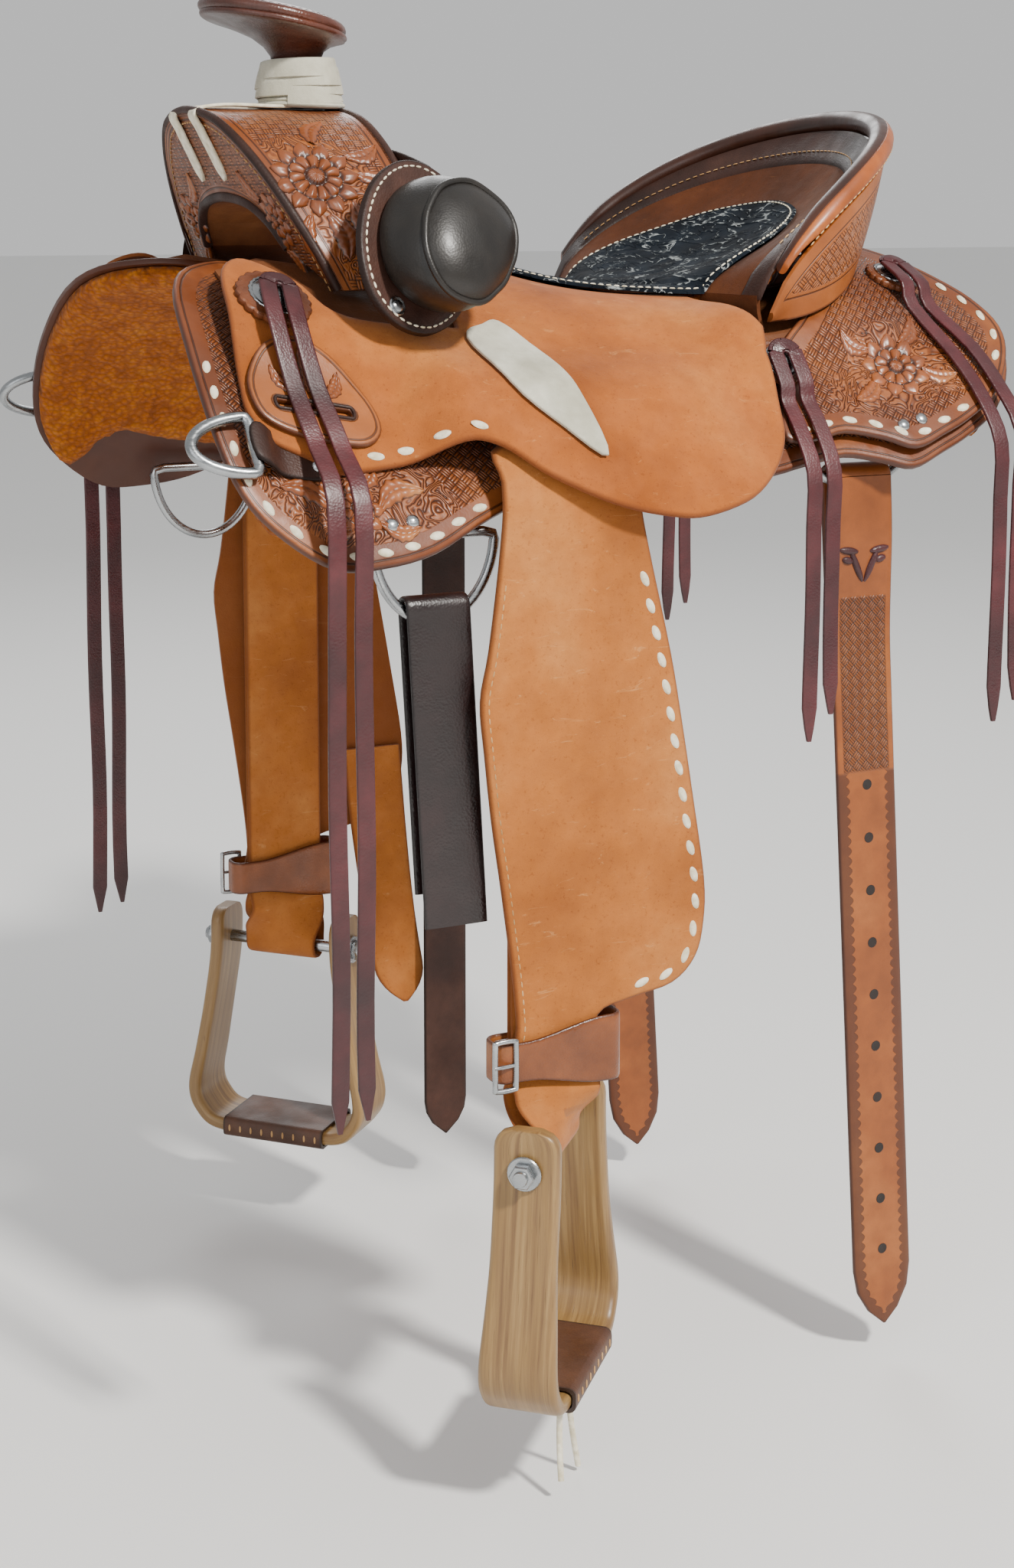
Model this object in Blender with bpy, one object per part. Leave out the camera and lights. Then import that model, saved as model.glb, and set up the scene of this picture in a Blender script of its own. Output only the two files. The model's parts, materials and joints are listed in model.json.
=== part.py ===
"""Western saddle: tree, leather, fleece, rigging, fenders and stirrups, one object per piece.

Metres. +X runs to the cantle, +Z is up, -Y is the near (left) side and +Y the off side.
The origin lies on the centre plane at the middle of the skirts' length, at the rigging's height.
Leather that lies on the horse is described on the "barrel": x along the horse, s the distance
down the side from the centre line, h the height above the skirt's underside.
"""
import math

import bmesh
import bpy
from mathutils import Matrix, Vector
from mathutils.geometry import delaunay_2d_cdt

SIDES = {"near": -1, "off": 1}
GAP = 0.0006                       # clearance between touching layers

# ---- the barrel that skirts, bars and seat follow
BARREL_R = 0.322
CREST_ANGLE = math.radians(8)      # slope of the two sides where they meet
CREST_Z = 0.116                    # lowest height of the crest, under the rider
ROCKER = 0.034                     # rise of the crest at the skirts' ends
SEAT_DROP = 0.034                  # how far the crown is flattened under the rider

# ---- layers, as heights above the skirt's underside
FLEECE_T = 0.012
SKIRT_T = 0.005
BAR_BASE = 0.006
BAR_T = 0.014
BAR_LENGTH = (-0.275, 0.262)
BAR_EDGES = (0.050, 0.190)
SEAT_BASE = 0.0222                 # underside of the seat leather over the bars
SEAT_T = 0.0038
LEATHERS_ROOM = 0.035              # underside of the jockey over fender and stirrup leather
HOUSING_T = 0.004
CANTLE_SWELL = 0.020               # how far the seat leather rises to the cantle's ends

# ---- fork and horn
FORK_ARCH = ((0.133, 0.1145), (0.128, 0.138), (0.115, 0.165), (0.098, 0.190), (0.075, 0.212),
             (0.045, 0.228), (0.0, 0.234))
GULLET_ARCH = ((0.082, 0.1415), (0.070, 0.158), (0.045, 0.171), (0.0, 0.176))
FORK_COVER_T = 0.0035
HORN_X = -0.179
HORN_BASE_Z = 0.2386
CAP_CENTRE = (-0.199, 0.298)
CAP_R = 0.052
CAP_TILT = math.radians(10)
WRAP_R = 0.028

# ---- cantle
RIM_HALF_WIDTH = 0.170
RIM_START_X = 0.106
RIM_DEPTH = 0.170
RIM_START_Z = 0.098
RIM_RISE = 0.138
DISH_CENTRE = (0.060, 0.109)       # x and z of the middle of the seat
DISH_POWER = 2.2
ROLL_R = 0.009
CANTLE_LAST = math.radians(84)     # the cantle's pieces end at this angle each side

# ---- hanging parts
LEATHER_Y = 0.2415                 # plane of the stirrup leathers
FENDER_Y = 0.2496
FENDER_T = 0.004
LEATHER_T = 0.0038
LEATHER_W = 0.064
STIRRUP_X = -0.100
HANG_SHIFT = {-1: 0.0, 1: -0.008}  # the off leathers hang a little further forward
BOLT_Z = -0.450
BOLT_TURN = math.radians(46.6)     # the stirrups are turned out by this much
BOLT_R = 0.005
TREAD_Z = -0.610
STIRRUP_TOP_HALF = 0.055
STIRRUP_FOOT_HALF = 0.077
BILLET_W = 0.0508
STRING_W = 0.012
STRING_T = 0.0026

COLOURS = {
    "rough_out": ((0.60, 0.31, 0.14), 0.85, 0.0),
    "tooled": ((0.42, 0.17, 0.07), 0.45, 0.0),
    "dark_leather": ((0.10, 0.05, 0.035), 0.5, 0.0),
    "latigo": ((0.045, 0.022, 0.022), 0.45, 0.0),
    "burgundy": ((0.11, 0.03, 0.035), 0.45, 0.0),
    "mulehide": ((0.70, 0.68, 0.60), 0.9, 0.0),
    "black": ((0.02, 0.018, 0.016), 0.4, 0.0),
    "inlay": ((0.05, 0.06, 0.075), 0.5, 0.0),
    "fleece": ((0.42, 0.20, 0.07), 1.0, 0.0),
    "wood": ((0.47, 0.33, 0.16), 0.5, 0.0),
    "rawhide": ((0.62, 0.52, 0.36), 0.6, 0.0),
    "steel": ((0.60, 0.61, 0.62), 0.25, 1.0),
}


# ------------------------------------------------------------------ scene and materials
def empty_scene():
    for thing in list(bpy.data.objects):
        bpy.data.objects.remove(thing, do_unlink=True)


def material(name):
    found = bpy.data.materials.get(name)
    if found:
        return found
    colour, roughness, metallic = COLOURS[name]
    made = bpy.data.materials.new(name)
    made.use_nodes = True
    shader = made.node_tree.nodes["Principled BSDF"]
    shader.inputs["Base Color"].default_value = (*colour, 1)
    shader.inputs["Roughness"].default_value = roughness
    shader.inputs["Metallic"].default_value = metallic
    return made


def solid(name, points, faces, finish):
    """A mesh object from points and faces, with its faces turned outwards."""
    mesh = bpy.data.meshes.new(name)
    mesh.from_pydata([tuple(p) for p in points], [], faces)
    work = bmesh.new()
    work.from_mesh(mesh)
    bmesh.ops.recalc_face_normals(work, faces=work.faces)
    bmesh.ops.triangulate(work, faces=[f for f in work.faces if len(f.verts) > 4])
    work.to_mesh(mesh)
    work.free()
    thing = bpy.data.objects.new(name, mesh)
    bpy.context.collection.objects.link(thing)
    mesh.materials.append(material(finish))
    mesh.shade_smooth()
    mesh.set_sharp_from_angle(angle=math.radians(40))
    return thing


# ------------------------------------------------------------------ maths
def smooth(value, start, end):
    """0 before start and 1 after end, with a smooth step between; start may be past end."""
    t = min(1.0, max(0.0, (value - start) / (end - start)))
    return t * t * (3 - 2 * t)


def mix(a, b, t):
    return a + (b - a) * t


def crest(x):
    return CREST_Z + ROCKER * ((x - 0.02) / 0.32) ** 2


def seat_drop(x, s):
    """How far the crown of the barrel is flattened under the rider."""
    across = math.cos(min(1.0, abs(s) / 0.14) * math.pi / 2) ** 2
    return SEAT_DROP * math.exp(-(((x - 0.07) / 0.13) ** 2)) * across


def on_barrel(x, s, h):
    """The point at x, s down the side (negative s is the near side), and h above the barrel."""
    angle = CREST_ANGLE + abs(s) / BARREL_R
    out = BARREL_R * (math.sin(angle) - math.sin(CREST_ANGLE)) + h * math.sin(angle)
    up = crest(x) - BARREL_R * (math.cos(CREST_ANGLE) - math.cos(angle)) + h * math.cos(angle)
    return Vector((x, math.copysign(out, s) if s else 0.0, up - seat_drop(x, s)))


def barrel_frame(x, s, h):
    """A matrix at a point of the barrel: its X runs along the horse and its Z outwards."""
    angle = CREST_ANGLE + abs(s) / BARREL_R
    side = math.copysign(1, s)
    normal = Vector((0, side * math.sin(angle), math.cos(angle)))
    along = Vector((1, 0, 0))
    frame = Matrix((along, normal.cross(along), normal)).transposed().to_4x4()
    frame.translation = on_barrel(x, s, h)
    return frame


def bar_height(x, s):
    """Top of the tree's bar above the barrel."""
    a = abs(s)
    across = smooth(a, BAR_EDGES[0], 0.085) * smooth(a, BAR_EDGES[1], 0.150)
    along = smooth(x, BAR_LENGTH[0], -0.235) * smooth(x, BAR_LENGTH[1], 0.215)
    return BAR_BASE + 0.002 + (BAR_T - 0.002) * across * along


def seat_height(x, s):
    """Underside of the seat leather and jockeys above the barrel."""
    a = abs(s)
    free = mix(0.0074, LEATHERS_ROOM, smooth(x, -0.200, -0.150))
    free = mix(free, 0.022, smooth(x, 0.020, 0.085))
    past_bar = smooth(a, 0.160, 0.215)
    swell = smooth(a, 0.105, 0.165) * smooth(a, 0.235, 0.180) * smooth(x, 0.020, 0.095)
    return mix(SEAT_BASE, free, past_bar) + CANTLE_SWELL * swell


def housing_height(x, s):
    """Underside of the rear housing, which lies on the skirt and over the bar's end."""
    return max(SKIRT_T + 0.0014, bar_height(x, s) + 0.0034)


def curve_through(points, per_span, closed=False):
    """Points on a Catmull-Rom curve through the given points."""
    points = [Vector(p) for p in points]
    count = len(points)
    spans = count if closed else count - 1
    out = []
    for i in range(spans):
        if closed:
            a, b, c, d = (points[(i + k - 1) % count] for k in range(4))
        else:
            a, b, c, d = (points[min(max(i + k - 1, 0), count - 1)] for k in range(4))
        for k in range(per_span):
            t = k / per_span
            out.append(0.5 * (2 * b + (c - a) * t + (2 * a - 5 * b + 4 * c - d) * t * t
                              + (3 * b - 3 * c + d - a) * t ** 3))
    if not closed:
        out.append(points[-1])
    return out


def arc_about(centre, start, end, steps):
    """Points from start to end on the short arc about centre, in any plane."""
    a, b = Vector(start) - Vector(centre), Vector(end) - Vector(centre)
    turn = a.rotation_difference(b)
    full = a.angle(b)
    axis = turn.axis
    return [Vector(centre) + Matrix.Rotation(full * k / steps, 3, axis) @ a
            for k in range(steps + 1)]


# ------------------------------------------------------------------ ways to build a piece
def inside(point, outline):
    x, y = point
    hit = False
    for (x1, y1), (x2, y2) in zip(outline, outline[1:] + outline[:1]):
        if (y1 > y) != (y2 > y) and x < (x2 - x1) * (y - y1) / (y2 - y1) + x1:
            hit = not hit
    return hit


def edge_distance(point, outline):
    p = Vector(point)
    best = 1.0
    for a, b in zip(outline, outline[1:] + outline[:1]):
        a, b = Vector(a), Vector(b)
        t = max(0.0, min(1.0, (p - a).dot(b - a) / max((b - a).length_squared, 1e-12)))
        best = min(best, (p - a - (b - a) * t).length)
    return best


def flat_mesh(outline, step):
    """Triangles that fill an outline, with an inner grid so that they can bend."""
    edge = []
    for a, b in zip(outline, outline[1:] + outline[:1]):
        a, b = Vector(a), Vector(b)
        parts = max(1, round((b - a).length / step))
        edge += [tuple(a.lerp(b, k / parts)) for k in range(parts)]
    low = [min(p[k] for p in edge) for k in (0, 1)]
    high = [max(p[k] for p in edge) for k in (0, 1)]
    inner = []
    for i in range(1, int((high[0] - low[0]) / step) + 1):
        for j in range(1, int((high[1] - low[1]) / step) + 1):
            p = (low[0] + i * step, low[1] + j * step)
            if inside(p, edge) and edge_distance(p, edge) > 0.45 * step:
                inner.append(p)
    flat = [Vector(p) for p in edge + inner]
    ring = list(range(len(edge)))
    links = list(zip(ring, ring[1:] + ring[:1]))
    points, _, faces, _, _, _ = delaunay_2d_cdt(flat, links, [ring], 1, 1e-6)
    return [tuple(p) for p in points], [tuple(f) for f in faces]


def thick_sheet(name, flat, faces, lower, upper, finish):
    """A closed sheet: its two faces are lower(point) and upper(point) of the flat points."""
    count = len(flat)
    points = [upper(*p) for p in flat] + [lower(*p) for p in flat]
    uses = {}
    for face in faces:
        for a, b in zip(face, face[1:] + face[:1]):
            uses[frozenset((a, b))] = uses.get(frozenset((a, b)), []) + [(a, b)]
    walls = [(a, b, b + count, a + count) for found in uses.values() if len(found) == 1
             for a, b in found]
    under = [tuple(reversed([i + count for i in f])) for f in faces]
    return solid(name, points, list(faces) + under + [tuple(reversed(w)) for w in walls], finish)


def leather(name, outline, side, base, thickness, finish, step=0.03, per_span=3):
    """A piece cut to a smooth outline in x and s, laid on the barrel at height base(x, s)."""
    ring = [tuple(p) for p in curve_through(outline, per_span, closed=True)]
    flat, faces = flat_mesh(ring, step)
    return thick_sheet(name, flat, faces,
                       lambda x, s: on_barrel(x, side * s, base(x, s)),
                       lambda x, s: on_barrel(x, side * s, base(x, s) + thickness), finish)


def grid_faces(rows, columns, wrap_rows=False, wrap_columns=False):
    faces = []
    for i in range(rows if wrap_rows else rows - 1):
        for j in range(columns if wrap_columns else columns - 1):
            k, m = (i + 1) % rows, (j + 1) % columns
            faces.append((i * columns + j, i * columns + m, k * columns + m, k * columns + j))
    return faces


def loft(name, rings, finish, closed=False):
    """A solid through closed rings of points; closed joins the last ring to the first."""
    columns = len(rings[0])
    points = [p for ring in rings for p in ring]
    faces = grid_faces(len(rings), columns, wrap_rows=closed, wrap_columns=True)
    if not closed:
        last = (len(rings) - 1) * columns
        faces.append(tuple(reversed(range(columns))))
        faces.append(tuple(range(last, last + columns)))
    return solid(name, points, faces, finish)


def thick_grid(name, upper, lower, finish):
    """A closed sheet between two grids of points, each a list of rows."""
    flat = [(i, j) for i in range(len(upper)) for j in range(len(upper[0]))]
    faces = grid_faces(len(upper), len(upper[0]))
    return thick_sheet(name, flat, faces, lambda i, j: lower[i][j], lambda i, j: upper[i][j],
                       finish)


def strap(name, path, across, width, thickness, finish, closed=False, tip=0.0):
    """A flat strap along a path; across(point index, count) gives its width's direction."""
    path = [Vector(p) for p in path]
    count = len(path)
    run = [0.0]
    for a, b in zip(path, path[1:]):
        run.append(run[-1] + (b - a).length)
    rings = []
    for i, p in enumerate(path):
        before = path[i - 1] if closed else path[max(i - 1, 0)]
        after = path[(i + 1) % count] if closed else path[min(i + 1, count - 1)]
        along = (after - before).normalized()
        w = Vector(across(i, count)).normalized()
        n = along.cross(w).normalized()
        half = width / 2
        if tip:
            left = run[-1] - run[i]
            half *= min(1.0, 0.12 + math.sqrt(max(0.0, left) / tip))
        t = thickness / 2
        rings.append([p + w * a * half + n * b * t for a, b in ((1, 1), (1, -1), (-1, -1), (-1, 1))])
    return loft(name, rings, finish, closed)


def tube(name, path, radius, finish, closed=True, sides=8):
    """A round bar along a path of points."""
    path = [Vector(p) for p in path]
    count = len(path)
    rings = []
    up = Vector((0.31, 0.17, 0.93))
    for i, p in enumerate(path):
        before = path[i - 1] if closed else path[max(i - 1, 0)]
        after = path[(i + 1) % count] if closed else path[min(i + 1, count - 1)]
        along = (after - before).normalized()
        u = (up - along * up.dot(along)).normalized()
        up = u
        v = along.cross(u)
        rings.append([p + (u * math.cos(a) + v * math.sin(a)) * radius
                      for a in (2 * math.pi * k / sides for k in range(sides))])
    if closed:
        # the frame has turned on its way round, so the last rings are matched to the first
        first = rings[0]
        best = min(range(sides), key=lambda k: (rings[-1][k] - first[0]).length)
        turn = best / sides
        rings = [[ring[(k + round(best * i / (count - 1))) % sides] for k in range(sides)]
                 if turn else ring for i, ring in enumerate(rings)]
    return loft(name, rings, finish, closed)


def turned(name, profile, frame, finish, steps=20):
    """A solid turned about the frame's Z from (radius, height) points; ends lie on the axis."""
    rings = [[frame @ Vector((r * math.cos(a), r * math.sin(a), z))
              for a in (2 * math.pi * k / steps for k in range(steps))]
             for r, z in profile if r > 0]
    return loft(name, rings, finish)


def combine(thing, helper, operation):
    """Cut a helper object out of a piece, or join it on, with a Boolean."""
    helper.hide_render = True
    helper.display_type = "WIRE"
    modifier = thing.modifiers.new(operation.lower(), "BOOLEAN")
    modifier.operation = operation
    modifier.solver = "EXACT"
    modifier.object = helper


# ------------------------------------------------------------------ outlines, x and s
SKIRT = ((-0.235, 0.050), (-0.285, 0.075), (-0.313, 0.120), (-0.322, 0.190), (-0.321, 0.250),
         (-0.311, 0.293), (-0.288, 0.318), (-0.256, 0.333), (-0.222, 0.328), (-0.185, 0.315),
         (-0.140, 0.288), (-0.080, 0.262), (0.000, 0.256), (0.070, 0.262), (0.110, 0.257),
         (0.143, 0.254), (0.172, 0.263), (0.195, 0.272), (0.222, 0.265), (0.250, 0.256),
         (0.280, 0.241), (0.303, 0.212), (0.312, 0.180), (0.305, 0.145), (0.291, 0.110),
         (0.276, 0.060), (0.262, 0.012), (0.215, 0.012), (0.180, 0.042), (0.100, 0.062),
         (0.000, 0.066), (-0.120, 0.060))
HOUSING = ((0.118, 0.170), (0.104, 0.205), (0.094, 0.240), (0.118, 0.2445), (0.143, 0.2415),
           (0.172, 0.251), (0.195, 0.262), (0.222, 0.256), (0.248, 0.248), (0.276, 0.234),
           (0.299, 0.207), (0.308, 0.180), (0.302, 0.147), (0.288, 0.110), (0.272, 0.060),
           (0.258, 0.010), (0.236, 0.010), (0.218, 0.060), (0.180, 0.110), (0.148, 0.145))
SEAT = ((-0.128, 0.150), (-0.170, 0.153), (-0.215, 0.148), (-0.232, 0.118), (-0.262, 0.100),
        (-0.284, 0.122), (-0.293, 0.167), (-0.296, 0.210), (-0.297, 0.236), (-0.288, 0.254),
        (-0.262, 0.264), (-0.246, 0.271), (-0.222, 0.266), (-0.192, 0.258), (-0.160, 0.252),
        (-0.136, 0.256), (-0.108, 0.274), (-0.067, 0.291), (-0.029, 0.299), (0.001, 0.300),
        (0.041, 0.289), (0.072, 0.266), (0.088, 0.240), (0.090, 0.212), (0.088, 0.190))
FENDER = ((-0.140, -0.032), (-0.1439, -0.069), (-0.150, -0.114), (-0.156, -0.146),
          (-0.153, -0.181), (-0.148, -0.226), (-0.141, -0.273), (-0.133, -0.332),
          (-0.130, -0.366), (-0.130, -0.396), (-0.072, -0.396), (-0.070, -0.366),
          (-0.045, -0.358), (-0.013, -0.352), (0.005, -0.336), (0.0113, -0.312),
          (0.0113, -0.281), (0.0012, -0.219), (-0.007, -0.172), (-0.016, -0.125),
          (-0.031, -0.063), (-0.038, -0.032))
KEEPER = ((-0.262, 0.181), (-0.280, 0.191), (-0.293, 0.215), (-0.291, 0.238), (-0.276, 0.248),
          (-0.248, 0.252), (-0.222, 0.251), (-0.209, 0.238), (-0.212, 0.215), (-0.228, 0.192),
          (-0.246, 0.181))
KEEPER_SLOT = (-0.252, 0.229, 0.050, 0.005)     # x, s, length and width


# ------------------------------------------------------------------ tree
def make_bars():
    for side_name, side in SIDES.items():
        steps_x, steps_s = 16, 8
        upper, lower = [], []
        for i in range(steps_x + 1):
            x = mix(BAR_LENGTH[0], BAR_LENGTH[1], i / steps_x)
            bulge = 1 - abs(2 * i / steps_x - 1) ** 4
            middle, half = 0.120, 0.070 * (0.45 + 0.55 * bulge)
            row_u, row_l = [], []
            for j in range(steps_s + 1):
                s = middle + half * (2 * j / steps_s - 1)
                row_u.append(on_barrel(x, side * s, bar_height(x, s)))
                row_l.append(on_barrel(x, side * s, BAR_BASE))
            upper.append(row_u)
            lower.append(row_l)
        thick_grid(f"tree_bar_{side_name}", upper, lower, "rawhide")


def fork_front(z):
    return -0.205 - 0.48 * (z - 0.115)


def fork_back(z):
    return -0.131 - 0.20 * (z - 0.115)


def mirrored_arch(arch):
    """The arch's points from the near side's foot over the top to the off side's."""
    near = [(-y, z) for y, z in arch]
    return near + [(y, z) for y, z in reversed(arch[:-1])]


def arch_strip(name, outer, inner, spare, finish):
    """A solid between two arches with the same number of points, as deep as the fork."""
    def rings(arch):
        return [Vector((fork_front(z) - spare, y, z)) for y, z in arch], \
               [Vector((fork_back(z) + spare, y, z)) for y, z in arch]
    out_front, out_back = rings(outer)
    in_front, in_back = rings(inner)
    sections = [[a, b, c, d] for a, b, c, d in zip(out_front, out_back, in_back, in_front)]
    return loft(name, sections, finish)


def along_arch(arch, count):
    line = [Vector((0, y, z)) for y, z in arch]
    run = [0.0]
    for a, b in zip(line, line[1:]):
        run.append(run[-1] + (b - a).length)
    out = []
    for k in range(count):
        at = run[-1] * k / (count - 1)
        i = max(j for j in range(len(run) - 1) if run[j] <= at + 1e-9)
        p = line[i].lerp(line[i + 1], (at - run[i]) / (run[i + 1] - run[i]))
        out.append((p.y, p.z))
    return out


def grown(arch, by):
    """An arch moved outwards by a distance, square to its own line."""
    out = []
    for i, (y, z) in enumerate(arch):
        a, b = arch[max(i - 1, 0)], arch[min(i + 1, len(arch) - 1)]
        dy, dz = b[0] - a[0], b[1] - a[1]
        size = math.hypot(dy, dz)
        out.append((y - dz / size * by, z + dy / size * by))
    return out


def make_fork():
    count = 19
    outer = along_arch([tuple(p)[1:] for p in curve_through(
        [(0, y, z) for y, z in mirrored_arch(FORK_ARCH)], 3)], count)
    inner = along_arch([tuple(p)[1:] for p in curve_through(
        [(0, y, z) for y, z in mirrored_arch(GULLET_ARCH)], 4)], count)
    arch_strip("tree_fork", outer, inner, 0.0, "rawhide")
    arch_strip("fork_cover", grown(outer, GAP + FORK_COVER_T), grown(outer, GAP), 0.003, "tooled")


def make_horn():
    sections = ((HORN_X, 0.0, 0.0210, 0.0), (HORN_X - 0.001, 0.020, 0.0175, 0.0),
                (HORN_X - 0.003, 0.036, 0.0185, 0.2), (HORN_X - 0.006, 0.0455, 0.027, 0.7),
                (HORN_X - 0.015, 0.0530, 0.0460, 1.0))
    rings = []
    for x, rise, radius, tilt in sections:
        rings.append((x, HORN_BASE_Z + rise, radius, tilt * CAP_TILT))
    for up, part in ((-0.0030, 1.0), (0.0045, 1.0), (0.0085, 0.94), (0.0100, 0.60)):
        rings.append((CAP_CENTRE[0] - up * math.sin(CAP_TILT),
                      CAP_CENTRE[1] + up * math.cos(CAP_TILT), CAP_R * part, CAP_TILT))
    out = []
    steps = 24
    for x, z, radius, tilt in rings:
        out.append([Vector((x + radius * math.cos(a) * math.cos(tilt), radius * math.sin(a),
                            z - radius * math.cos(a) * math.sin(tilt)))
                    for a in (2 * math.pi * k / steps for k in range(steps))])
    loft("horn", out, "dark_leather")
    wrap = []
    for k in range(25):
        a = 2 * math.pi * k / 24
        out_dir = Vector((math.cos(a), math.sin(a), 0))
        ring = [(0.0226, 0.0006), (WRAP_R + 0.004, 0.0006), (WRAP_R + 0.002, 0.006),
                (WRAP_R, 0.010), (WRAP_R - 0.001, 0.0360), (0.0226, 0.0365)]
        wrap.append([Vector((HORN_X - z * 0.05, 0, HORN_BASE_Z + z)) + out_dir * r
                     for r, z in ring])
    loft("horn_wrap", wrap[:-1], "mulehide", closed=True)


# ------------------------------------------------------------------ cantle and seat
def rim(angle):
    c = max(0.0, math.cos(angle))
    return Vector((RIM_START_X + RIM_DEPTH * c ** 0.83, RIM_HALF_WIDTH * math.sin(angle),
                   RIM_START_Z + RIM_RISE * c ** 0.48))


def outwards(angle):
    """The level direction from the seat's middle to the rim."""
    p = rim(angle)
    return Vector((p.x - DISH_CENTRE[0], p.y, 0)).normalized()


def dish(angle, ratio):
    """A point on top of the dish: ratio is 0 at the seat's middle and 1 at the rim."""
    p = rim(angle)
    x = mix(DISH_CENTRE[0], p.x, ratio)
    return Vector((x, p.y * ratio, mix(DISH_CENTRE[1], p.z, ratio ** DISH_POWER)))


def rim_ratio(angle, inset):
    """The dish ratio at a level distance inside the rim."""
    p = rim(angle)
    reach = math.hypot(p.x - DISH_CENTRE[0], p.y)
    return 1 - inset / reach


def down_normal(point, ahead, aside, distance):
    """A point moved square to a surface, downwards."""
    n = (ahead - point).cross(aside - point).normalized()
    if n.z > 0:
        n = -n
    return point + n * distance


def cantle_base(angle):
    """Foot of the cantle's back, on the housings."""
    c = max(0.0, math.cos(angle))
    x = 0.112 + 0.140 * c ** 0.85
    y = 0.158 * math.sin(angle)
    s = math.copysign(BARREL_R * (math.asin((abs(y) + BARREL_R * math.sin(CREST_ANGLE))
                                            / (BARREL_R + 0.0305)) - CREST_ANGLE), y or 1)
    return on_barrel(x, s if abs(s) > 1e-4 else 1e-4, 0.0305)


def make_cantle():
    steps = 24
    angles = [mix(-CANTLE_LAST, CANTLE_LAST, k / steps) for k in range(steps + 1)]
    tiny = 1e-3

    upper, lower = [], []
    side_angles = [mix(-math.pi / 2 + 0.002, math.pi / 2 - 0.002, k / 28) for k in range(29)]
    for angle in side_angles:
        row_u, row_l = [], []
        for j in range(9):
            ratio = mix(0.06, rim_ratio(angle, 0.0112), j / 8)
            p = dish(angle, ratio)
            other = dish(min(angle + tiny, 1.56), ratio)
            if (other - p).length < 1e-7:
                other = dish(angle - tiny, ratio)
            row_u.append(p)
            row_l.append(down_normal(p, dish(angle, ratio + tiny), other, SEAT_T))
        upper.append(row_u)
        lower.append(row_l)
    thick_grid("cantle_dish", upper, lower, "rough_out")

    board = []
    for angle in angles:
        n, top = outwards(angle), rim(angle)
        base = cantle_base(angle)
        front = dish(angle, rim_ratio(angle, 0.0150)) - Vector((0, 0, 0.0085))
        p2 = top - n * 0.003 - Vector((0, 0, 0.0135))
        p3 = base - n * 0.0055 + Vector((0, 0, 0.0055))
        p4 = base - n * 0.0150 + Vector((0, 0, 0.0120))
        lowest = dish(angle, rim_ratio(angle, 0.040)) - Vector((0, 0, 0.012))
        if p4.z > lowest.z:
            p4.z = min(p4.z, lowest.z)
        board.append([front, p2, p3, p4])
    loft("cantle_board", board[1:-1], "rawhide")

    back_out, back_in = [], []
    for angle in angles:
        n, top, base = outwards(angle), rim(angle), cantle_base(angle)
        head = top + n * 0.0005 - Vector((0, 0, 0.0115))
        row_o, row_i = [], []
        for j in range(4):
            p = base.lerp(head, j / 3)
            row_i.append(p)
            row_o.append(p + n * 0.003)
        back_out.append(row_o)
        back_in.append(row_i)
    thick_grid("cantle_back", back_out, back_in, "tooled")

    rings = []
    for angle in [mix(-1.53, 1.53, k / 36) for k in range(37)]:
        n, p = outwards(angle), rim(angle)
        end = 1 - 0.45 * smooth(abs(angle), 1.35, 1.53)
        rings.append([p + (n * math.cos(a) + Vector((0, 0, 1)) * math.sin(a)) * ROLL_R * end
                      for a in (2 * math.pi * k / 10 for k in range(10))])
    loft("cantle_roll", rings, "dark_leather")


def seat_top(x, y):
    """Height of the seat's top at a level place, in front of the dish or in it."""
    edge = DISH_CENTRE[0] + 0.046 * abs(y) / RIM_HALF_WIDTH
    if x <= edge:
        h = SEAT_BASE + SEAT_T
        angle = math.asin((abs(y) + BARREL_R * math.sin(CREST_ANGLE)) / (BARREL_R + h))
        return on_barrel(x, (angle - CREST_ANGLE) * BARREL_R or 1e-5, h).z
    want = math.atan2(abs(y), x - DISH_CENTRE[0])
    low, high = 0.0, math.pi / 2
    for _ in range(30):
        mid = (low + high) / 2
        p = rim(mid)
        if math.atan2(p.y, p.x - DISH_CENTRE[0]) < want:
            low = mid
        else:
            high = mid
    p = rim(low)
    ratio = math.hypot(y, x - DISH_CENTRE[0]) / math.hypot(p.y, p.x - DISH_CENTRE[0])
    return dish(low, ratio).z


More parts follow.
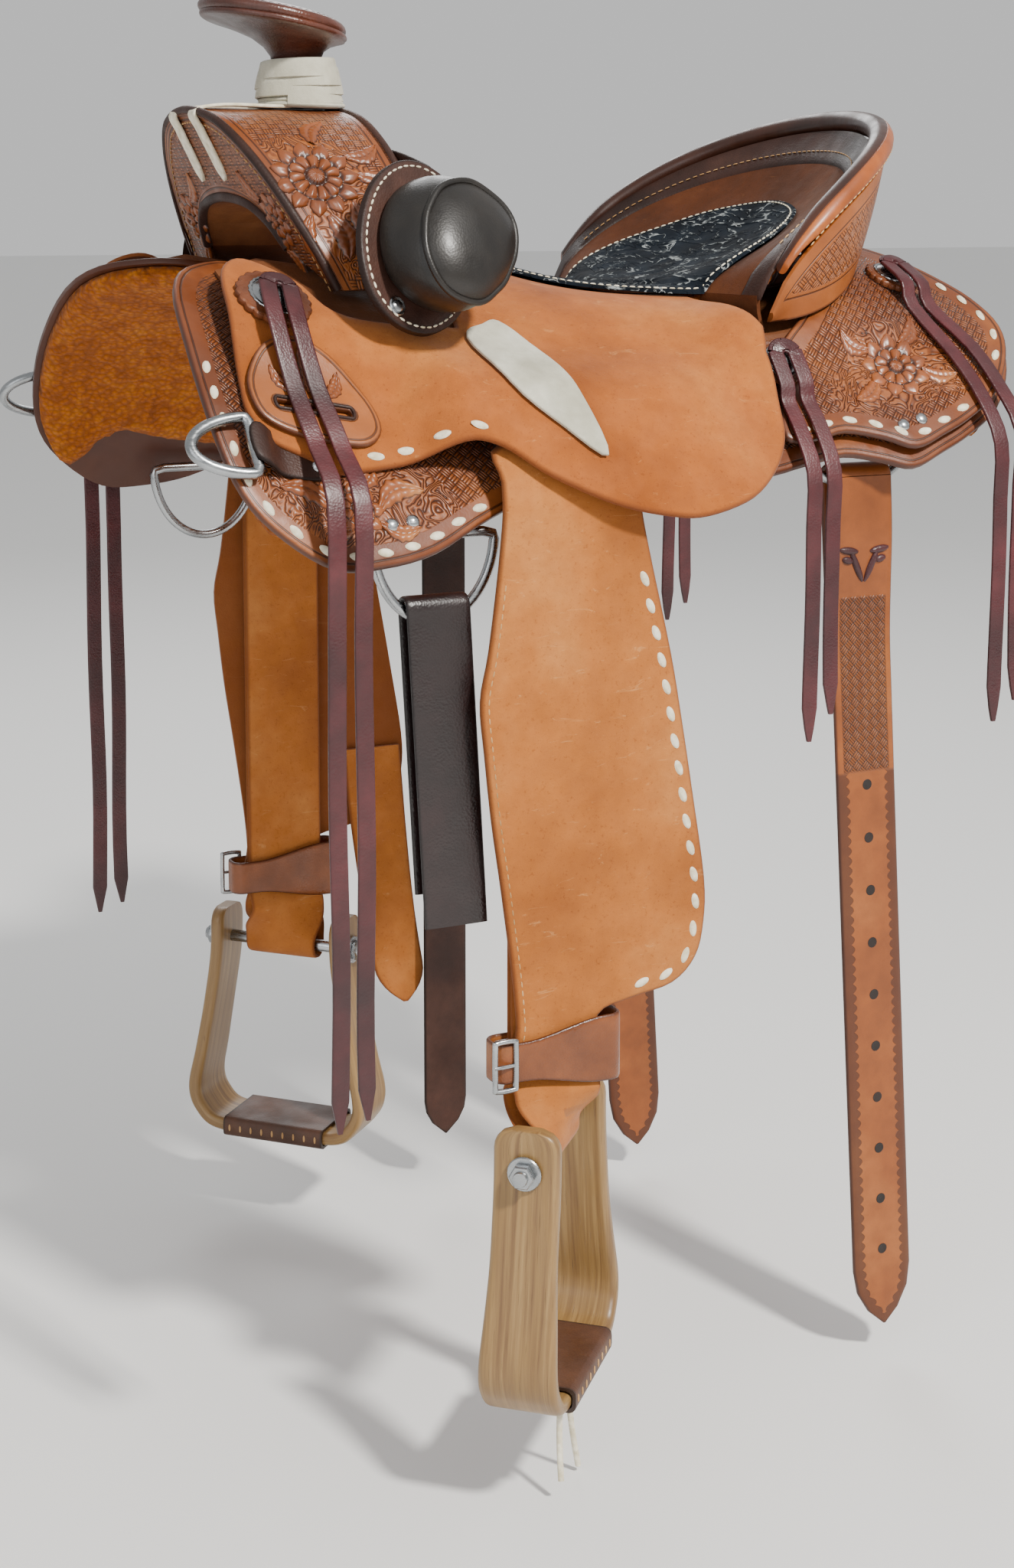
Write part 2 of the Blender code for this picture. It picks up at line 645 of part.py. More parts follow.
def make_seat():
    """Seat leather with both jockeys, in one piece from jockey to jockey."""
    near = [tuple(p) for p in curve_through(SEAT, 2)]
    across = [(0.0950, 0.170), (0.0860, 0.125), (0.0710, 0.063), (0.0570, 0.012)]
    front = [(-0.118, 0.012), (-0.118, 0.060), (-0.120, 0.110)]
    half = [(x, s) for x, s in near + across]
    outline = [(x, -s) for x, s in front] + [(x, -s) for x, s in half]
    outline += [(x, s) for x, s in reversed(half)] + [(x, s) for x, s in reversed(front)]
    flat, faces = flat_mesh(outline, 0.024)
    thick_sheet("seat_leather", flat, faces,
                lambda x, s: on_barrel(x, s, seat_height(x, s)),
                lambda x, s: on_barrel(x, s, seat_height(x, s) + SEAT_T), "rough_out")

    slab = [(-0.105, 0.043), (-0.105, -0.043), (0.050, -0.043), (0.050, 0.043)]
    flat, faces = flat_mesh(slab, 0.022)
    thick_sheet("ground_seat", flat, faces,
                lambda x, s: on_barrel(x, s, 0.010),
                lambda x, s: on_barrel(x, s, SEAT_BASE - 0.0048), "rawhide")

    ring = [tuple(p) for p in curve_through(
        ((-0.035, 0.0), (-0.010, 0.045), (0.030, 0.080), (0.075, 0.108), (0.115, 0.112),
         (0.160, 0.096), (0.200, 0.060), (0.217, 0.0), (0.200, -0.060), (0.160, -0.096),
         (0.115, -0.112), (0.075, -0.108), (0.030, -0.080), (-0.010, -0.045)), 2, closed=True)]
    flat, faces = flat_mesh(ring, 0.018)
    thick_sheet("seat_inlay", flat, faces,
                lambda x, y: Vector((x, y, seat_top(x, y) + 0.0034)),
                lambda x, y: Vector((x, y, seat_top(x, y) + 0.0048)), "inlay")


# ------------------------------------------------------------------ skirts
def pulled_in(outline, by):
    """The outline, moved inwards by a distance."""
    points = [Vector(p) for p in outline]
    area = sum(a.x * b.y - b.x * a.y for a, b in zip(points, points[1:] + points[:1]))
    out = []
    for i, p in enumerate(points):
        along = (points[(i + 1) % len(points)] - points[i - 1]).normalized()
        inward = Vector((-along.y, along.x)) * (1 if area > 0 else -1)
        out.append(tuple(p + inward * by))
    return out


def fleece_outline():
    """The skirt's outline set in, and cut back further where the rigging rings hang."""
    out = []
    for x, s in pulled_in(SKIRT, 0.004):
        if s > 0.2 and -0.262 < x < -0.130:
            s = min(s, 0.276)
        if s > 0.2 and 0.090 < x < 0.240:
            s = min(s, 0.190)
        out.append((x, s))
    return out


def make_skirts():
    for side_name, side in SIDES.items():
        leather(f"skirt_{side_name}", SKIRT, side, lambda x, s: 0.0, SKIRT_T, "tooled")
        leather(f"skirt_fleece_{side_name}", fleece_outline(), side,
                lambda x, s: -FLEECE_T - 0.001, FLEECE_T, "fleece", per_span=2)
        leather(f"rear_housing_{side_name}", HOUSING, side, housing_height, HOUSING_T,
                "tooled", step=0.024, per_span=2)


# ------------------------------------------------------------------ front of the saddle
def seat_skin(x, s):
    """Top of the jockey leather above the barrel."""
    return seat_height(x, s) + SEAT_T


CONCHOS = {"front": (-0.259, 0.150, 0.026), "rear": (0.112, 0.182, 0.0185),
           "back": (0.247, 0.114, 0.0205)}


def skin_under(place, x, s):
    """Top of the leather that a concho and its strings lie on."""
    if place == "front":
        return seat_skin(x, s) + 0.0056 * smooth(s, 0.176, 0.190)
    return housing_height(x, s) + HOUSING_T


def concho_frame(place, side):
    """A matrix on the leather under a concho, with Z square to the leather."""
    x, s, radius = CONCHOS[place]

    def skin(dx, ds):
        return on_barrel(x + dx, side * (s + ds), skin_under(place, x + dx, s + ds))

    along = (skin(radius, 0) - skin(-radius, 0)).normalized()
    down = (skin(0, radius) - skin(0, -radius)).normalized()
    normal = along.cross(down).normalized()
    if normal.z < 0:
        normal = -normal
    centre = skin(0, 0)
    lift = 0.0
    for k in range(8):
        a = math.pi * k / 4
        for part in (0.5, 1.0):
            p = skin(radius * part * math.cos(a), radius * part * math.sin(a))
            lift = max(lift, (p - centre).dot(normal))
    frame = Matrix((along, normal.cross(along), normal)).transposed().to_4x4()
    frame.translation = centre + normal * (lift + 0.0022)
    return frame


def make_conchos():
    for side_name, side in SIDES.items():
        for place, (x, s, radius) in CONCHOS.items():
            turned(f"concho_{place}_{side_name}",
                   ((radius, 0.0), (radius, 0.0030), (0.0165, 0.0034), (0.0155, 0.0062),
                    (0.0080, 0.0082)), concho_frame(place, side), "steel", steps=16)


def make_keepers():
    for side_name, side in SIDES.items():
        keeper = leather(f"latigo_keeper_{side_name}", KEEPER, side,
                         lambda x, s: seat_skin(x, s) + 0.0012, 0.0036, "tooled",
                         step=0.016, per_span=2)
        x, s, length, width = KEEPER_SLOT
        frame = barrel_frame(x, side * s, seat_skin(x, s))
        corners = [frame @ Vector((a * length / 2, b * width / 2, c * 0.02))
                   for a in (-1, 1) for b in (-1, 1) for c in (-1, 1)]
        slot = solid(f"keeper_slot_{side_name}", corners,
                     [(0, 1, 3, 2), (4, 6, 7, 5), (0, 4, 5, 1), (2, 3, 7, 6), (0, 2, 6, 4),
                      (1, 5, 7, 3)], "tooled")
        combine(keeper, slot, "DIFFERENCE")


PLATE_CENTRE = Vector((-0.161, 0.156, 0.142))
PLATE_OUT = Vector((0.35, 0.88, 0.33)).normalized()
PLATE_OUTLINE = ((0.000, 0.064), (0.029, 0.058), (0.047, 0.034), (0.050, 0.000),
                 (0.041, -0.034), (0.016, -0.058), (-0.014, -0.061), (-0.038, -0.045),
                 (-0.049, -0.011), (-0.043, 0.027), (-0.025, 0.053))


def plate_frame(side):
    """Axes of a bucking roll's plate: across, up and out."""
    out = Vector((PLATE_OUT.x, side * PLATE_OUT.y, PLATE_OUT.z))
    up = Vector((0.30, -side * 0.30, 0.92))
    up = (up - out * up.dot(out)).normalized()
    across = up.cross(out).normalized() * -side
    centre = Vector((PLATE_CENTRE.x, side * PLATE_CENTRE.y, PLATE_CENTRE.z))
    return centre, across, up, out


def make_bucking_rolls():
    centre, across, up, out = plate_frame(1)
    end = centre + up * 0.052 + across * 0.008 + out * 0.0008
    back = fork_back(0.2) + 0.003 + GAP + 0.0030
    half = [end, end + Vector((0.007, -0.010, 0.004)), Vector((back, 0.088, 0.199)),
            Vector((back, 0.055, 0.203)), Vector((back, 0.020, 0.205))]
    path = [Vector((p.x, -p.y, p.z)) for p in half] + list(reversed(half))
    plates = strap("roll_plates", curve_through(path, 2), lambda i, n: (-0.2, 0, 1), 0.018, 0.003,
                   "dark_leather")
    for side_name, side in SIDES.items():
        centre, across, up, out = plate_frame(side)
        ring = [tuple(p) for p in curve_through(PLATE_OUTLINE, 3, closed=True)]
        flat, faces = flat_mesh(ring, 0.03)
        plate = thick_sheet(f"roll_plate_{side_name}", flat, faces,
                    lambda a, b: centre + across * a + up * b,
                    lambda a, b: centre + across * a + up * b + out * 0.005, "dark_leather")
        combine(plates, plate, "UNION")
        rings = []
        for rise, part, drift in ((0.0070, 0.88, 0.0), (0.016, 1.00, 0.003), (0.030, 1.02, 0.007),
                                  (0.044, 0.93, 0.010), (0.054, 0.72, 0.012),
                                  (0.060, 0.36, 0.012)):
            rings.append([centre + across * (a * part * 0.84 + 0.003 + drift)
                          + up * (b * part * 0.74 + 0.008 + drift * 0.4) + out * rise
                          for a, b in ring])
        loft(f"roll_pad_{side_name}", rings, "black")


def make_roll_tails():
    for side_name, side in SIDES.items():
        leather(f"roll_tail_{side_name}",
                ((-0.127, 0.164), (-0.110, 0.150), (-0.096, 0.146), (-0.080, 0.172),
                 (-0.069, 0.220), (-0.065, 0.262), (-0.091, 0.243), (-0.118, 0.212)),
                side, lambda x, s: seat_skin(x, s) + 0.0022, 0.0024, "mulehide",
                step=0.03, per_span=2)


# ------------------------------------------------------------------ rigging rings and straps
def ring_points(centre, across, down, half_width, drop, steps=20):
    """A D: a straight bar at the top and a round bow below it."""
    bow = [centre + across * half_width * math.cos(a) - down * (-drop) * math.sin(a)
           for a in (math.pi * k / steps for k in range(steps + 1))]
    bar = [bow[-1].lerp(bow[0], k / 6) for k in range(1, 6)]
    return bow + bar


class Hang:
    """Where a rigging ring hangs: its bar's middle, its plane and the strap that it carries."""

    def __init__(self, side, x, bar, foot, half_width):
        self.side, self.x, self.half = side, x, half_width
        self.top = Vector((x, side * bar[0], bar[1]))
        self.foot = Vector((x, side * foot[0], foot[1]))
        self.down = (self.foot - self.top).normalized()
        self.drop = (self.foot - self.top).length


FRONT_RING = (-0.178, (0.2260, -0.038), (0.2260, -0.094), 0.043)
REAR_RING = (0.168, (0.1925, 0.009), (0.1925, -0.027), 0.047)
RING_R = 0.0035
OFF_BILLET = (0.035, 0.2280, -0.020, -0.640)     # x, y, and the heights of its top and tip


def make_rings():
    for side_name, side in SIDES.items():
        for name, (x, bar, foot, half) in (("front_dee", FRONT_RING), ("rear_dee", REAR_RING)):
            hang = Hang(side, x, bar, foot, half)
            tube(f"{name}_{side_name}", ring_points(hang.top, Vector((1, 0, 0)), hang.down, half,
                                                    hang.drop), RING_R, "steel")
    for side_name, side in SIDES.items():
        frame = barrel_frame(-0.300, side * 0.262, SKIRT_T + 0.0078)
        bar_top, bar_foot = frame @ Vector((0, 0.018, 0)), frame @ Vector((0, -0.018, 0))
        reach = frame.to_3x3() @ Vector((-1, 0, 0))
        middle = (bar_top + bar_foot) / 2
        axis = (bar_top - bar_foot) / 2
        bow = [middle + axis * math.cos(a) * 1.12 + reach * 0.040 * math.sin(a)
               for a in (math.pi * k / 16 for k in range(17))]
        bar = [bow[-1].lerp(bow[0], k / 5) for k in range(1, 5)]
        tube(f"breast_dee_{side_name}", bow + bar, 0.0038, "steel")


def hanging_loop(hang, lean, half_width, tip_z, back_z, layer, drawn_in=0.0):
    """A strap's path from its tip up over a ring's foot and down behind it.

    It hangs upright under the ring's foot. lean moves its tip along x, and drawn_in brings its
    long front leaf back under the ring, so that the strap hangs in balance."""
    side = hang.side
    rise = hang.drop * (1 - math.sqrt(1 - (half_width / hang.half) ** 2))
    edge = hang.foot - hang.down * rise
    z = edge.z + 0.001
    y = (hang.foot.y + edge.y) / 2
    radius = RING_R + abs(hang.foot.y - edge.y) / 2 + 0.0012 + layer / 2
    def at(out, height):
        part = (z - height) / max(1e-6, z - tip_z)
        return Vector((hang.x + lean * part, y + side * out, height))
    heights = [mix(tip_z, z - 0.004, (k / 14) ** 0.8) for k in range(15)]
    front = [at(radius - drawn_in * smooth(h, z - 0.02, z - 0.13), h) for h in heights]
    over = [at(radius * math.cos(a), z + radius * math.sin(a))
            for a in (math.pi * k / 6 for k in range(7))]
    back = [at(-radius, mix(z - 0.004, back_z, k / 3)) for k in range(4)]
    return front + over + back


def make_billets():
    for side_name, side in SIDES.items():
        hang = Hang(side, *REAR_RING)
        path = hanging_loop(hang, 0.040, BILLET_W / 2, -0.668, -0.115, 0.0046,
                            drawn_in=0.0075)
        path.reverse()
        strap(f"flank_billet_{side_name}", path, lambda i, n: (1, 0, 0), BILLET_W, 0.0046,
              "tooled", tip=0.045)
    hang = Hang(-1, *FRONT_RING)
    path = hanging_loop(hang, 0.012, 0.0225, -0.296, -0.276, 0.0038)
    strap("latigo", path, lambda i, n: (1, 0, 0), 0.045, 0.0038, "latigo")
    x, y, top, tip = OFF_BILLET
    strap("off_billet", [Vector((x, y, mix(top, tip, k / 12))) for k in range(13)],
          lambda i, n: (1, 0, 0), 0.040, 0.004, "dark_leather", tip=0.03)


# ------------------------------------------------------------------ fenders and stirrups
def make_fenders():
    for side_name, side in SIDES.items():
        ring = [tuple(p) for p in curve_through(FENDER, 2, closed=True)]
        flat, faces = flat_mesh(ring, 0.05)
        inner, outer = FENDER_Y - FENDER_T / 2, FENDER_Y + FENDER_T / 2
        thick_sheet(f"fender_{side_name}", flat, faces,
                    lambda x, z: Vector((x + HANG_SHIFT[side], side * inner, z)),
                    lambda x, z: Vector((x + HANG_SHIFT[side], side * outer, z)), "rough_out")


def bolt_axis(side):
    """Level direction along a stirrup's bolt, from the outer end to the inner end."""
    return Vector((math.cos(BOLT_TURN), -side * math.sin(BOLT_TURN), 0))


def leather_width(side, z):
    """The stirrup leather's width direction, which turns with the stirrup near the bolt."""
    turn = BOLT_TURN * smooth(z, -0.414, -0.446)
    return Vector((math.cos(turn), -side * math.sin(turn), 0))


def make_stirrup_leathers():
    for side_name, side in SIDES.items():
        centre = Vector((STIRRUP_X + HANG_SHIFT[side], side * LEATHER_Y, 0))
        def at(z, offset):
            w = leather_width(side, z)
            n = Vector((-w.y, w.x, 0)) * side
            return centre + n * offset + Vector((0, 0, z))
        def spread(z):
            return mix(0.0026, 0.0092, smooth(z, -0.402, -0.416))
        top = -0.034
        down = [mix(top, -0.399, k / 9) for k in range(9)]
        down += [mix(-0.399, BOLT_Z + 0.002, k / 24) for k in range(25)]
        front = [at(z, spread(z)) for z in down]
        radius = spread(BOLT_Z)
        turn = [at(BOLT_Z, 0) + (at(BOLT_Z, radius) - at(BOLT_Z, 0)) * math.cos(a)
                - Vector((0, 0, radius)) * math.sin(a) for a in (math.pi * k / 6 for k in range(7))]
        back = [at(z, -spread(z)) for z in reversed(down[2:])]
        path = front + turn + back
        heights = [p.z for p in path]
        strap(f"stirrup_leather_{side_name}", path,
              lambda i, n: leather_width(side, heights[i]), LEATHER_W, LEATHER_T, "rough_out")


def make_hobble_straps():
    for side_name, side in SIDES.items():
        x1, x2 = STIRRUP_X + HANG_SHIFT[side] - 0.0460, STIRRUP_X + HANG_SHIFT[side] + 0.0460
        y1, y2 = LEATHER_Y - 0.0085, FENDER_Y + 0.0050
        r = 0.008
        loop = []
        for cx, cy, first in ((x2 - r, y2 - r, 0), (x1 + r, y2 - r, 90), (x1 + r, y1 + r, 180),
                              (x2 - r, y1 + r, 270)):
            loop += [(cx + r * math.cos(math.radians(first + k * 30)),
                      cy + r * math.sin(math.radians(first + k * 30))) for k in range(4)]
        path = [Vector((x, side * y, -0.3880)) for x, y in loop]
        strap(f"hobble_strap_{side_name}", path, lambda i, n: (0, 0, 1), 0.033, 0.0030,
              "tooled", closed=True)


def stirrup_path():
    """The bent wood's middle line: distance along the bolt's axis, and height."""
    top = BOLT_Z + 0.027
    side = ((-STIRRUP_TOP_HALF, top), (-STIRRUP_TOP_HALF - 0.001, BOLT_Z - 0.010),
            (-0.063, -0.505), (-0.071, -0.548), (-STIRRUP_FOOT_HALF, -0.580),
            (-0.070, -0.599), (-0.052, TREAD_Z), (0.0, TREAD_Z))
    full = list(side) + [(-u, z) for u, z in reversed(side[:-1])]
    return [tuple(p) for p in curve_through(full, 3)]


def make_stirrups():
    line = stirrup_path()
    for side_name, side in SIDES.items():
        axis = bolt_axis(side)
        aside = Vector((-axis.y, axis.x, 0))
        centre = Vector((STIRRUP_X + HANG_SHIFT[side], side * LEATHER_Y, 0))
        rings = []
        for i, (u, z) in enumerate(line):
            a, b = line[max(i - 1, 0)], line[min(i + 1, len(line) - 1)]
            along = Vector((b[0] - a[0], b[1] - a[1])).normalized()
            nu, nz = -along.y, along.x
            half = mix(0.0225, 0.0270, smooth(z, -0.50, -0.60))
            t = 0.0055
            rings.append([centre + axis * (u + nu * e * t) + Vector((0, 0, z + nz * e * t))
                          + aside * w * half
                          for w, e in ((1, 0.55), (1, -0.55), (0.8, -1), (-0.8, -1),
                                       (-1, -0.55), (-1, 0.55), (-0.8, 1), (0.8, 1))])
        frame_piece = loft(f"stirrup_{side_name}", rings, "wood")
        turn = Matrix((aside, Vector((0, 0, 1)), axis)).transposed().to_4x4()
        turn.translation = centre + Vector((0, 0, BOLT_Z))
        hole = turned(f"bolt_hole_{side_name}", ((BOLT_R + 0.0006, -0.09), (BOLT_R + 0.0006, 0.09)),
                      turn, "wood", steps=14)
        combine(frame_piece, hole, "DIFFERENCE")
        end = STIRRUP_TOP_HALF + 0.0068
        turned(f"stirrup_bolt_{side_name}",
               ((0.005, -end - 0.012), (0.0085, -end - 0.009), (0.0085, -end - 0.003),
                (0.0115, -end - 0.0028), (0.0115, -end), (BOLT_R, -end + 0.0002),
                (BOLT_R, end - 0.0002), (0.0115, end), (0.0115, end + 0.0028),
                (0.0085, end + 0.003), (0.0085, end + 0.009), (0.005, end + 0.012)),
               turn, "steel", steps=12)
        rings = []
        for k in range(9):
            u = mix(-0.046, 0.046, k / 8)
            half, t = 0.0305, 0.0085
            rings.append([centre + axis * u + aside * w * half + Vector((0, 0, TREAD_Z + e * t))
                          for w, e in ((1, -0.6), (0.85, -1), (-0.85, -1), (-1, -0.6), (-1, 0.6),
                                       (-0.85, 1), (0.85, 1), (1, 0.6))])
        inner = []
        for k in range(9):
            u = mix(-0.046, 0.046, k / 8)
            inner.append([centre + axis * u + aside * w * 0.0280
                          + Vector((0, 0, TREAD_Z + e * 0.0064))
                          for w, e in ((1, -0.6), (0.85, -1), (-0.85, -1), (-1, -0.6), (-1, 0.6),
                                       (-0.85, 1), (0.85, 1), (1, 0.6))])
        sleeve(f"stirrup_tread_{side_name}", rings, inner, "dark_leather")


def sleeve(name, outer, inner, finish):
    """A solid tube between an outer and an inner set of rings, open at both ends."""
    rows, columns = len(outer), len(outer[0])
    points = [p for ring in outer for p in ring] + [p for ring in inner for p in ring]
    shift = rows * columns
    faces = grid_faces(rows, columns, wrap_columns=True)
    faces += [tuple(reversed([i + shift for i in f])) for f in faces]
    for row in (0, rows - 1):
        for j in range(columns):
            a, b = row * columns + j, row * columns + (j + 1) % columns
            face = (a, b, b + shift, a + shift)
            faces.append(face if row else tuple(reversed(face)))
    return solid(name, points, faces, finish)


# ------------------------------------------------------------------ saddle strings
STRING_SPREAD = 0.0078             # half the distance between a thong's two ends
STRING_ENDS = {
    # for each end of a thong: places on the leather as x and s, then the x and z of its
    # fall in the plane y that follows
    "front": ((((-0.2640, 0.215), (-0.2620, 0.245), (-0.2600, 0.262)), (-0.261, -0.410)),
              (((-0.2480, 0.215), (-0.2450, 0.245), (-0.2430, 0.262)), (-0.243, -0.404)), 0.265),
    "rear": ((((0.1045, 0.215), (0.1045, 0.236)), (0.105, -0.200)),
             (((0.1205, 0.215), (0.1210, 0.236)), (0.121, -0.182)), 0.2350),
    "back": ((((0.2440, 0.150), (0.2550, 0.200), (0.2600, 0.240)), (0.262, -0.200)),
             (((0.2610, 0.150), (0.2720, 0.195), (0.2770, 0.232)), (0.279, -0.186)), 0.2370),
}


def ribbon(name, path, normals, width, thickness, finish):
    """A flat thong along a path, with the outward normal given at each point."""
    rings = []
    for i, p in enumerate(path):
        along = (path[min(i + 1, len(path) - 1)] - path[max(i - 1, 0)]).normalized()
        across = along.cross(normals[i]).normalized()
        n = across.cross(along).normalized()
        rings.append([p + across * a * width / 2 + n * b * thickness / 2
                      for a, b in ((1, 1), (1, -1), (-1, -1), (-1, 1))])
    return loft(name, rings, finish)


def barrel_normal(s):
    angle = CREST_ANGLE + abs(s) / BARREL_R
    return Vector((0, math.copysign(math.sin(angle), s), math.cos(angle)))


def string_end(place, side, laid, fall, plane):
    """Points and normals of one end of a thong, from its concho to its tip."""
    out = []
    for x, s in laid:
        height = skin_under(place, x, s) + 0.0036
        out.append((on_barrel(x, side * s, height), barrel_normal(side * s)))
    x, z = fall
    start = out[-1][0].z - 0.030
    for k in range(6):
        out.append((Vector((x, side * plane, mix(start, z, k / 5))), Vector((0, side, 0))))
    return out


def make_strings():
    for side_name, side in SIDES.items():
        for place, (first, second, plane) in STRING_ENDS.items():
            frame = concho_frame(place, side)
            over, down = Vector((0, 0, 0.0105)), frame.to_3x3() @ Vector((0, 1, 0))
            way = 1 if down.z < 0 else -1
            normal = frame.to_3x3() @ Vector((0, 0, 1))
            bend = []
            for k in range(9):
                a = math.pi * k / 8
                flat = Vector((-math.cos(a), -way * math.sin(a), 0)) * STRING_SPREAD
                bend.append((frame @ (flat + over), normal))
            reach = CONCHOS[place][2] + 0.004
            leave = [(frame @ Vector((e * STRING_SPREAD, way * reach, 0.0088)), normal)
                     for e in (-1, 1)]
            one = string_end(place, side, *first, plane)
            other = string_end(place, side, *second, plane)
            full = list(reversed(one)) + [leave[0]] + bend + [leave[1]] + other
            ribbon(f"strings_{place}_{side_name}", [p for p, _ in full], [n for _, n in full],
                   STRING_W, STRING_T, "burgundy")


def main():
    empty_scene()
    make_bars()
    make_fork()
    make_horn()
    make_cantle()
    make_seat()
    make_skirts()
    make_conchos()
    make_keepers()
    make_bucking_rolls()
    make_roll_tails()
    make_rings()
    make_billets()
    make_fenders()
    make_stirrup_leathers()
    make_hobble_straps()
    make_stirrups()
    make_strings()


main()
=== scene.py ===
"""The looks of a western saddle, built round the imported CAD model.

Metres. +X runs to the cantle, +Z is up, -Y is the near side. Leather on the saddle's body is
laid on the same "barrel" as the CAD: x along the horse, s down the side from the centre line,
h above the skirt's underside. Every sheet keeps x and s in its UV map "lay", in metres, and the
distance from its own edge in the attribute "edge", so that tooling and borders follow the cut.
"""
import json
import math

import bmesh
import bpy
import numpy as np
from mathutils import Matrix, Vector, noise
from mathutils.geometry import delaunay_2d_cdt

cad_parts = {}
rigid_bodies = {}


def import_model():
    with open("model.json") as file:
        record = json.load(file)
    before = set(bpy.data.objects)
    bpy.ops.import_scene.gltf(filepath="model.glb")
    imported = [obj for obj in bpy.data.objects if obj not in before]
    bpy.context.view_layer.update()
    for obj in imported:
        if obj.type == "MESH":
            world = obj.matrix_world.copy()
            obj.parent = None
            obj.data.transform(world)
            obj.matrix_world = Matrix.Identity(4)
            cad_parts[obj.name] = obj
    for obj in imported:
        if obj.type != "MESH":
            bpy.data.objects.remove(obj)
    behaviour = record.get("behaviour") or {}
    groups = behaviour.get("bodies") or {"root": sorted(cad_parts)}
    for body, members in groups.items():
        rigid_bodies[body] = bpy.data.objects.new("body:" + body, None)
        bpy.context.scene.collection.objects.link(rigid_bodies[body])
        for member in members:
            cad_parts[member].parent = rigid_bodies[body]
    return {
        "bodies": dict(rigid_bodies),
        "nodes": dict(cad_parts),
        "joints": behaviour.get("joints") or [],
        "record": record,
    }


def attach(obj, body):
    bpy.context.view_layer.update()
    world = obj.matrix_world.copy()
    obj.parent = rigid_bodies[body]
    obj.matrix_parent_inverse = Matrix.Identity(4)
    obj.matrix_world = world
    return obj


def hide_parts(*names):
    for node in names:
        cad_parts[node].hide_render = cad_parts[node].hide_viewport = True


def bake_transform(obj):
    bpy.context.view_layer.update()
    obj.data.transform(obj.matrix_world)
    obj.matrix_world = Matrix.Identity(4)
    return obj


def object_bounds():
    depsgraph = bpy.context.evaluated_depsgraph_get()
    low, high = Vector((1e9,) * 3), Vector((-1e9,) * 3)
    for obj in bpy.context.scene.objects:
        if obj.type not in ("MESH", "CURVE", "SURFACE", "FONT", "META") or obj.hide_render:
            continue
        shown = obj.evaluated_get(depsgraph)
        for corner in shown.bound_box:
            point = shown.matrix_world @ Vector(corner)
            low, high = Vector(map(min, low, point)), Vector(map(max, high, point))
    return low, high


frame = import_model()
CAD_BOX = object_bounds()
SIDES = {"near": -1, "off": 1}
ROOT = "saddle"

# ------------------------------------------------------------------ camera, stage and light
CAMERA_AT = (-0.796, -1.600, 0.170)
CAMERA_TURN = -26.0
CAMERA_PITCH = -7.46
LENS = 54.5
SHIFT_Y = -0.170
FLOOR_DROP = 0.024          # the floor lies this far under the CAD box
FLOOR_REACH = 40
SKY_STRENGTH = 0.66
# Each lamp's place, the point it looks at, its size, power and colour.
LAMPS = {
    "key": ((0.5, -2.7, 2.3), (-0.02, -0.1, -0.05), 0.35, 210, (1.0, 0.965, 0.91)),
    "fill": ((-2.4, -1.9, 0.9), (0, 0, -0.1), 2.2, 22, (0.97, 0.98, 1.0)),
    "rim": ((0.8, 2.6, 1.8), (0, 0, 0), 1.6, 30, (1.0, 1.0, 1.0)),
}


def make_camera():
    """The photo's viewing angle, fitted to parts of known size."""
    data = bpy.data.cameras.new("camera")
    data.sensor_fit = "AUTO"
    data.sensor_width = 36.0
    data.lens = LENS
    data.shift_y = SHIFT_Y
    data.clip_end = 200
    camera = bpy.data.objects.new("camera", data)
    camera.location = CAMERA_AT
    camera.rotation_euler = (math.radians(90 + CAMERA_PITCH), 0, math.radians(CAMERA_TURN))
    bpy.context.scene.collection.objects.link(camera)
    bpy.context.scene.camera = camera


def look_at(thing, target):
    way = Vector(target) - thing.location
    thing.rotation_euler = way.to_track_quat("-Z", "Y").to_euler()


def area_light(name, at, target, size, power, colour):
    data = bpy.data.lights.new(name, "AREA")
    data.shape = "DISK"
    data.size = size
    data.energy = power
    data.color = colour
    light = bpy.data.objects.new(name, data)
    light.location = at
    bpy.context.scene.collection.objects.link(light)
    look_at(light, target)


def make_stage():
    """A pale floor, a soft even sky and three lamps."""
    floor_z = CAD_BOX[0].z - FLOOR_DROP
    mesh = bpy.data.meshes.new("floor")
    mesh.from_pydata([(x * FLOOR_REACH, y * FLOOR_REACH, floor_z)
                      for x, y in ((-1, -1), (1, -1), (1, 1), (-1, 1))], [], [(0, 1, 2, 3)])
    floor = bpy.data.objects.new("floor", mesh)
    bpy.context.scene.collection.objects.link(floor)
    shade = Shade("floor_paint", rough=0.9)
    shade.colour((0.80, 0.80, 0.79, 1))
    mesh.materials.append(shade.mat)
    world = bpy.data.worlds.new("studio")
    world.use_nodes = True
    back = world.node_tree.nodes["Background"]
    back.inputs["Color"].default_value = (1.0, 1.0, 1.0, 1)
    back.inputs["Strength"].default_value = SKY_STRENGTH
    bpy.context.scene.world = world
    for name, (at, target, size, power, colour) in LAMPS.items():
        area_light(name, at, target, size, power, colour)


# ------------------------------------------------------------------ materials
def rgb(code):
    """Linear colour from a six-digit sRGB code."""
    parts = [int(code[k:k + 2], 16) / 255 for k in (0, 2, 4)]
    return tuple(c / 12.92 if c <= 0.04045 else ((c + 0.055) / 1.055) ** 2.4
                 for c in parts) + (1.0,)


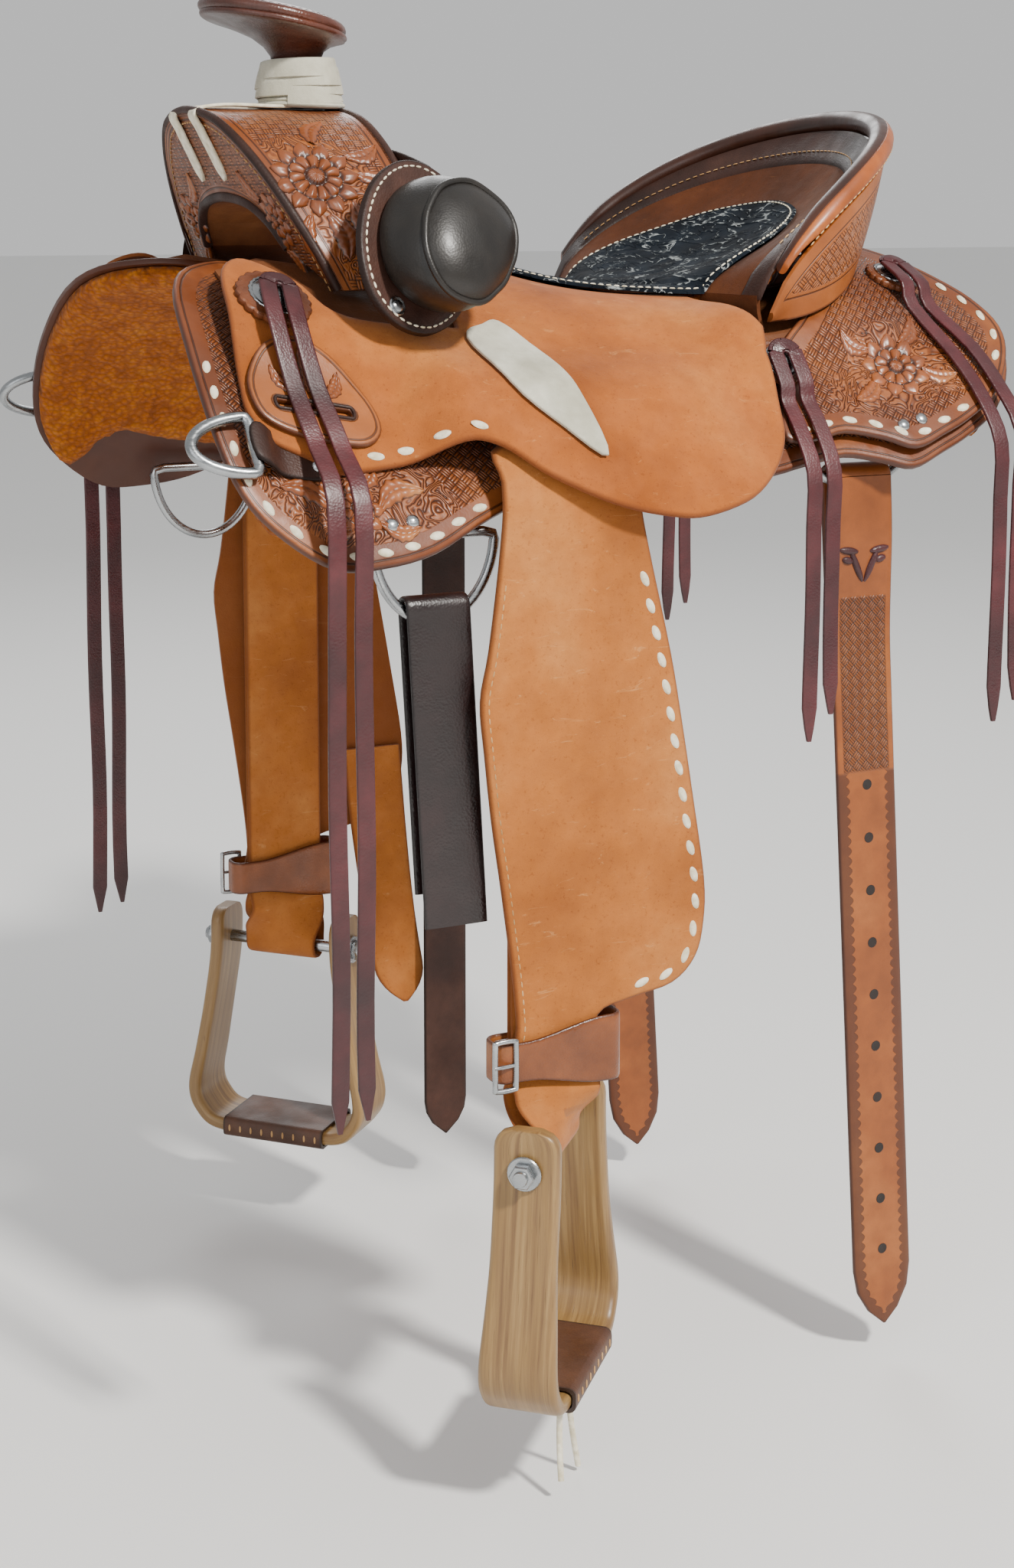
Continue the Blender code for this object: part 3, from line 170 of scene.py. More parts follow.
class Shade:
    """A Principled material with short ways to add the nodes that drive it."""

    def __init__(self, name, rough=0.5, metal=0.0, specular=0.5, coat=0.0, coat_rough=0.2,
                 sheen=0.0, sheen_rough=0.5):
        self.mat = bpy.data.materials.new(name)
        self.mat.use_nodes = True
        self.tree = self.mat.node_tree
        self.tree.nodes.clear()
        out = self.add("ShaderNodeOutputMaterial")
        self.bsdf = self.add("ShaderNodeBsdfPrincipled")
        self.tree.links.new(self.bsdf.outputs[0], out.inputs[0])
        for key, value in (("Roughness", rough), ("Metallic", metal),
                           ("Specular IOR Level", specular), ("Coat Weight", coat),
                           ("Coat Roughness", coat_rough), ("Sheen Weight", sheen),
                           ("Sheen Roughness", sheen_rough)):
            self.bsdf.inputs[key].default_value = value
        self.height = None

    def add(self, kind, **settings):
        node = self.tree.nodes.new(kind)
        for key, value in settings.items():
            setattr(node, key, value)
        return node

    def plug(self, value, socket):
        if isinstance(value, bpy.types.NodeSocket):
            self.tree.links.new(value, socket)
        elif value is not None:
            socket.default_value = value

    def lay(self):
        return self.add("ShaderNodeUVMap", uv_map="lay").outputs[0]

    def place(self):
        return self.add("ShaderNodeTexCoord").outputs["Object"]

    def attr(self, name):
        return self.add("ShaderNodeAttribute", attribute_name=name).outputs["Fac"]

    def maths(self, kind, a, b=0.0, c=None):
        node = self.add("ShaderNodeMath", operation=kind)
        self.plug(a, node.inputs[0])
        self.plug(b, node.inputs[1])
        if c is not None:
            self.plug(c, node.inputs[2])
        return node.outputs[0]

    def split(self, vector):
        return self.add_linked("ShaderNodeSeparateXYZ", vector).outputs[:3]

    def add_linked(self, kind, first):
        node = self.add(kind)
        self.plug(first, node.inputs[0])
        return node

    def join(self, x, y, z=0.0):
        node = self.add("ShaderNodeCombineXYZ")
        for value, socket in zip((x, y, z), node.inputs):
            self.plug(value, socket)
        return node.outputs[0]

    def moved(self, vector, scale=(1, 1, 1), turn=0.0, shift=(0, 0, 0)):
        node = self.add_linked("ShaderNodeMapping", vector)
        node.inputs["Scale"].default_value = scale
        node.inputs["Rotation"].default_value = (0, 0, turn)
        node.inputs["Location"].default_value = shift
        return node.outputs[0]

    def noise(self, vector, scale, detail=3.0, rough=0.5, warp=0.0):
        node = self.add("ShaderNodeTexNoise")
        self.plug(vector, node.inputs["Vector"])
        node.inputs["Scale"].default_value = scale
        node.inputs["Detail"].default_value = detail
        node.inputs["Roughness"].default_value = rough
        node.inputs["Distortion"].default_value = warp
        return node.outputs[0]

    def cells(self, vector, scale, feature="F1", out="Distance", random=1.0):
        node = self.add("ShaderNodeTexVoronoi", feature=feature)
        self.plug(vector, node.inputs["Vector"])
        node.inputs["Scale"].default_value = scale
        node.inputs["Randomness"].default_value = random
        return node.outputs[out]

    def span(self, value, low, high, a=0.0, b=1.0, smooth=True):
        node = self.add("ShaderNodeMapRange")
        node.interpolation_type = "SMOOTHSTEP" if smooth else "LINEAR"
        self.plug(value, node.inputs[0])
        for k, v in enumerate((low, high, a, b)):
            node.inputs[k + 1].default_value = v
        return node.outputs[0]

    def ramp(self, value, *stops):
        node = self.add_linked("ShaderNodeValToRGB", value)
        points = node.color_ramp.elements
        while len(points) < len(stops):
            points.new(0.5)
        for point, (at, colour) in zip(points, stops):
            point.position = at
            point.color = colour if len(colour) == 4 else (*colour, 1)
        return node.outputs[0]

    def blend(self, fac, a, b, kind="MIX"):
        node = self.add("ShaderNodeMix", data_type="RGBA", blend_type=kind)
        self.plug(fac, node.inputs[0])
        self.plug(a, node.inputs[6])
        self.plug(b, node.inputs[7])
        return node.outputs[2]

    def colour(self, value):
        self.plug(value, self.bsdf.inputs["Base Color"])

    def rough(self, value):
        self.plug(value, self.bsdf.inputs["Roughness"])

    def bump(self, height, depth, strength=1.0):
        """Adds a layer of bump; depth is how far a height of 1 stands proud, in metres."""
        node = self.add("ShaderNodeBump")
        node.inputs["Strength"].default_value = strength
        node.inputs["Distance"].default_value = depth
        self.plug(height, node.inputs["Height"])
        if self.height is not None:
            self.plug(self.height, node.inputs["Normal"])
        self.height = node.outputs[0]
        self.plug(self.height, self.bsdf.inputs["Normal"])


def leather_tones(m, base, dark, light, scale=9.0):
    """A hide's uneven colour: broad clouds, finer mottling and pores."""
    place = m.place()
    clouds = m.noise(place, scale, 4, 0.6)
    fine = m.noise(place, scale * 9, 4, 0.65)
    tone = m.ramp(clouds, (0.30, dark), (0.52, base), (0.75, light))
    return m.blend(m.span(fine, 0.25, 0.8, 0.0, 0.38), tone, dark, "MIX")


def rough_out(name, base="C4803F", dark="A8642F", light="D49458", scuffed="DDA670",
              sheen=0.22):
    """Leather worn flesh side out: matt, napped, with scuffs and darker cut edges."""
    m = Shade(name, rough=0.9, specular=0.18, sheen=sheen, sheen_rough=0.45)
    place = m.place()
    tone = leather_tones(m, rgb(base), rgb(dark), rgb(light))
    flecks = m.span(m.noise(place, 420, 3, 0.7), 0.56, 0.74)
    tone = m.blend(m.maths("MULTIPLY", flecks, 0.35), tone, rgb(dark), "MULTIPLY")
    scuff = m.span(m.noise(m.moved(place, (14, 14, 60)), 2.2, 6, 0.75, 1.5), 0.60, 0.68)
    tone = m.blend(m.maths("MULTIPLY", scuff, 0.30), tone, rgb(scuffed), "MIX")
    near_edge = m.span(m.attr("edge"), 0.0004, 0.0030, 1.0, 0.0)
    tone = m.blend(m.maths("MULTIPLY", near_edge, 0.75), tone, rgb("6E3A1C"), "MIX")
    m.colour(tone)
    m.rough(m.span(m.noise(place, 60, 3), 0.3, 0.7, 0.80, 0.97))
    m.bump(m.noise(place, 900, 3, 0.7), 0.0005, 0.55)
    m.bump(m.noise(place, 140, 4, 0.6), 0.0009, 0.35)
    return m.mat


def weave_height(m, lay, cell, turn, strands=3):
    """A basket stamp: square cells, ribbed one way and then the other, domed at each rib."""
    x, y, _ = m.split(m.moved(lay, (1 / cell, 1 / cell, 1), turn))
    odd = m.maths("MODULO", m.maths("ADD", m.maths("FLOOR", x), m.maths("FLOOR", y)), 2.0)
    odd = m.maths("ABSOLUTE", odd)
    fx = m.maths("FRACT", x)
    fy = m.maths("FRACT", y)

    def ribs(along, across):
        ridge = m.maths("ABSOLUTE", m.maths("SINE", m.maths("MULTIPLY", across,
                                                              math.pi * strands)))
        dome = m.maths("SINE", m.maths("MULTIPLY", along, math.pi))
        return m.maths("MULTIPLY", m.maths("POWER", ridge, 0.5), m.maths("POWER", dome, 0.45))

    one, two = ribs(fx, fy), ribs(fy, fx)
    mixer = m.add("ShaderNodeMix", data_type="FLOAT")
    m.plug(odd, mixer.inputs[0])
    m.plug(one, mixer.inputs[2])
    m.plug(two, mixer.inputs[3])
    return mixer.outputs[0]


def swirl_height(m, lay, scale=34.0):
    """Carved scrollwork: curling ridges from a warped field, over a stippled ground."""
    warp = m.noise(m.moved(lay, (scale, scale, 1)), 1.0, 1.5, 0.5, 2.2)
    ridge = m.maths("ABSOLUTE", m.maths("SINE", m.maths("MULTIPLY", warp, 34.0)))
    return m.maths("POWER", ridge, 0.6)


def tooled(name, base="6F3817", dark="1E0B05", light="A8622F", cell=0.0062, turn=math.pi / 4,
           border=0.0135, weave=True, gloss=0.42, border_line=0.0045, swirls=None):
    """Tooled, antiqued leather: basket stamp inside a smooth border with a creased line.

    swirls is a list of (x, s, radius) on the lay where scrollwork takes the stamp's place."""
    m = Shade(name, rough=gloss, specular=0.42, coat=0.12, coat_rough=0.3)
    lay, place, edge = m.lay(), m.place(), m.attr("edge")
    tone = leather_tones(m, rgb(base), m_dark(base, dark), rgb(light))
    height = None
    if weave:
        stamp = weave_height(m, lay, cell, turn)
        inside = m.span(edge, border, border + 0.0012)
        height = m.maths("MULTIPLY", stamp, inside)
        if swirls:
            mask = None
            x, y, _ = m.split(lay)
            for cx, cs, radius in swirls:
                dx = m.maths("SUBTRACT", x, cx)
                dy = m.maths("SUBTRACT", y, cs)
                reach = m.maths("SQRT", m.maths("ADD", m.maths("MULTIPLY", dx, dx),
                                                m.maths("MULTIPLY", dy, dy)))
                spot = m.span(reach, radius, radius * 1.06, 1.0, 0.0)
                mask = spot if mask is None else m.maths("MAXIMUM", mask, spot)
            carved = m.maths("MULTIPLY", swirl_height(m, lay), inside)
            mixer = m.add("ShaderNodeMix", data_type="FLOAT")
            m.plug(mask, mixer.inputs[0])
            m.plug(height, mixer.inputs[2])
            m.plug(carved, mixer.inputs[3])
            height = mixer.outputs[0]
        outside = m.maths("SUBTRACT", 1.0, inside)
        height = m.maths("ADD", height, m.maths("MULTIPLY", outside, 0.8))
        low = m.span(height, 0.10, 0.72, 1.0, 0.0)
        tone = m.blend(m.maths("MULTIPLY", low, 0.90), tone, rgb(dark), "MIX")
        high = m.span(height, 0.86, 1.0, 0.0, 0.42)
        tone = m.blend(high, tone, rgb(light), "MIX")
    line = m.maths("ABSOLUTE", m.maths("SUBTRACT", edge, border_line))
    groove = m.span(line, 0.0003, 0.0010, 1.0, 0.0)
    tone = m.blend(m.maths("MULTIPLY", groove, 0.75), tone, rgb(dark), "MIX")
    cut = m.span(edge, 0.0003, 0.0022, 1.0, 0.0)
    tone = m.blend(m.maths("MULTIPLY", cut, 0.8), tone, rgb("3A1A0E"), "MIX")
    m.colour(tone)
    m.rough(m.span(m.noise(place, 45, 3), 0.3, 0.7, gloss - 0.10, gloss + 0.12))
    if height is not None:
        m.bump(height, 0.0011, 0.9)
    m.bump(m.maths("MULTIPLY", groove, -1.0), 0.0007, 0.8)
    m.bump(m.noise(place, 520, 3, 0.6), 0.0003, 0.35)
    return m.mat


def m_dark(base, dark):
    a, b = rgb(base), rgb(dark)
    return tuple(0.6 * p + 0.4 * q for p, q in zip(a, b))


def smooth_leather(name, base, dark, light, gloss=0.4, coat=0.15, grain=0.0004, edge_tone=None,
                   scale=11.0, specular=0.45):
    m = Shade(name, rough=gloss, specular=specular, coat=coat, coat_rough=0.3)
    place = m.place()
    tone = leather_tones(m, rgb(base), rgb(dark), rgb(light), scale)
    if edge_tone:
        cut = m.span(m.attr("edge"), 0.0003, 0.0024, 1.0, 0.0)
        tone = m.blend(m.maths("MULTIPLY", cut, 0.8), tone, rgb(edge_tone), "MIX")
    m.colour(tone)
    m.rough(m.span(m.noise(place, 38, 4), 0.3, 0.7, gloss - 0.08, gloss + 0.14))
    m.bump(m.cells(place, 620), grain, 0.45)
    m.bump(m.noise(place, 90, 4, 0.6), 0.0006, 0.25)
    return m.mat


def napped(name, base, dark, light):
    """Soft napped leather such as mulehide."""
    m = Shade(name, rough=0.95, specular=0.15, sheen=0.35, sheen_rough=0.5)
    place = m.place()
    tone = leather_tones(m, rgb(base), rgb(dark), rgb(light), 16)
    m.colour(tone)
    m.bump(m.noise(place, 700, 4, 0.75), 0.0006, 0.7)
    m.bump(m.noise(place, 120, 4, 0.6), 0.0009, 0.35)
    return m.mat


def fleece_shade():
    m = Shade("fleece", rough=1.0, specular=0.05, sheen=0.08, sheen_rough=0.6)
    place = m.place()
    curls = m.cells(m.moved(place, (1, 1, 1)), 240)
    clumps = m.noise(place, 55, 5, 0.7, 0.6)
    tone = m.ramp(clumps, (0.25, rgb("80400A")), (0.5, rgb("A85A12")), (0.78, rgb("C07622")))
    # darker in the hollows between the curls: painted shade
    tone = m.blend(m.span(curls, 0.15, 0.75, 0.0, 0.55), tone, rgb("6A3410"), "MIX")
    m.colour(tone)
    m.bump(curls, -0.0022, 0.8)
    m.bump(m.noise(place, 480, 4, 0.8), 0.0012, 0.8)
    return m.mat


def inlay_shade():
    """Blue-black hide creased across the seat; the thin, broken pale lines on the crease ridges
    are painted highlights.
    """
    m = Shade("inlay_hide_with_painted_highlights", rough=0.72, specular=0.04)
    place = m.place()
    wavy = m.noise(m.moved(place, (30, 12, 30)), 1.5, 3, 0.6, 0.5)
    x, y, z = m.split(m.moved(place, (120, 26, 120)))
    warped = m.join(m.maths("ADD", x, m.maths("MULTIPLY", wavy, 9.0)), y, z)
    crease = m.cells(warped, 0.75, feature="DISTANCE_TO_EDGE")
    # pale lines along the crease ridges: painted highlights
    pale = m.span(crease, 0.010, 0.055, 1.0, 0.0)
    broken = m.span(m.noise(place, 70, 4, 0.65), 0.47, 0.60)
    pale = m.maths("MULTIPLY", pale, broken)
    tone = m.ramp(m.noise(place, 40, 4), (0.3, rgb("0B0E13")), (0.7, rgb("1B222A")))
    tone = m.blend(m.maths("MULTIPLY", pale, 0.72), tone, rgb("A2A8A8"), "MIX")
    m.colour(tone)
    m.bump(m.span(crease, 0.0, 0.16, 1.0, 0.0), 0.0012, 0.7)
    m.bump(m.noise(place, 300, 3), 0.0004, 0.5)
    return m.mat


def steel_shade(name="steel", tone="B9BCBE", gloss=0.24):
    m = Shade(name, rough=gloss, metal=1.0)
    place = m.place()
    m.colour(m.ramp(m.noise(place, 30, 4), (0.3, rgb("8E9193")), (0.7, rgb(tone))))
    m.rough(m.span(m.noise(m.moved(place, (1, 1, 6)), 120, 4, 0.7), 0.3, 0.7, gloss - 0.08,
                   gloss + 0.14))
    m.bump(m.noise(place, 260, 4), 0.0002, 0.35)
    return m.mat


def wood_shade():
    """Bent oak: pale olive-gold, straight grain along the bend, open pores."""
    m = Shade("oak", rough=0.42, specular=0.45, coat=0.25, coat_rough=0.3)
    lay = m.lay()
    u, v, _ = m.split(lay)
    long_grain = m.noise(m.join(m.maths("MULTIPLY", u, 3.5), m.maths("MULTIPLY", v, 120.0)),
                         1.6, 5, 0.65, 0.35)
    rings = m.maths("SINE", m.maths("MULTIPLY", m.maths("ADD", m.maths("MULTIPLY", v, 300.0),
                    m.maths("MULTIPLY", m.noise(m.join(m.maths("MULTIPLY", u, 6.0),
                                                       m.maths("MULTIPLY", v, 30.0)), 1.0, 3),
                            22.0)), 1.0))
    tone = m.ramp(long_grain, (0.30, rgb("64462A")), (0.5, rgb("85663C")), (0.72, rgb("A38352")))
    tone = m.blend(m.span(rings, 0.2, 1.0, 0.0, 0.35), tone, rgb("8A6A3A"), "MIX")
    pores = m.span(m.noise(m.join(m.maths("MULTIPLY", u, 40.0), m.maths("MULTIPLY", v, 900.0)),
                           1.0, 2, 0.5), 0.62, 0.75)
    tone = m.blend(m.maths("MULTIPLY", pores, 0.5), tone, rgb("5E4424"), "MIX")
    m.colour(tone)
    m.bump(m.maths("MULTIPLY", pores, -1.0), 0.0003, 0.6)
    m.bump(long_grain, 0.0004, 0.3)
    return m.mat


def cream_shade():
    m = Shade("cream_lace", rough=0.7, specular=0.3, sheen=0.2)
    place = m.place()
    m.colour(m.ramp(m.noise(place, 180, 3), (0.3, rgb("C9BE9E")), (0.7, rgb("F0E9D4"))))
    m.bump(m.noise(place, 900, 3), 0.0003, 0.5)
    return m.mat

# ------------------------------------------------------------------ the CAD's sizes and maths
GAP = 0.0006                       # clearance between touching layers
BARREL_R = 0.322
CREST_ANGLE = math.radians(8)      # slope of the two sides where they meet
CREST_Z = 0.116                    # lowest height of the crest, under the rider
ROCKER = 0.034                     # rise of the crest at the skirts' ends
SEAT_DROP = 0.034                  # how far the crown is flattened under the rider
FLEECE_T = 0.012
SKIRT_T = 0.005
BAR_BASE = 0.006
BAR_T = 0.014
BAR_LENGTH = (-0.275, 0.262)
BAR_EDGES = (0.050, 0.190)
SEAT_BASE = 0.0222                 # underside of the seat leather over the bars
SEAT_T = 0.0038
LEATHERS_ROOM = 0.035              # underside of the jockey over fender and stirrup leather
HOUSING_T = 0.004
CANTLE_SWELL = 0.020               # how far the seat leather rises to the cantle's ends
FORK_ARCH = ((0.133, 0.1145), (0.128, 0.138), (0.115, 0.165), (0.098, 0.190), (0.075, 0.212),
             (0.045, 0.228), (0.0, 0.234))
GULLET_ARCH = ((0.082, 0.1415), (0.070, 0.158), (0.045, 0.171), (0.0, 0.176))
FORK_COVER_T = 0.0035
HORN_X = -0.179
HORN_BASE_Z = 0.2386
CAP_CENTRE = (-0.199, 0.298)
CAP_R = 0.052
CAP_TILT = math.radians(10)
WRAP_R = 0.028
RIM_HALF_WIDTH = 0.170
RIM_START_X = 0.106
RIM_DEPTH = 0.170
RIM_START_Z = 0.098
RIM_RISE = 0.138
DISH_CENTRE = (0.060, 0.109)       # x and z of the middle of the seat
DISH_POWER = 2.2
ROLL_R = 0.009
LEATHER_Y = 0.2415                 # plane of the stirrup leathers
FENDER_Y = 0.2496
FENDER_T = 0.004
LEATHER_T = 0.0038
LEATHER_W = 0.064
STIRRUP_X = -0.100
HANG_SHIFT = {-1: 0.0, 1: -0.008}  # the off leathers hang a little further forward
BOLT_Z = -0.450
BOLT_TURN = math.radians(46.6)     # the stirrups are turned out by this much
TREAD_Z = -0.610
STIRRUP_TOP_HALF = 0.055
STIRRUP_FOOT_HALF = 0.077
BILLET_W = 0.0508
STRING_W = 0.012
STRING_T = 0.0026


def smooth(value, start, end):
    """0 before start and 1 after end, with a smooth step between; start may be past end."""
    t = min(1.0, max(0.0, (value - start) / (end - start)))
    return t * t * (3 - 2 * t)


def mix(a, b, t):
    return a + (b - a) * t


def crest(x):
    return CREST_Z + ROCKER * ((x - 0.02) / 0.32) ** 2


def seat_drop(x, s):
    """How far the crown of the barrel is flattened under the rider."""
    across = math.cos(min(1.0, abs(s) / 0.14) * math.pi / 2) ** 2
    return SEAT_DROP * math.exp(-(((x - 0.07) / 0.13) ** 2)) * across


def on_barrel(x, s, h):
    """The point at x, s down the side (negative s is the near side), and h above the barrel."""
    angle = CREST_ANGLE + abs(s) / BARREL_R
    out = BARREL_R * (math.sin(angle) - math.sin(CREST_ANGLE)) + h * math.sin(angle)
    up = crest(x) - BARREL_R * (math.cos(CREST_ANGLE) - math.cos(angle)) + h * math.cos(angle)
    return Vector((x, math.copysign(out, s) if s else 0.0, up - seat_drop(x, s)))


def barrel_frame(x, s, h):
    """A matrix at a point of the barrel: its X runs along the horse and its Z outwards."""
    angle = CREST_ANGLE + abs(s) / BARREL_R
    side = math.copysign(1, s)
    normal = Vector((0, side * math.sin(angle), math.cos(angle)))
    along = Vector((1, 0, 0))
    frame = Matrix((along, normal.cross(along), normal)).transposed().to_4x4()
    frame.translation = on_barrel(x, s, h)
    return frame


def bar_height(x, s):
    """Top of the tree's bar above the barrel."""
    a = abs(s)
    across = smooth(a, BAR_EDGES[0], 0.085) * smooth(a, BAR_EDGES[1], 0.150)
    along = smooth(x, BAR_LENGTH[0], -0.235) * smooth(x, BAR_LENGTH[1], 0.215)
    return BAR_BASE + 0.002 + (BAR_T - 0.002) * across * along


def seat_height(x, s):
    """Underside of the seat leather and jockeys above the barrel."""
    a = abs(s)
    free = mix(0.0074, LEATHERS_ROOM, smooth(x, -0.200, -0.150))
    free = mix(free, 0.022, smooth(x, 0.020, 0.085))
    past_bar = smooth(a, 0.160, 0.215)
    swell = smooth(a, 0.105, 0.165) * smooth(a, 0.235, 0.180) * smooth(x, 0.020, 0.095)
    return mix(SEAT_BASE, free, past_bar) + CANTLE_SWELL * swell


def housing_height(x, s):
    """Underside of the rear housing, which lies on the skirt and over the bar's end."""
    return max(SKIRT_T + 0.0014, bar_height(x, s) + 0.0034)


def curve_through(points, per_span, closed=False):
    """Points on a Catmull-Rom curve through the given points."""
    points = [Vector(p) for p in points]
    count = len(points)
    spans = count if closed else count - 1
    out = []
    for i in range(spans):
        if closed:
            a, b, c, d = (points[(i + k - 1) % count] for k in range(4))
        else:
            a, b, c, d = (points[min(max(i + k - 1, 0), count - 1)] for k in range(4))
        for k in range(per_span):
            t = k / per_span
            out.append(0.5 * (2 * b + (c - a) * t + (2 * a - 5 * b + 4 * c - d) * t * t
                              + (3 * b - 3 * c + d - a) * t ** 3))
    if not closed:
        out.append(points[-1])
    return out

SKIRT = ((-0.235, 0.050), (-0.285, 0.075), (-0.313, 0.120), (-0.322, 0.190), (-0.321, 0.250),
         (-0.311, 0.293), (-0.288, 0.318), (-0.256, 0.333), (-0.222, 0.328), (-0.185, 0.315),
         (-0.140, 0.288), (-0.080, 0.262), (0.000, 0.256), (0.070, 0.262), (0.110, 0.257),
         (0.143, 0.254), (0.172, 0.263), (0.195, 0.272), (0.222, 0.265), (0.250, 0.256),
         (0.280, 0.241), (0.303, 0.212), (0.312, 0.180), (0.305, 0.145), (0.291, 0.110),
         (0.276, 0.060), (0.262, 0.012), (0.215, 0.012), (0.180, 0.042), (0.100, 0.062),
         (0.000, 0.066), (-0.120, 0.060))
HOUSING = ((0.118, 0.170), (0.104, 0.205), (0.094, 0.240), (0.118, 0.2445), (0.143, 0.2415),
           (0.172, 0.251), (0.195, 0.262), (0.222, 0.256), (0.248, 0.248), (0.276, 0.234),
           (0.299, 0.207), (0.308, 0.180), (0.302, 0.147), (0.288, 0.110), (0.272, 0.060),
           (0.258, 0.010), (0.236, 0.010), (0.218, 0.060), (0.180, 0.110), (0.148, 0.145))
SEAT = ((-0.128, 0.150), (-0.170, 0.153), (-0.215, 0.148), (-0.232, 0.118), (-0.262, 0.100),
        (-0.284, 0.122), (-0.293, 0.167), (-0.296, 0.210), (-0.297, 0.236), (-0.288, 0.254),
        (-0.262, 0.264), (-0.246, 0.271), (-0.222, 0.266), (-0.192, 0.258), (-0.160, 0.252),
        (-0.136, 0.256), (-0.108, 0.274), (-0.067, 0.291), (-0.029, 0.299), (0.001, 0.300),
        (0.041, 0.289), (0.072, 0.266), (0.088, 0.240), (0.090, 0.212), (0.088, 0.190))
FENDER = ((-0.140, -0.032), (-0.1439, -0.069), (-0.150, -0.114), (-0.156, -0.146),
          (-0.153, -0.181), (-0.148, -0.226), (-0.141, -0.273), (-0.133, -0.332),
          (-0.130, -0.366), (-0.130, -0.396), (-0.072, -0.396), (-0.070, -0.366),
          (-0.045, -0.358), (-0.013, -0.352), (0.005, -0.336), (0.0113, -0.312),
          (0.0113, -0.281), (0.0012, -0.219), (-0.007, -0.172), (-0.016, -0.125),
          (-0.031, -0.063), (-0.038, -0.032))
KEEPER = ((-0.262, 0.181), (-0.280, 0.191), (-0.293, 0.215), (-0.291, 0.238), (-0.276, 0.248),
          (-0.248, 0.252), (-0.222, 0.251), (-0.209, 0.238), (-0.212, 0.215), (-0.228, 0.192),
          (-0.246, 0.181))
KEEPER_SLOT = (-0.252, 0.229, 0.050, 0.005)     # x, s, length and width


def fork_front(z):
    return -0.205 - 0.48 * (z - 0.115)


def fork_back(z):
    return -0.131 - 0.20 * (z - 0.115)


def mirrored_arch(arch):
    """The arch's points from the near side's foot over the top to the off side's."""
    near = [(-y, z) for y, z in arch]
    return near + [(y, z) for y, z in reversed(arch[:-1])]


def along_arch(arch, count):
    line = [Vector((0, y, z)) for y, z in arch]
    run = [0.0]
    for a, b in zip(line, line[1:]):
        run.append(run[-1] + (b - a).length)
    out = []
    for k in range(count):
        at = run[-1] * k / (count - 1)
        i = max(j for j in range(len(run) - 1) if run[j] <= at + 1e-9)
        p = line[i].lerp(line[i + 1], (at - run[i]) / (run[i + 1] - run[i]))
        out.append((p.y, p.z))
    return out


def grown(arch, by):
    """An arch moved outwards by a distance, square to its own line."""
    out = []
    for i, (y, z) in enumerate(arch):
        a, b = arch[max(i - 1, 0)], arch[min(i + 1, len(arch) - 1)]
        dy, dz = b[0] - a[0], b[1] - a[1]
        size = math.hypot(dy, dz)
        out.append((y - dz / size * by, z + dy / size * by))
    return out


def rim(angle):
    c = max(0.0, math.cos(angle))
    return Vector((RIM_START_X + RIM_DEPTH * c ** 0.83, RIM_HALF_WIDTH * math.sin(angle),
                   RIM_START_Z + RIM_RISE * c ** 0.48))


def outwards(angle):
    """The level direction from the seat's middle to the rim."""
    p = rim(angle)
    return Vector((p.x - DISH_CENTRE[0], p.y, 0)).normalized()


def dish(angle, ratio):
    """A point on top of the dish: ratio is 0 at the seat's middle and 1 at the rim."""
    p = rim(angle)
    x = mix(DISH_CENTRE[0], p.x, ratio)
    return Vector((x, p.y * ratio, mix(DISH_CENTRE[1], p.z, ratio ** DISH_POWER)))


def rim_ratio(angle, inset):
    """The dish ratio at a level distance inside the rim."""
    p = rim(angle)
    reach = math.hypot(p.x - DISH_CENTRE[0], p.y)
    return 1 - inset / reach


def down_normal(point, ahead, aside, distance):
    """A point moved square to a surface, downwards."""
    n = (ahead - point).cross(aside - point).normalized()
    if n.z > 0:
        n = -n
    return point + n * distance


def cantle_base(angle):
    """Foot of the cantle's back, on the housings."""
    c = max(0.0, math.cos(angle))
    x = 0.112 + 0.140 * c ** 0.85
    y = 0.158 * math.sin(angle)
    s = math.copysign(BARREL_R * (math.asin((abs(y) + BARREL_R * math.sin(CREST_ANGLE))
                                            / (BARREL_R + 0.0305)) - CREST_ANGLE), y or 1)
    return on_barrel(x, s if abs(s) > 1e-4 else 1e-4, 0.0305)


def seat_top(x, y):
    """Height of the seat's top at a level place, in front of the dish or in it."""
    edge = DISH_CENTRE[0] + 0.046 * abs(y) / RIM_HALF_WIDTH
    if x <= edge:
        h = SEAT_BASE + SEAT_T
        angle = math.asin((abs(y) + BARREL_R * math.sin(CREST_ANGLE)) / (BARREL_R + h))
        return on_barrel(x, (angle - CREST_ANGLE) * BARREL_R or 1e-5, h).z
    want = math.atan2(abs(y), x - DISH_CENTRE[0])
    low, high = 0.0, math.pi / 2
    for _ in range(30):
        mid = (low + high) / 2
        p = rim(mid)
        if math.atan2(p.y, p.x - DISH_CENTRE[0]) < want:
            low = mid
        else:
            high = mid
    p = rim(low)
    ratio = math.hypot(y, x - DISH_CENTRE[0]) / math.hypot(p.y, p.x - DISH_CENTRE[0])
    return dish(low, ratio).z


def pulled_in(outline, by):
    """The outline, moved inwards by a distance."""
    points = [Vector(p) for p in outline]
    area = sum(a.x * b.y - b.x * a.y for a, b in zip(points, points[1:] + points[:1]))
    out = []
    for i, p in enumerate(points):
        along = (points[(i + 1) % len(points)] - points[i - 1]).normalized()
        inward = Vector((-along.y, along.x)) * (1 if area > 0 else -1)
        out.append(tuple(p + inward * by))
    return out


def fleece_outline():
    """The skirt's outline set in, and cut back further where the rigging rings hang."""
    out = []
    for x, s in pulled_in(SKIRT, 0.004):
        if s > 0.2 and -0.262 < x < -0.130:
            s = min(s, 0.276)
        if s > 0.2 and 0.090 < x < 0.240:
            s = min(s, 0.190)
        out.append((x, s))
    return out


def seat_skin(x, s):
    """Top of the jockey leather above the barrel."""
    return seat_height(x, s) + SEAT_T

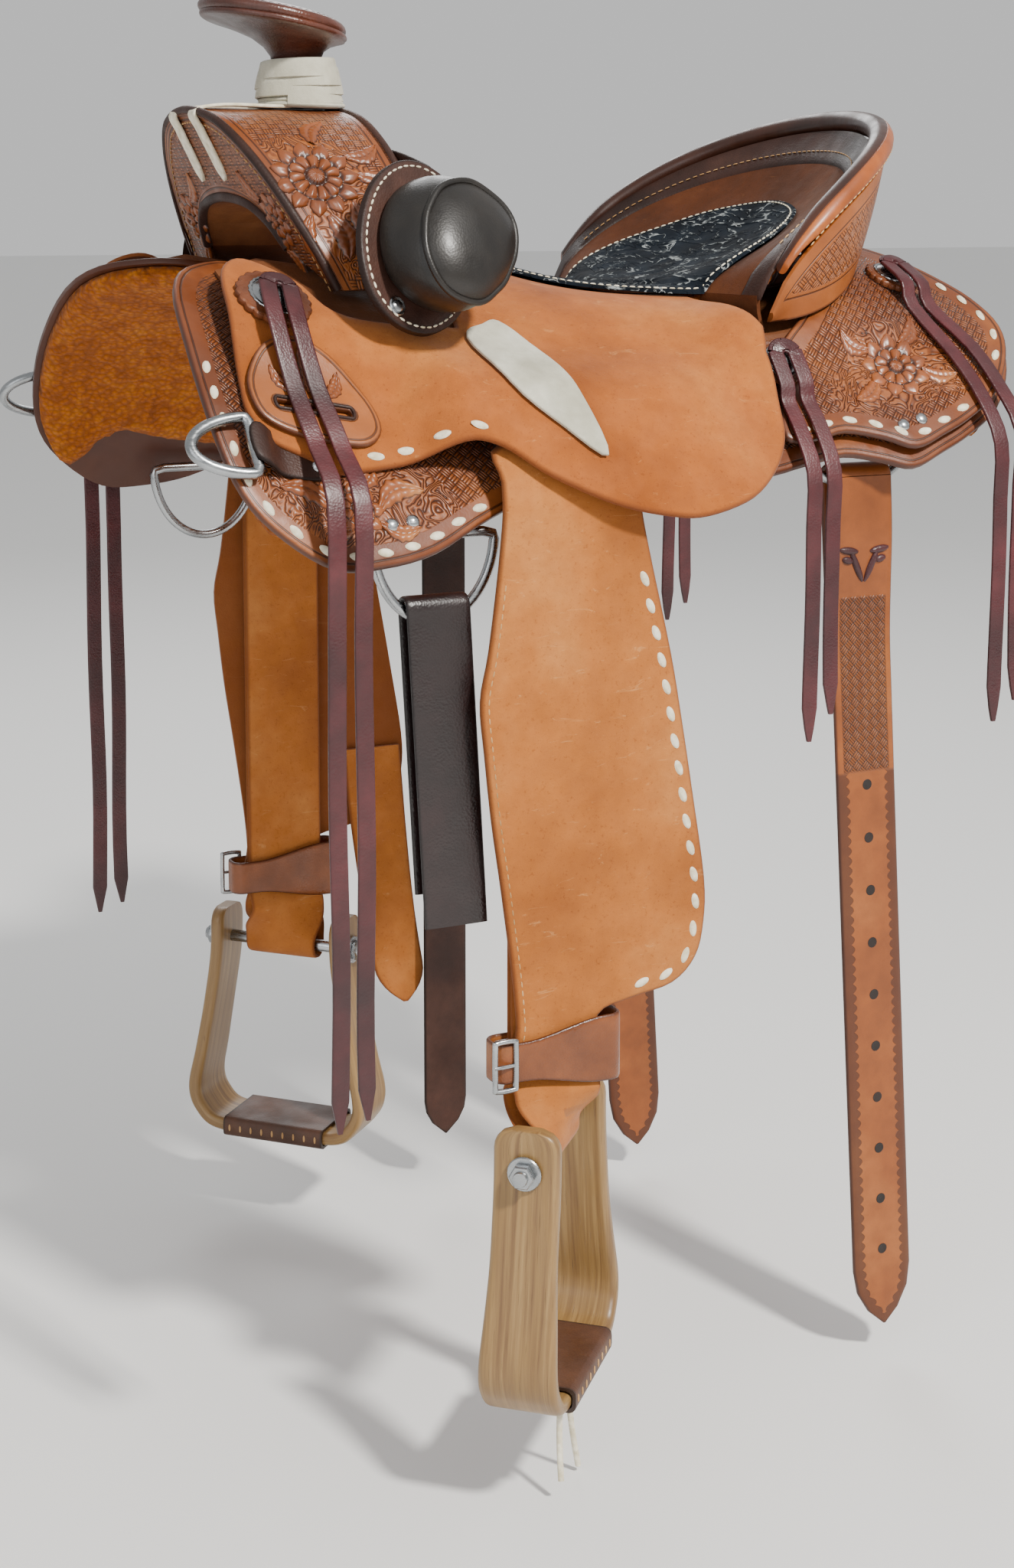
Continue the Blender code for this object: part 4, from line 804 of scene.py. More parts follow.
CONCHOS = {"front": (-0.259, 0.150, 0.026), "rear": (0.112, 0.182, 0.0185),
           "back": (0.247, 0.114, 0.0205)}


def skin_under(place, x, s):
    """Top of the leather that a concho and its strings lie on."""
    if place == "front":
        return seat_skin(x, s) + 0.0056 * smooth(s, 0.176, 0.190)
    return housing_height(x, s) + HOUSING_T


def concho_frame(place, side):
    """A matrix on the leather under a concho, with Z square to the leather."""
    x, s, radius = CONCHOS[place]

    def skin(dx, ds):
        return on_barrel(x + dx, side * (s + ds), skin_under(place, x + dx, s + ds))

    along = (skin(radius, 0) - skin(-radius, 0)).normalized()
    down = (skin(0, radius) - skin(0, -radius)).normalized()
    normal = along.cross(down).normalized()
    if normal.z < 0:
        normal = -normal
    centre = skin(0, 0)
    lift = 0.0
    for k in range(8):
        a = math.pi * k / 4
        for part in (0.5, 1.0):
            p = skin(radius * part * math.cos(a), radius * part * math.sin(a))
            lift = max(lift, (p - centre).dot(normal))
    frame = Matrix((along, normal.cross(along), normal)).transposed().to_4x4()
    frame.translation = centre + normal * (lift + 0.0022)
    return frame

PLATE_CENTRE = Vector((-0.161, 0.156, 0.142))
PLATE_OUT = Vector((0.35, 0.88, 0.33)).normalized()
PLATE_OUTLINE = ((0.000, 0.064), (0.029, 0.058), (0.047, 0.034), (0.050, 0.000),
                 (0.041, -0.034), (0.016, -0.058), (-0.014, -0.061), (-0.038, -0.045),
                 (-0.049, -0.011), (-0.043, 0.027), (-0.025, 0.053))


def plate_frame(side):
    """Axes of a bucking roll's plate: across, up and out."""
    out = Vector((PLATE_OUT.x, side * PLATE_OUT.y, PLATE_OUT.z))
    up = Vector((0.30, -side * 0.30, 0.92))
    up = (up - out * up.dot(out)).normalized()
    across = up.cross(out).normalized() * -side
    centre = Vector((PLATE_CENTRE.x, side * PLATE_CENTRE.y, PLATE_CENTRE.z))
    return centre, across, up, out


class Hang:
    """Where a rigging ring hangs: its bar's middle, its foot, the way down from one to the other
    and half its width.
    """

    def __init__(self, side, x, bar, foot, half_width):
        self.side, self.x, self.half = side, x, half_width
        self.top = Vector((x, side * bar[0], bar[1]))
        self.foot = Vector((x, side * foot[0], foot[1]))
        self.down = (self.foot - self.top).normalized()
        self.drop = (self.foot - self.top).length


# Each ring's x, its bar's middle (y, z), its foot (y, z) and half its width.
FRONT_RING = (-0.178, (0.2260, -0.038), (0.2260, -0.094), 0.043)
REAR_RING = (0.168, (0.1925, 0.009), (0.1925, -0.027), 0.047)
RING_R = 0.0035
OFF_BILLET = (0.035, 0.2280, -0.020, -0.640)     # x, y, and the heights of its top and tip


def hanging_loop(hang, lean, half_width, tip_z, back_z, layer, drawn_in=0.0):
    """A strap's path from its tip up over a ring's foot and down behind it.

    It hangs upright under the ring's foot. lean moves its tip along x, and drawn_in brings its
    long front leaf back under the ring, so that the strap hangs in balance."""
    side = hang.side
    rise = hang.drop * (1 - math.sqrt(1 - (half_width / hang.half) ** 2))
    edge = hang.foot - hang.down * rise
    z = edge.z + 0.001
    y = (hang.foot.y + edge.y) / 2
    radius = RING_R + abs(hang.foot.y - edge.y) / 2 + 0.0012 + layer / 2
    def at(out, height):
        part = (z - height) / max(1e-6, z - tip_z)
        return Vector((hang.x + lean * part, y + side * out, height))
    heights = [mix(tip_z, z - 0.004, (k / 14) ** 0.8) for k in range(15)]
    front = [at(radius - drawn_in * smooth(h, z - 0.02, z - 0.13), h) for h in heights]
    over = [at(radius * math.cos(a), z + radius * math.sin(a))
            for a in (math.pi * k / 6 for k in range(7))]
    back = [at(-radius, mix(z - 0.004, back_z, k / 3)) for k in range(4)]
    return front + over + back


def bolt_axis(side):
    """Level direction along a stirrup's bolt, from the outer end to the inner end."""
    return Vector((math.cos(BOLT_TURN), -side * math.sin(BOLT_TURN), 0))


def leather_width(side, z):
    """The stirrup leather's width direction, which turns with the stirrup near the bolt."""
    turn = BOLT_TURN * smooth(z, -0.414, -0.446)
    return Vector((math.cos(turn), -side * math.sin(turn), 0))


def stirrup_path():
    """The bent wood's middle line: distance along the bolt's axis, and height."""
    top = BOLT_Z + 0.027
    side = ((-STIRRUP_TOP_HALF, top), (-STIRRUP_TOP_HALF - 0.001, BOLT_Z - 0.010),
            (-0.063, -0.505), (-0.071, -0.548), (-STIRRUP_FOOT_HALF, -0.580),
            (-0.070, -0.599), (-0.052, TREAD_Z), (0.0, TREAD_Z))
    full = list(side) + [(-u, z) for u, z in reversed(side[:-1])]
    return [tuple(p) for p in curve_through(full, 3)]

STRING_SPREAD = 0.0078             # half the distance between a thong's two ends
STRING_ENDS = {
    # for each end of a thong: places on the leather as x and s, then the x and z of its
    # fall in the plane y that follows
    "front": ((((-0.2640, 0.215), (-0.2620, 0.245), (-0.2600, 0.262)), (-0.261, -0.410)),
              (((-0.2480, 0.215), (-0.2450, 0.245), (-0.2430, 0.262)), (-0.243, -0.404)), 0.265),
    "rear": ((((0.1045, 0.215), (0.1045, 0.236)), (0.105, -0.200)),
             (((0.1205, 0.215), (0.1210, 0.236)), (0.121, -0.182)), 0.2350),
    "back": ((((0.2440, 0.150), (0.2550, 0.200), (0.2600, 0.240)), (0.262, -0.200)),
             (((0.2610, 0.150), (0.2720, 0.195), (0.2770, 0.232)), (0.279, -0.186)), 0.2370),
}


def barrel_normal(s):
    angle = CREST_ANGLE + abs(s) / BARREL_R
    return Vector((0, math.copysign(math.sin(angle), s), math.cos(angle)))


def string_end(place, side, laid, fall, plane):
    """Points and normals of one end of a thong, from its concho to its tip."""
    out = []
    for x, s in laid:
        height = skin_under(place, x, s) + 0.0036
        out.append((on_barrel(x, side * s, height), barrel_normal(side * s)))
    x, z = fall
    start = out[-1][0].z - 0.030
    for k in range(6):
        out.append((Vector((x, side * plane, mix(start, z, k / 5))), Vector((0, side, 0))))
    return out



# ------------------------------------------------------------------ mesh builders
def make_object(name, mesh, mat, body, slot=None, replaces=(), blend=None):
    thing = bpy.data.objects.new(name, mesh)
    bpy.context.scene.collection.objects.link(thing)
    if mat is not None:
        mesh.materials.append(mat)
    if blend:
        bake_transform(thing)
    else:
        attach(thing, body)
    if replaces:
        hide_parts(*([replaces] if isinstance(replaces, str) else replaces))
    return thing


def build(name, points, faces, mat, body, lay=None, edge=None, sharp=50, tidy=True,
          extra=None, **facts):
    """A mesh object from points and faces, with its lay and edge attributes."""
    mesh = bpy.data.meshes.new(name)
    mesh.from_pydata([tuple(p) for p in points], [], [tuple(f) for f in faces])
    count = len(mesh.vertices)
    if lay is not None:
        layer = mesh.uv_layers.new(name="lay")
        corner = np.zeros(len(mesh.loops), dtype=np.int32)
        mesh.loops.foreach_get("vertex_index", corner)
        layer.data.foreach_set("uv", np.asarray(lay, dtype=np.float32)[corner].ravel())
    values = {"edge": edge if edge is not None else np.full(count, 0.05)}
    values.update(extra or {})
    for key, found in values.items():
        mesh.attributes.new(key, "FLOAT", "POINT").data.foreach_set(
            "value", np.asarray(found, dtype=np.float32))
    if tidy:
        work = bmesh.new()
        work.from_mesh(mesh)
        bmesh.ops.recalc_face_normals(work, faces=work.faces)
        work.to_mesh(mesh)
        work.free()
    mesh.shade_smooth()
    if sharp:
        mesh.set_sharp_from_angle(angle=math.radians(sharp))
    return make_object(name, mesh, mat, body, **facts)


def resample(outline, step):
    """A closed outline with its points about a step apart; sharp turns keep their corner."""
    out = []
    for a, b in zip(outline, outline[1:] + outline[:1]):
        a, b = Vector(a), Vector(b)
        parts = max(1, round((b - a).length / step))
        out += [tuple(a.lerp(b, k / parts)) for k in range(parts)]
    return out


def inside_all(points, ring):
    """Which points lie inside a closed ring."""
    px, py = points[:, 0:1], points[:, 1:2]
    a = np.asarray(ring)
    b = np.roll(a, -1, axis=0)
    ax, ay, bx, by = a[:, 0], a[:, 1], b[:, 0], b[:, 1]
    spans = (ay > py) != (by > py)
    with np.errstate(divide="ignore", invalid="ignore"):
        cross = (bx - ax) * (py - ay) / (by - ay) + ax
    return (np.sum(spans & (px < cross), axis=1) % 2) == 1


def distance_all(points, ring):
    """Each point's distance to a closed ring."""
    a = np.asarray(ring)
    d = np.roll(a, -1, axis=0) - a
    size = np.maximum((d ** 2).sum(axis=1), 1e-14)
    best = np.full(len(points), 1.0)
    for start in range(0, len(points), 2000):
        p = points[start:start + 2000]
        rel = p[:, None, :] - a[None, :, :]
        t = np.clip((rel * d).sum(axis=2) / size, 0, 1)
        gap = rel - t[..., None] * d
        best[start:start + 2000] = np.sqrt((gap ** 2).sum(axis=2)).min(axis=1)
    return best


def offset_ring(ring, by):
    """The ring moved inwards by a distance."""
    points = np.asarray(ring)
    before, after = np.roll(points, 1, axis=0), np.roll(points, -1, axis=0)
    along = after - before
    along /= np.maximum(np.linalg.norm(along, axis=1, keepdims=True), 1e-9)
    area = np.sum(points[:, 0] * after[:, 1] - after[:, 0] * points[:, 1])
    turn = 1 if area > 0 else -1
    return points + np.stack((-along[:, 1], along[:, 0]), axis=1) * by * turn


def flat_mesh(outline, step, holes=(), rounded=0.0016):
    """Points, triangles and edge distances that fill an outline with a fine inner grid."""
    rings = [resample([tuple(p) for p in outline], step)]
    rings += [resample([tuple(p) for p in hole], step * 0.5) for hole in holes]
    fixed = [p for ring in rings for p in ring]
    free = []
    if rounded:
        for ring, way in [(rings[0], 1)] + [(ring, -1) for ring in rings[1:]]:
            for part in (0.35, 1.0):
                free.append(offset_ring(ring, rounded * part * way))
    outer = np.asarray(rings[0])
    low, high = outer.min(axis=0), outer.max(axis=0)
    xs = np.arange(low[0] + step / 2, high[0], step)
    ys = np.arange(low[1] + step / 2, high[1], step * 0.866)
    grid = np.array([(x + (step / 2 if j % 2 else 0), y) for j, y in enumerate(ys) for x in xs])
    keep = inside_all(grid, rings[0]) & (distance_all(grid, rings[0]) > rounded + 0.55 * step)
    for ring in rings[1:]:
        keep &= ~inside_all(grid, ring) & (distance_all(grid, ring) > rounded + 0.4 * step)
    inner = grid[keep]
    if free:
        free = np.concatenate(free)
        good = inside_all(free, rings[0]) & (distance_all(free, rings[0]) > rounded * 0.3)
        for ring in rings[1:]:
            good &= ~inside_all(free, ring)
        inner = np.concatenate((free[good], inner))
    flat = [Vector(p) for p in fixed] + [Vector(p) for p in inner]
    links, loops, start = [], [], 0
    for ring in rings:
        ids = list(range(start, start + len(ring)))
        links += list(zip(ids, ids[1:] + ids[:1]))
        loops.append(ids)
        start += len(ring)
    points, _, faces, _, _, _ = delaunay_2d_cdt(flat, links, loops[:1], 1, 1e-7)
    points = np.array([tuple(p) for p in points])
    faces = [tuple(f) for f in faces]
    if holes:
        centres = np.array([points[list(f)].mean(axis=0) for f in faces])
        gone = np.zeros(len(faces), dtype=bool)
        for ring in rings[1:]:
            gone |= inside_all(centres, ring)
        faces = [f for f, out in zip(faces, gone) if not out]
    edge = distance_all(points, rings[0])
    for ring in rings[1:]:
        edge = np.minimum(edge, distance_all(points, ring))
    return points, faces, edge


def skin_mesh(flat, faces, upper, lower):
    """Points and faces of a closed sheet between two faces of the same flat mesh."""
    count = len(flat)
    points = [tuple(upper(i, *p)) for i, p in enumerate(flat)]
    points += [tuple(lower(i, *p)) for i, p in enumerate(flat)]
    uses = {}
    for face in faces:
        for a, b in zip(face, face[1:] + face[:1]):
            uses.setdefault(frozenset((a, b)), []).append((a, b))
    walls = [(b, a, a + count, b + count) for found in uses.values() if len(found) == 1
             for a, b in found]
    under = [tuple(reversed([i + count for i in f])) for f in faces]
    return points, list(faces) + under + walls


def sheet(name, outline, upper, lower, mat, body, step=0.006, per_span=4, rounded=0.0016,
          drop=0.45, holes=(), smooth_outline=True, **facts):
    """A leather sheet: upper and lower give its faces at a place in the flat, as points.

    upper takes a height correction as its third argument, which rounds the cut edge off."""
    ring = outline
    if smooth_outline:
        ring = [tuple(p) for p in curve_through(outline, per_span, closed=True)]
    flat, faces, edge = flat_mesh(ring, step, holes, rounded)
    round_off = drop * rounded * np.maximum(0, 1 - edge / max(rounded, 1e-6)) ** 2 * 1.6
    points, all_faces = skin_mesh(
        flat, faces, lambda i, x, s: upper(x, s, -round_off[i]), lambda i, x, s: lower(x, s))
    return build(name, points, all_faces, mat, body, lay=np.concatenate((flat, flat)),
                 edge=np.concatenate((edge, edge * 0)), **facts)


def laid(name, outline, side, base, thickness, mat, body=ROOT, relief=None, **facts):
    """A leather sheet on the barrel, its underside at height base(x, s)."""
    bump = relief or (lambda x, s: 0.0)
    return sheet(name, outline,
                 lambda x, s, d: on_barrel(x, side * s, base(x, s) + thickness + d + bump(x, s)),
                 lambda x, s: on_barrel(x, side * s, base(x, s)), mat, body, **facts)


def hanging(name, outline, side, plane, thickness, mat, body, shift=0.0, bow=None, **facts):
    """A leather sheet hanging in a plane of constant y, in x and z."""
    bend = bow or (lambda x, z: 0.0)
    return sheet(name, outline,
                 lambda x, z, d: Vector((x + shift, side * (plane + thickness / 2 + d
                                                            + bend(x, z)), z)),
                 lambda x, z: Vector((x + shift, side * (plane - thickness / 2
                                                         + bend(x, z)), z)),
                 mat, body, **facts)


def grid_mesh(rows, close_rows=False, close_columns=False, caps=False):
    """Points and faces of a grid given as a list of rows of points."""
    count, width = len(rows), len(rows[0])
    points = [tuple(p) for row in rows for p in row]
    faces = []
    for i in range(count if close_rows else count - 1):
        for j in range(width if close_columns else width - 1):
            k, m = (i + 1) % count, (j + 1) % width
            faces.append((i * width + j, i * width + m, k * width + m, k * width + j))
    if caps:
        faces.append(tuple(reversed(range(width))))
        faces.append(tuple(range((count - 1) * width, count * width)))
    return points, faces


def frames_along(path, closed=False):
    """Direction, side and up at each point of a path, with as little twist as can be."""
    path = [Vector(p) for p in path]
    count = len(path)
    out = []
    side = None
    for i in range(count):
        a = path[i - 1] if (closed or i) else path[i]
        b = path[(i + 1) % count] if (closed or i < count - 1) else path[i]
        along = (b - a).normalized()
        if side is None:
            side = along.orthogonal().normalized()
        side = (side - along * side.dot(along)).normalized()
        out.append((along, side, along.cross(side)))
    return out


def tube(name, path, radius, mat, body, closed=False, sides=10, flatten=1.0, **facts):
    """A round tube along a path; radius is a number or a function of the part run."""
    path = [Vector(p) for p in path]
    frames = frames_along(path, closed)
    rows, count = [], len(path)
    for i, (p, (_, side, up)) in enumerate(zip(path, frames)):
        r = radius(i / max(1, count - 1)) if callable(radius) else radius
        rows.append([p + side * r * math.cos(a) + up * r * flatten * math.sin(a)
                     for a in (2 * math.pi * k / sides for k in range(sides))])
    points, faces = grid_mesh(rows, close_rows=closed, close_columns=True, caps=not closed)
    return build(name, points, faces, mat, body, **facts)


def run_of(path):
    run = [0.0]
    for a, b in zip(path, path[1:]):
        run.append(run[-1] + (Vector(b) - Vector(a)).length)
    return run


STRAP_SECTION = ((1.0, 0.0), (0.985, 0.55), (0.93, 0.92), (0.80, 1.0), (0.45, 1.0), (0.0, 1.0),
                 (-0.45, 1.0), (-0.80, 1.0), (-0.93, 0.92), (-0.985, 0.55), (-1.0, 0.0),
                 (-0.985, -0.55), (-0.93, -0.92), (-0.80, -1.0), (0.0, -1.0), (0.80, -1.0),
                 (0.93, -0.92), (0.985, -0.55))


def strap(name, path, across, width, thickness, mat, body, closed=False, tip=None, start=None,
          crown=0.0, **facts):
    """A flat strap with round edges along a path.

    across(i) gives the width's direction; tip(d) and start(d) give the part of the full width at
    a distance from either end. Its lay is the run along it and the place across it."""
    path = [Vector(p) for p in path]
    count = len(path)
    run = run_of(path)
    rows, lay, edge = [], [], []
    for i, p in enumerate(path):
        a = path[i - 1] if (closed or i) else path[i]
        b = path[(i + 1) % count] if (closed or i < count - 1) else path[i]
        along = (b - a).normalized()
        w = Vector(across(i)).normalized()
        n = w.cross(along).normalized()
        w = (w - along * w.dot(along)).normalized() if abs(w.dot(along)) > 0.5 else w
        part = 1.0
        if tip:
            part = min(part, tip(run[-1] - run[i]))
        if start:
            part = min(part, start(run[i]))
        part = max(part, 0.02)
        half = width(run[i]) / 2 if callable(width) else width / 2
        row = []
        for u, v in STRAP_SECTION:
            lift = crown * (1 - u * u) if v > 0 else 0.0
            row.append(p + w * u * half * part + n * (v * thickness / 2 + lift))
            lay.append((run[i], u * half * part))
            gap = half * part * (1 - abs(u))
            if not closed:
                gap = min(gap, run[i] if start else 1, run[-1] - run[i] if tip else 1)
            edge.append(gap)
        rows.append(row)
    points, faces = grid_mesh(rows, close_rows=closed, close_columns=True, caps=not closed)
    return build(name, points, faces, mat, body, lay=lay, edge=edge, **facts)


def pointed(length, flat=0.04):
    return lambda d: 1.0 if d >= length else max(flat, math.sin(math.pi / 2 * d / length) ** 0.7)


def lathe(name, profile, frame, mat, body, steps=28, wave=None, **facts):
    """A turned piece about a frame's Z; wave(angle, radius) scales its radius."""
    rows = []
    for k in range(steps):
        a = 2 * math.pi * k / steps
        row = []
        for r, h in profile:
            size = r * (wave(a, r) if wave else 1.0)
            row.append(frame @ Vector((size * math.cos(a), size * math.sin(a), h)))
        rows.append(row)
    points, faces = grid_mesh(rows, close_rows=True)
    count, width = len(rows), len(rows[0])
    faces.append(tuple(k * width for k in range(count)))
    faces.append(tuple(k * width + width - 1 for k in reversed(range(count))))
    return build(name, points, faces, mat, body, sharp=35, **facts)


def merged(name, pieces, mat, body, **facts):
    """One object from many small meshes given as (points, faces)."""
    points, faces = [], []
    for found, shape in pieces:
        start = len(points)
        points += found
        faces += [tuple(i + start for i in f) for f in shape]
    return build(name, points, faces, mat, body, **facts)


def lozenge(centre, along, across, out, length=0.0085, width=0.0042, rise=0.0011):
    """A domed lace stitch, pinched at its ends."""
    points, faces = [], []
    rows, columns = 9, 7
    for i in range(rows):
        u = 2 * i / (rows - 1) - 1
        half = width / 2 * max(0.12, (1 - abs(u) ** 2.2)) ** 0.6
        for j in range(columns):
            v = 2 * j / (columns - 1) - 1
            h = rise * (1 - v * v) ** 0.5 * (1 - u ** 4) ** 0.5
            points.append(tuple(centre + along * u * length / 2 + across * v * half + out * h))
    for i in range(rows - 1):
        for j in range(columns - 1):
            k = i * columns + j
            faces.append((k, k + 1, k + columns + 1, k + columns))
    base = len(points)
    points.append(tuple(centre - out * rise * 0.8))
    rim_ids = [j for j in range(columns)] + [i * columns + columns - 1 for i in range(1, rows)]
    rim_ids += [(rows - 1) * columns + j for j in reversed(range(columns - 1))]
    rim_ids += [i * columns for i in reversed(range(1, rows - 1))]
    for a, b in zip(rim_ids, rim_ids[1:] + rim_ids[:1]):
        faces.append((b, a, base))
    return points, faces


def spaced(path, gap, offset=0.0):
    """Places every gap along a path: (point, direction)."""
    path = [Vector(p) for p in path]
    run = run_of(path)
    out = []
    at = offset
    i = 0
    while at < run[-1] - 1e-9:
        while run[i + 1] < at:
            i += 1
        span = run[i + 1] - run[i]
        t = (at - run[i]) / span if span > 1e-12 else 0
        out.append((path[i].lerp(path[i + 1], t), (path[i + 1] - path[i]).normalized()))
        at += gap
    return out


def stitch_row(name, flat_path, skin, normal, mat, body, gap, length=0.0085, width=0.0042,
               rise=0.0011, offset=None, slant=0.0, **facts):
    """A row of stitches: flat_path lies in the flat, skin takes it to space."""
    pieces = []
    tiny = 1e-4
    for p, way in spaced([Vector((*q, 0)) for q in flat_path], gap,
                         gap / 2 if offset is None else offset):
        way = Matrix.Rotation(slant, 3, "Z") @ way
        here = skin(p.x, p.y)
        there = skin(p.x + way.x * tiny, p.y + way.y * tiny)
        along = (there - here).normalized()
        out = normal(p.x, p.y)
        out = (out - along * out.dot(along)).normalized()
        pieces.append(lozenge(here, along, out.cross(along), out, length, width, rise))
    return merged(name, pieces, mat, body, **facts)


def border_path(outline, inset, start, end, per_span=6):
    """The part of an outline from control point start to end, set in by a distance."""
    ring = [tuple(p) for p in curve_through(outline, per_span, closed=True)]
    ring = offset_ring(ring, inset)
    first, last = start * per_span, end * per_span
    return [tuple(ring[i % len(ring)]) for i in range(first, last + 1)]


# ------------------------------------------------------------------ thongs and laces
def strings_of(place, side_name, side, mats):
    """One thong tied through a concho: two hanging ends, each a thin strap, and the bend."""
    first, second, plane = STRING_ENDS[place]
    frame_at = concho_frame(place, side)
    over, down = Vector((0, 0, 0.0105)), frame_at.to_3x3() @ Vector((0, 1, 0))
    way = 1 if down.z < 0 else -1
    normal = frame_at.to_3x3() @ Vector((0, 0, 1))
    reach = CONCHOS[place][2] + 0.004
    made = []
    for k, (end, e) in enumerate(((first, -1), (second, 1))):
        bend = []
        for step in range(7):
            a = math.pi / 2 * step / 6
            flat = Vector((e * math.sin(a), -way * math.cos(a), 0)) * STRING_SPREAD
            bend.append((frame_at @ (flat + over), normal))
        leave = (frame_at @ Vector((e * STRING_SPREAD, way * reach, 0.0088)), normal)
        line = bend + [leave] + string_end(place, side, *end, plane)
        points = curve_through([p for p, _ in line], 3)
        normals = curve_through([n for _, n in line], 3)
        count = len(points)
        run = run_of(points)
        sway = 0.0011 * (1 if k else -1)
        for i, p in enumerate(points):
            low = smooth(run[i], 0.09, run[-1])
            p.x += sway * math.sin(26 * p.z + k) * low
        name = f"thong_{place}_{side_name}_{'front' if k == 0 else 'back'}"

        def across(i, points=points, normals=normals, count=count):
            along = points[min(i + 1, count - 1)] - points[max(i - 1, 0)]
            return along.cross(normals[i])

        cut = (lambda d: 1.0 if d > 0.020 else 0.25 + 0.75 * d / 0.020)
        piece = strap(name, points, across, STRING_W, STRING_T, mats["burgundy"], ROOT,
                      slot="burgundy_thong", tip=cut,
                      replaces=f"strings_{place}_{side_name}" if k == 0 else ())
        tuple(points[0])
        [tuple(p) for p in points]
        made.append(piece)
    return made


def stirrup_laces(mats):
    """Two cream lace ends that hang from the near stirrup's tread."""
    side = -1
    axis = bolt_axis(side)
    centre = Vector((STIRRUP_X, side * LEATHER_Y, 0))
    aside = Vector((-axis.y, axis.x, 0))
    if aside.y > 0:
        aside = -aside
    for k, (u, drop, lean) in enumerate(((-0.018, 0.056, -0.012), (-0.002, 0.067, 0.014))):
        top = centre + axis * u + aside * 0.012 + Vector((0, 0, TREAD_Z - 0.0102))
        line = [top + axis * lean * t + Vector((0, 0, -drop * t)) + aside * 0.004 * t * t
                for t in (j / 15 for j in range(16))]
        piece = tube(f"stirrup_lace_{k}", line, 0.0022, mats["cream"], "near_stirrup", sides=8,
                     slot="mulehide")
        tuple(line[0])
        round(run_of(line)[-1], 3)
        [tuple(p) for p in line]


# ------------------------------------------------------------------ skirts, fleece, housings
def make_skirts(mats):
    """Both skirts, with their fleece."""
    for side_name, side in SIDES.items():
        laid(f"skirt_leather_{side_name}", SKIRT, side, lambda x, s: 0.0, SKIRT_T,
             mats["skirt"], slot="tooled_leather", replaces=f"skirt_{side_name}", step=0.0075,
             rounded=0.0022)
        laid(f"housing_{side_name}", HOUSING, side, housing_height, HOUSING_T,
             mats["housing"], slot="tooled_leather", replaces=f"rear_housing_{side_name}",
             step=0.0065, rounded=0.0020)
        make_fleece(side_name, side, mats)


def make_fleece(side_name, side, mats):
    """Sheared fleece under the skirt: clumped, with tufts standing out past its edge."""
    ring = [tuple(p) for p in curve_through(fleece_outline(), 3, closed=True)]
    flat, faces, edge = flat_mesh(ring, 0.0062, rounded=0.0030)

    def under(i, x, s):
        tuft = noise.noise(Vector((x * 120, s * 120, side * 7.0)))
        tuft += 0.6 * noise.noise(Vector((x * 260, s * 260, side * 3.0)))
        full = FLEECE_T * (0.82 + 0.17 * tuft)
        full *= 0.55 + 0.45 * min(1.0, edge[i] / 0.006)
        ragged = 0.0026 * noise.noise(Vector((x * 210, s * 210, 4.0)))
        out = ragged if edge[i] < 0.0005 else 0.0
        return on_barrel(x + out, side * (s + out), -0.001 - full)

    points, all_faces = skin_mesh(
        flat, faces, lambda i, x, s: on_barrel(x, side * s, -0.0008), under)
    build(f"fleece_{side_name}", points, all_faces, mats["fleece"], ROOT, sharp=None,
          slot="fleece", replaces=f"skirt_fleece_{side_name}")


# ------------------------------------------------------------------ seat and cantle
def make_seat(mats):
    near = [tuple(p) for p in curve_through(SEAT, 5)]
    across = [(0.0950, 0.170), (0.0860, 0.125), (0.0710, 0.063), (0.0570, 0.012)]
    front = [(-0.118, 0.012), (-0.118, 0.060), (-0.120, 0.110)]
    half = near + across
    outline = [(x, -s) for x, s in front] + [(x, -s) for x, s in half]
    outline += [(x, s) for x, s in reversed(half)] + [(x, s) for x, s in reversed(front)]

    def wrinkle(x, s):
        a = abs(s)
        worn = smooth(a, 0.10, 0.15) * smooth(x, -0.02, -0.10)
        return 0.0006 * noise.noise(Vector((x * 38, s * 12, 0))) * worn

    sheet("seat_cover", outline,
          lambda x, s, d: on_barrel(x, s, seat_height(x, s) + SEAT_T + d + wrinkle(x, s)),
          lambda x, s: on_barrel(x, s, seat_height(x, s)), mats["rough"], ROOT,
          smooth_outline=False, step=0.0065, rounded=0.0020, slot="rough_out_leather",
          replaces="seat_leather")


def dish_grid(angles, ratios, lift=0.0):
    """Rows of points over the dish, raised square to it."""
    tiny = 1e-3
    rows = []
    for angle in angles:
        row = []
        for ratio in ratios(angle):
            p = dish(angle, ratio)
            if lift:
                other = dish(min(angle + tiny, 1.56), ratio)
                if (other - p).length < 1e-7:
                    other = dish(angle - tiny, ratio)
                p = down_normal(p, dish(angle, ratio + tiny), other, -lift)
            row.append(p)
        rows.append(row)
    return rows


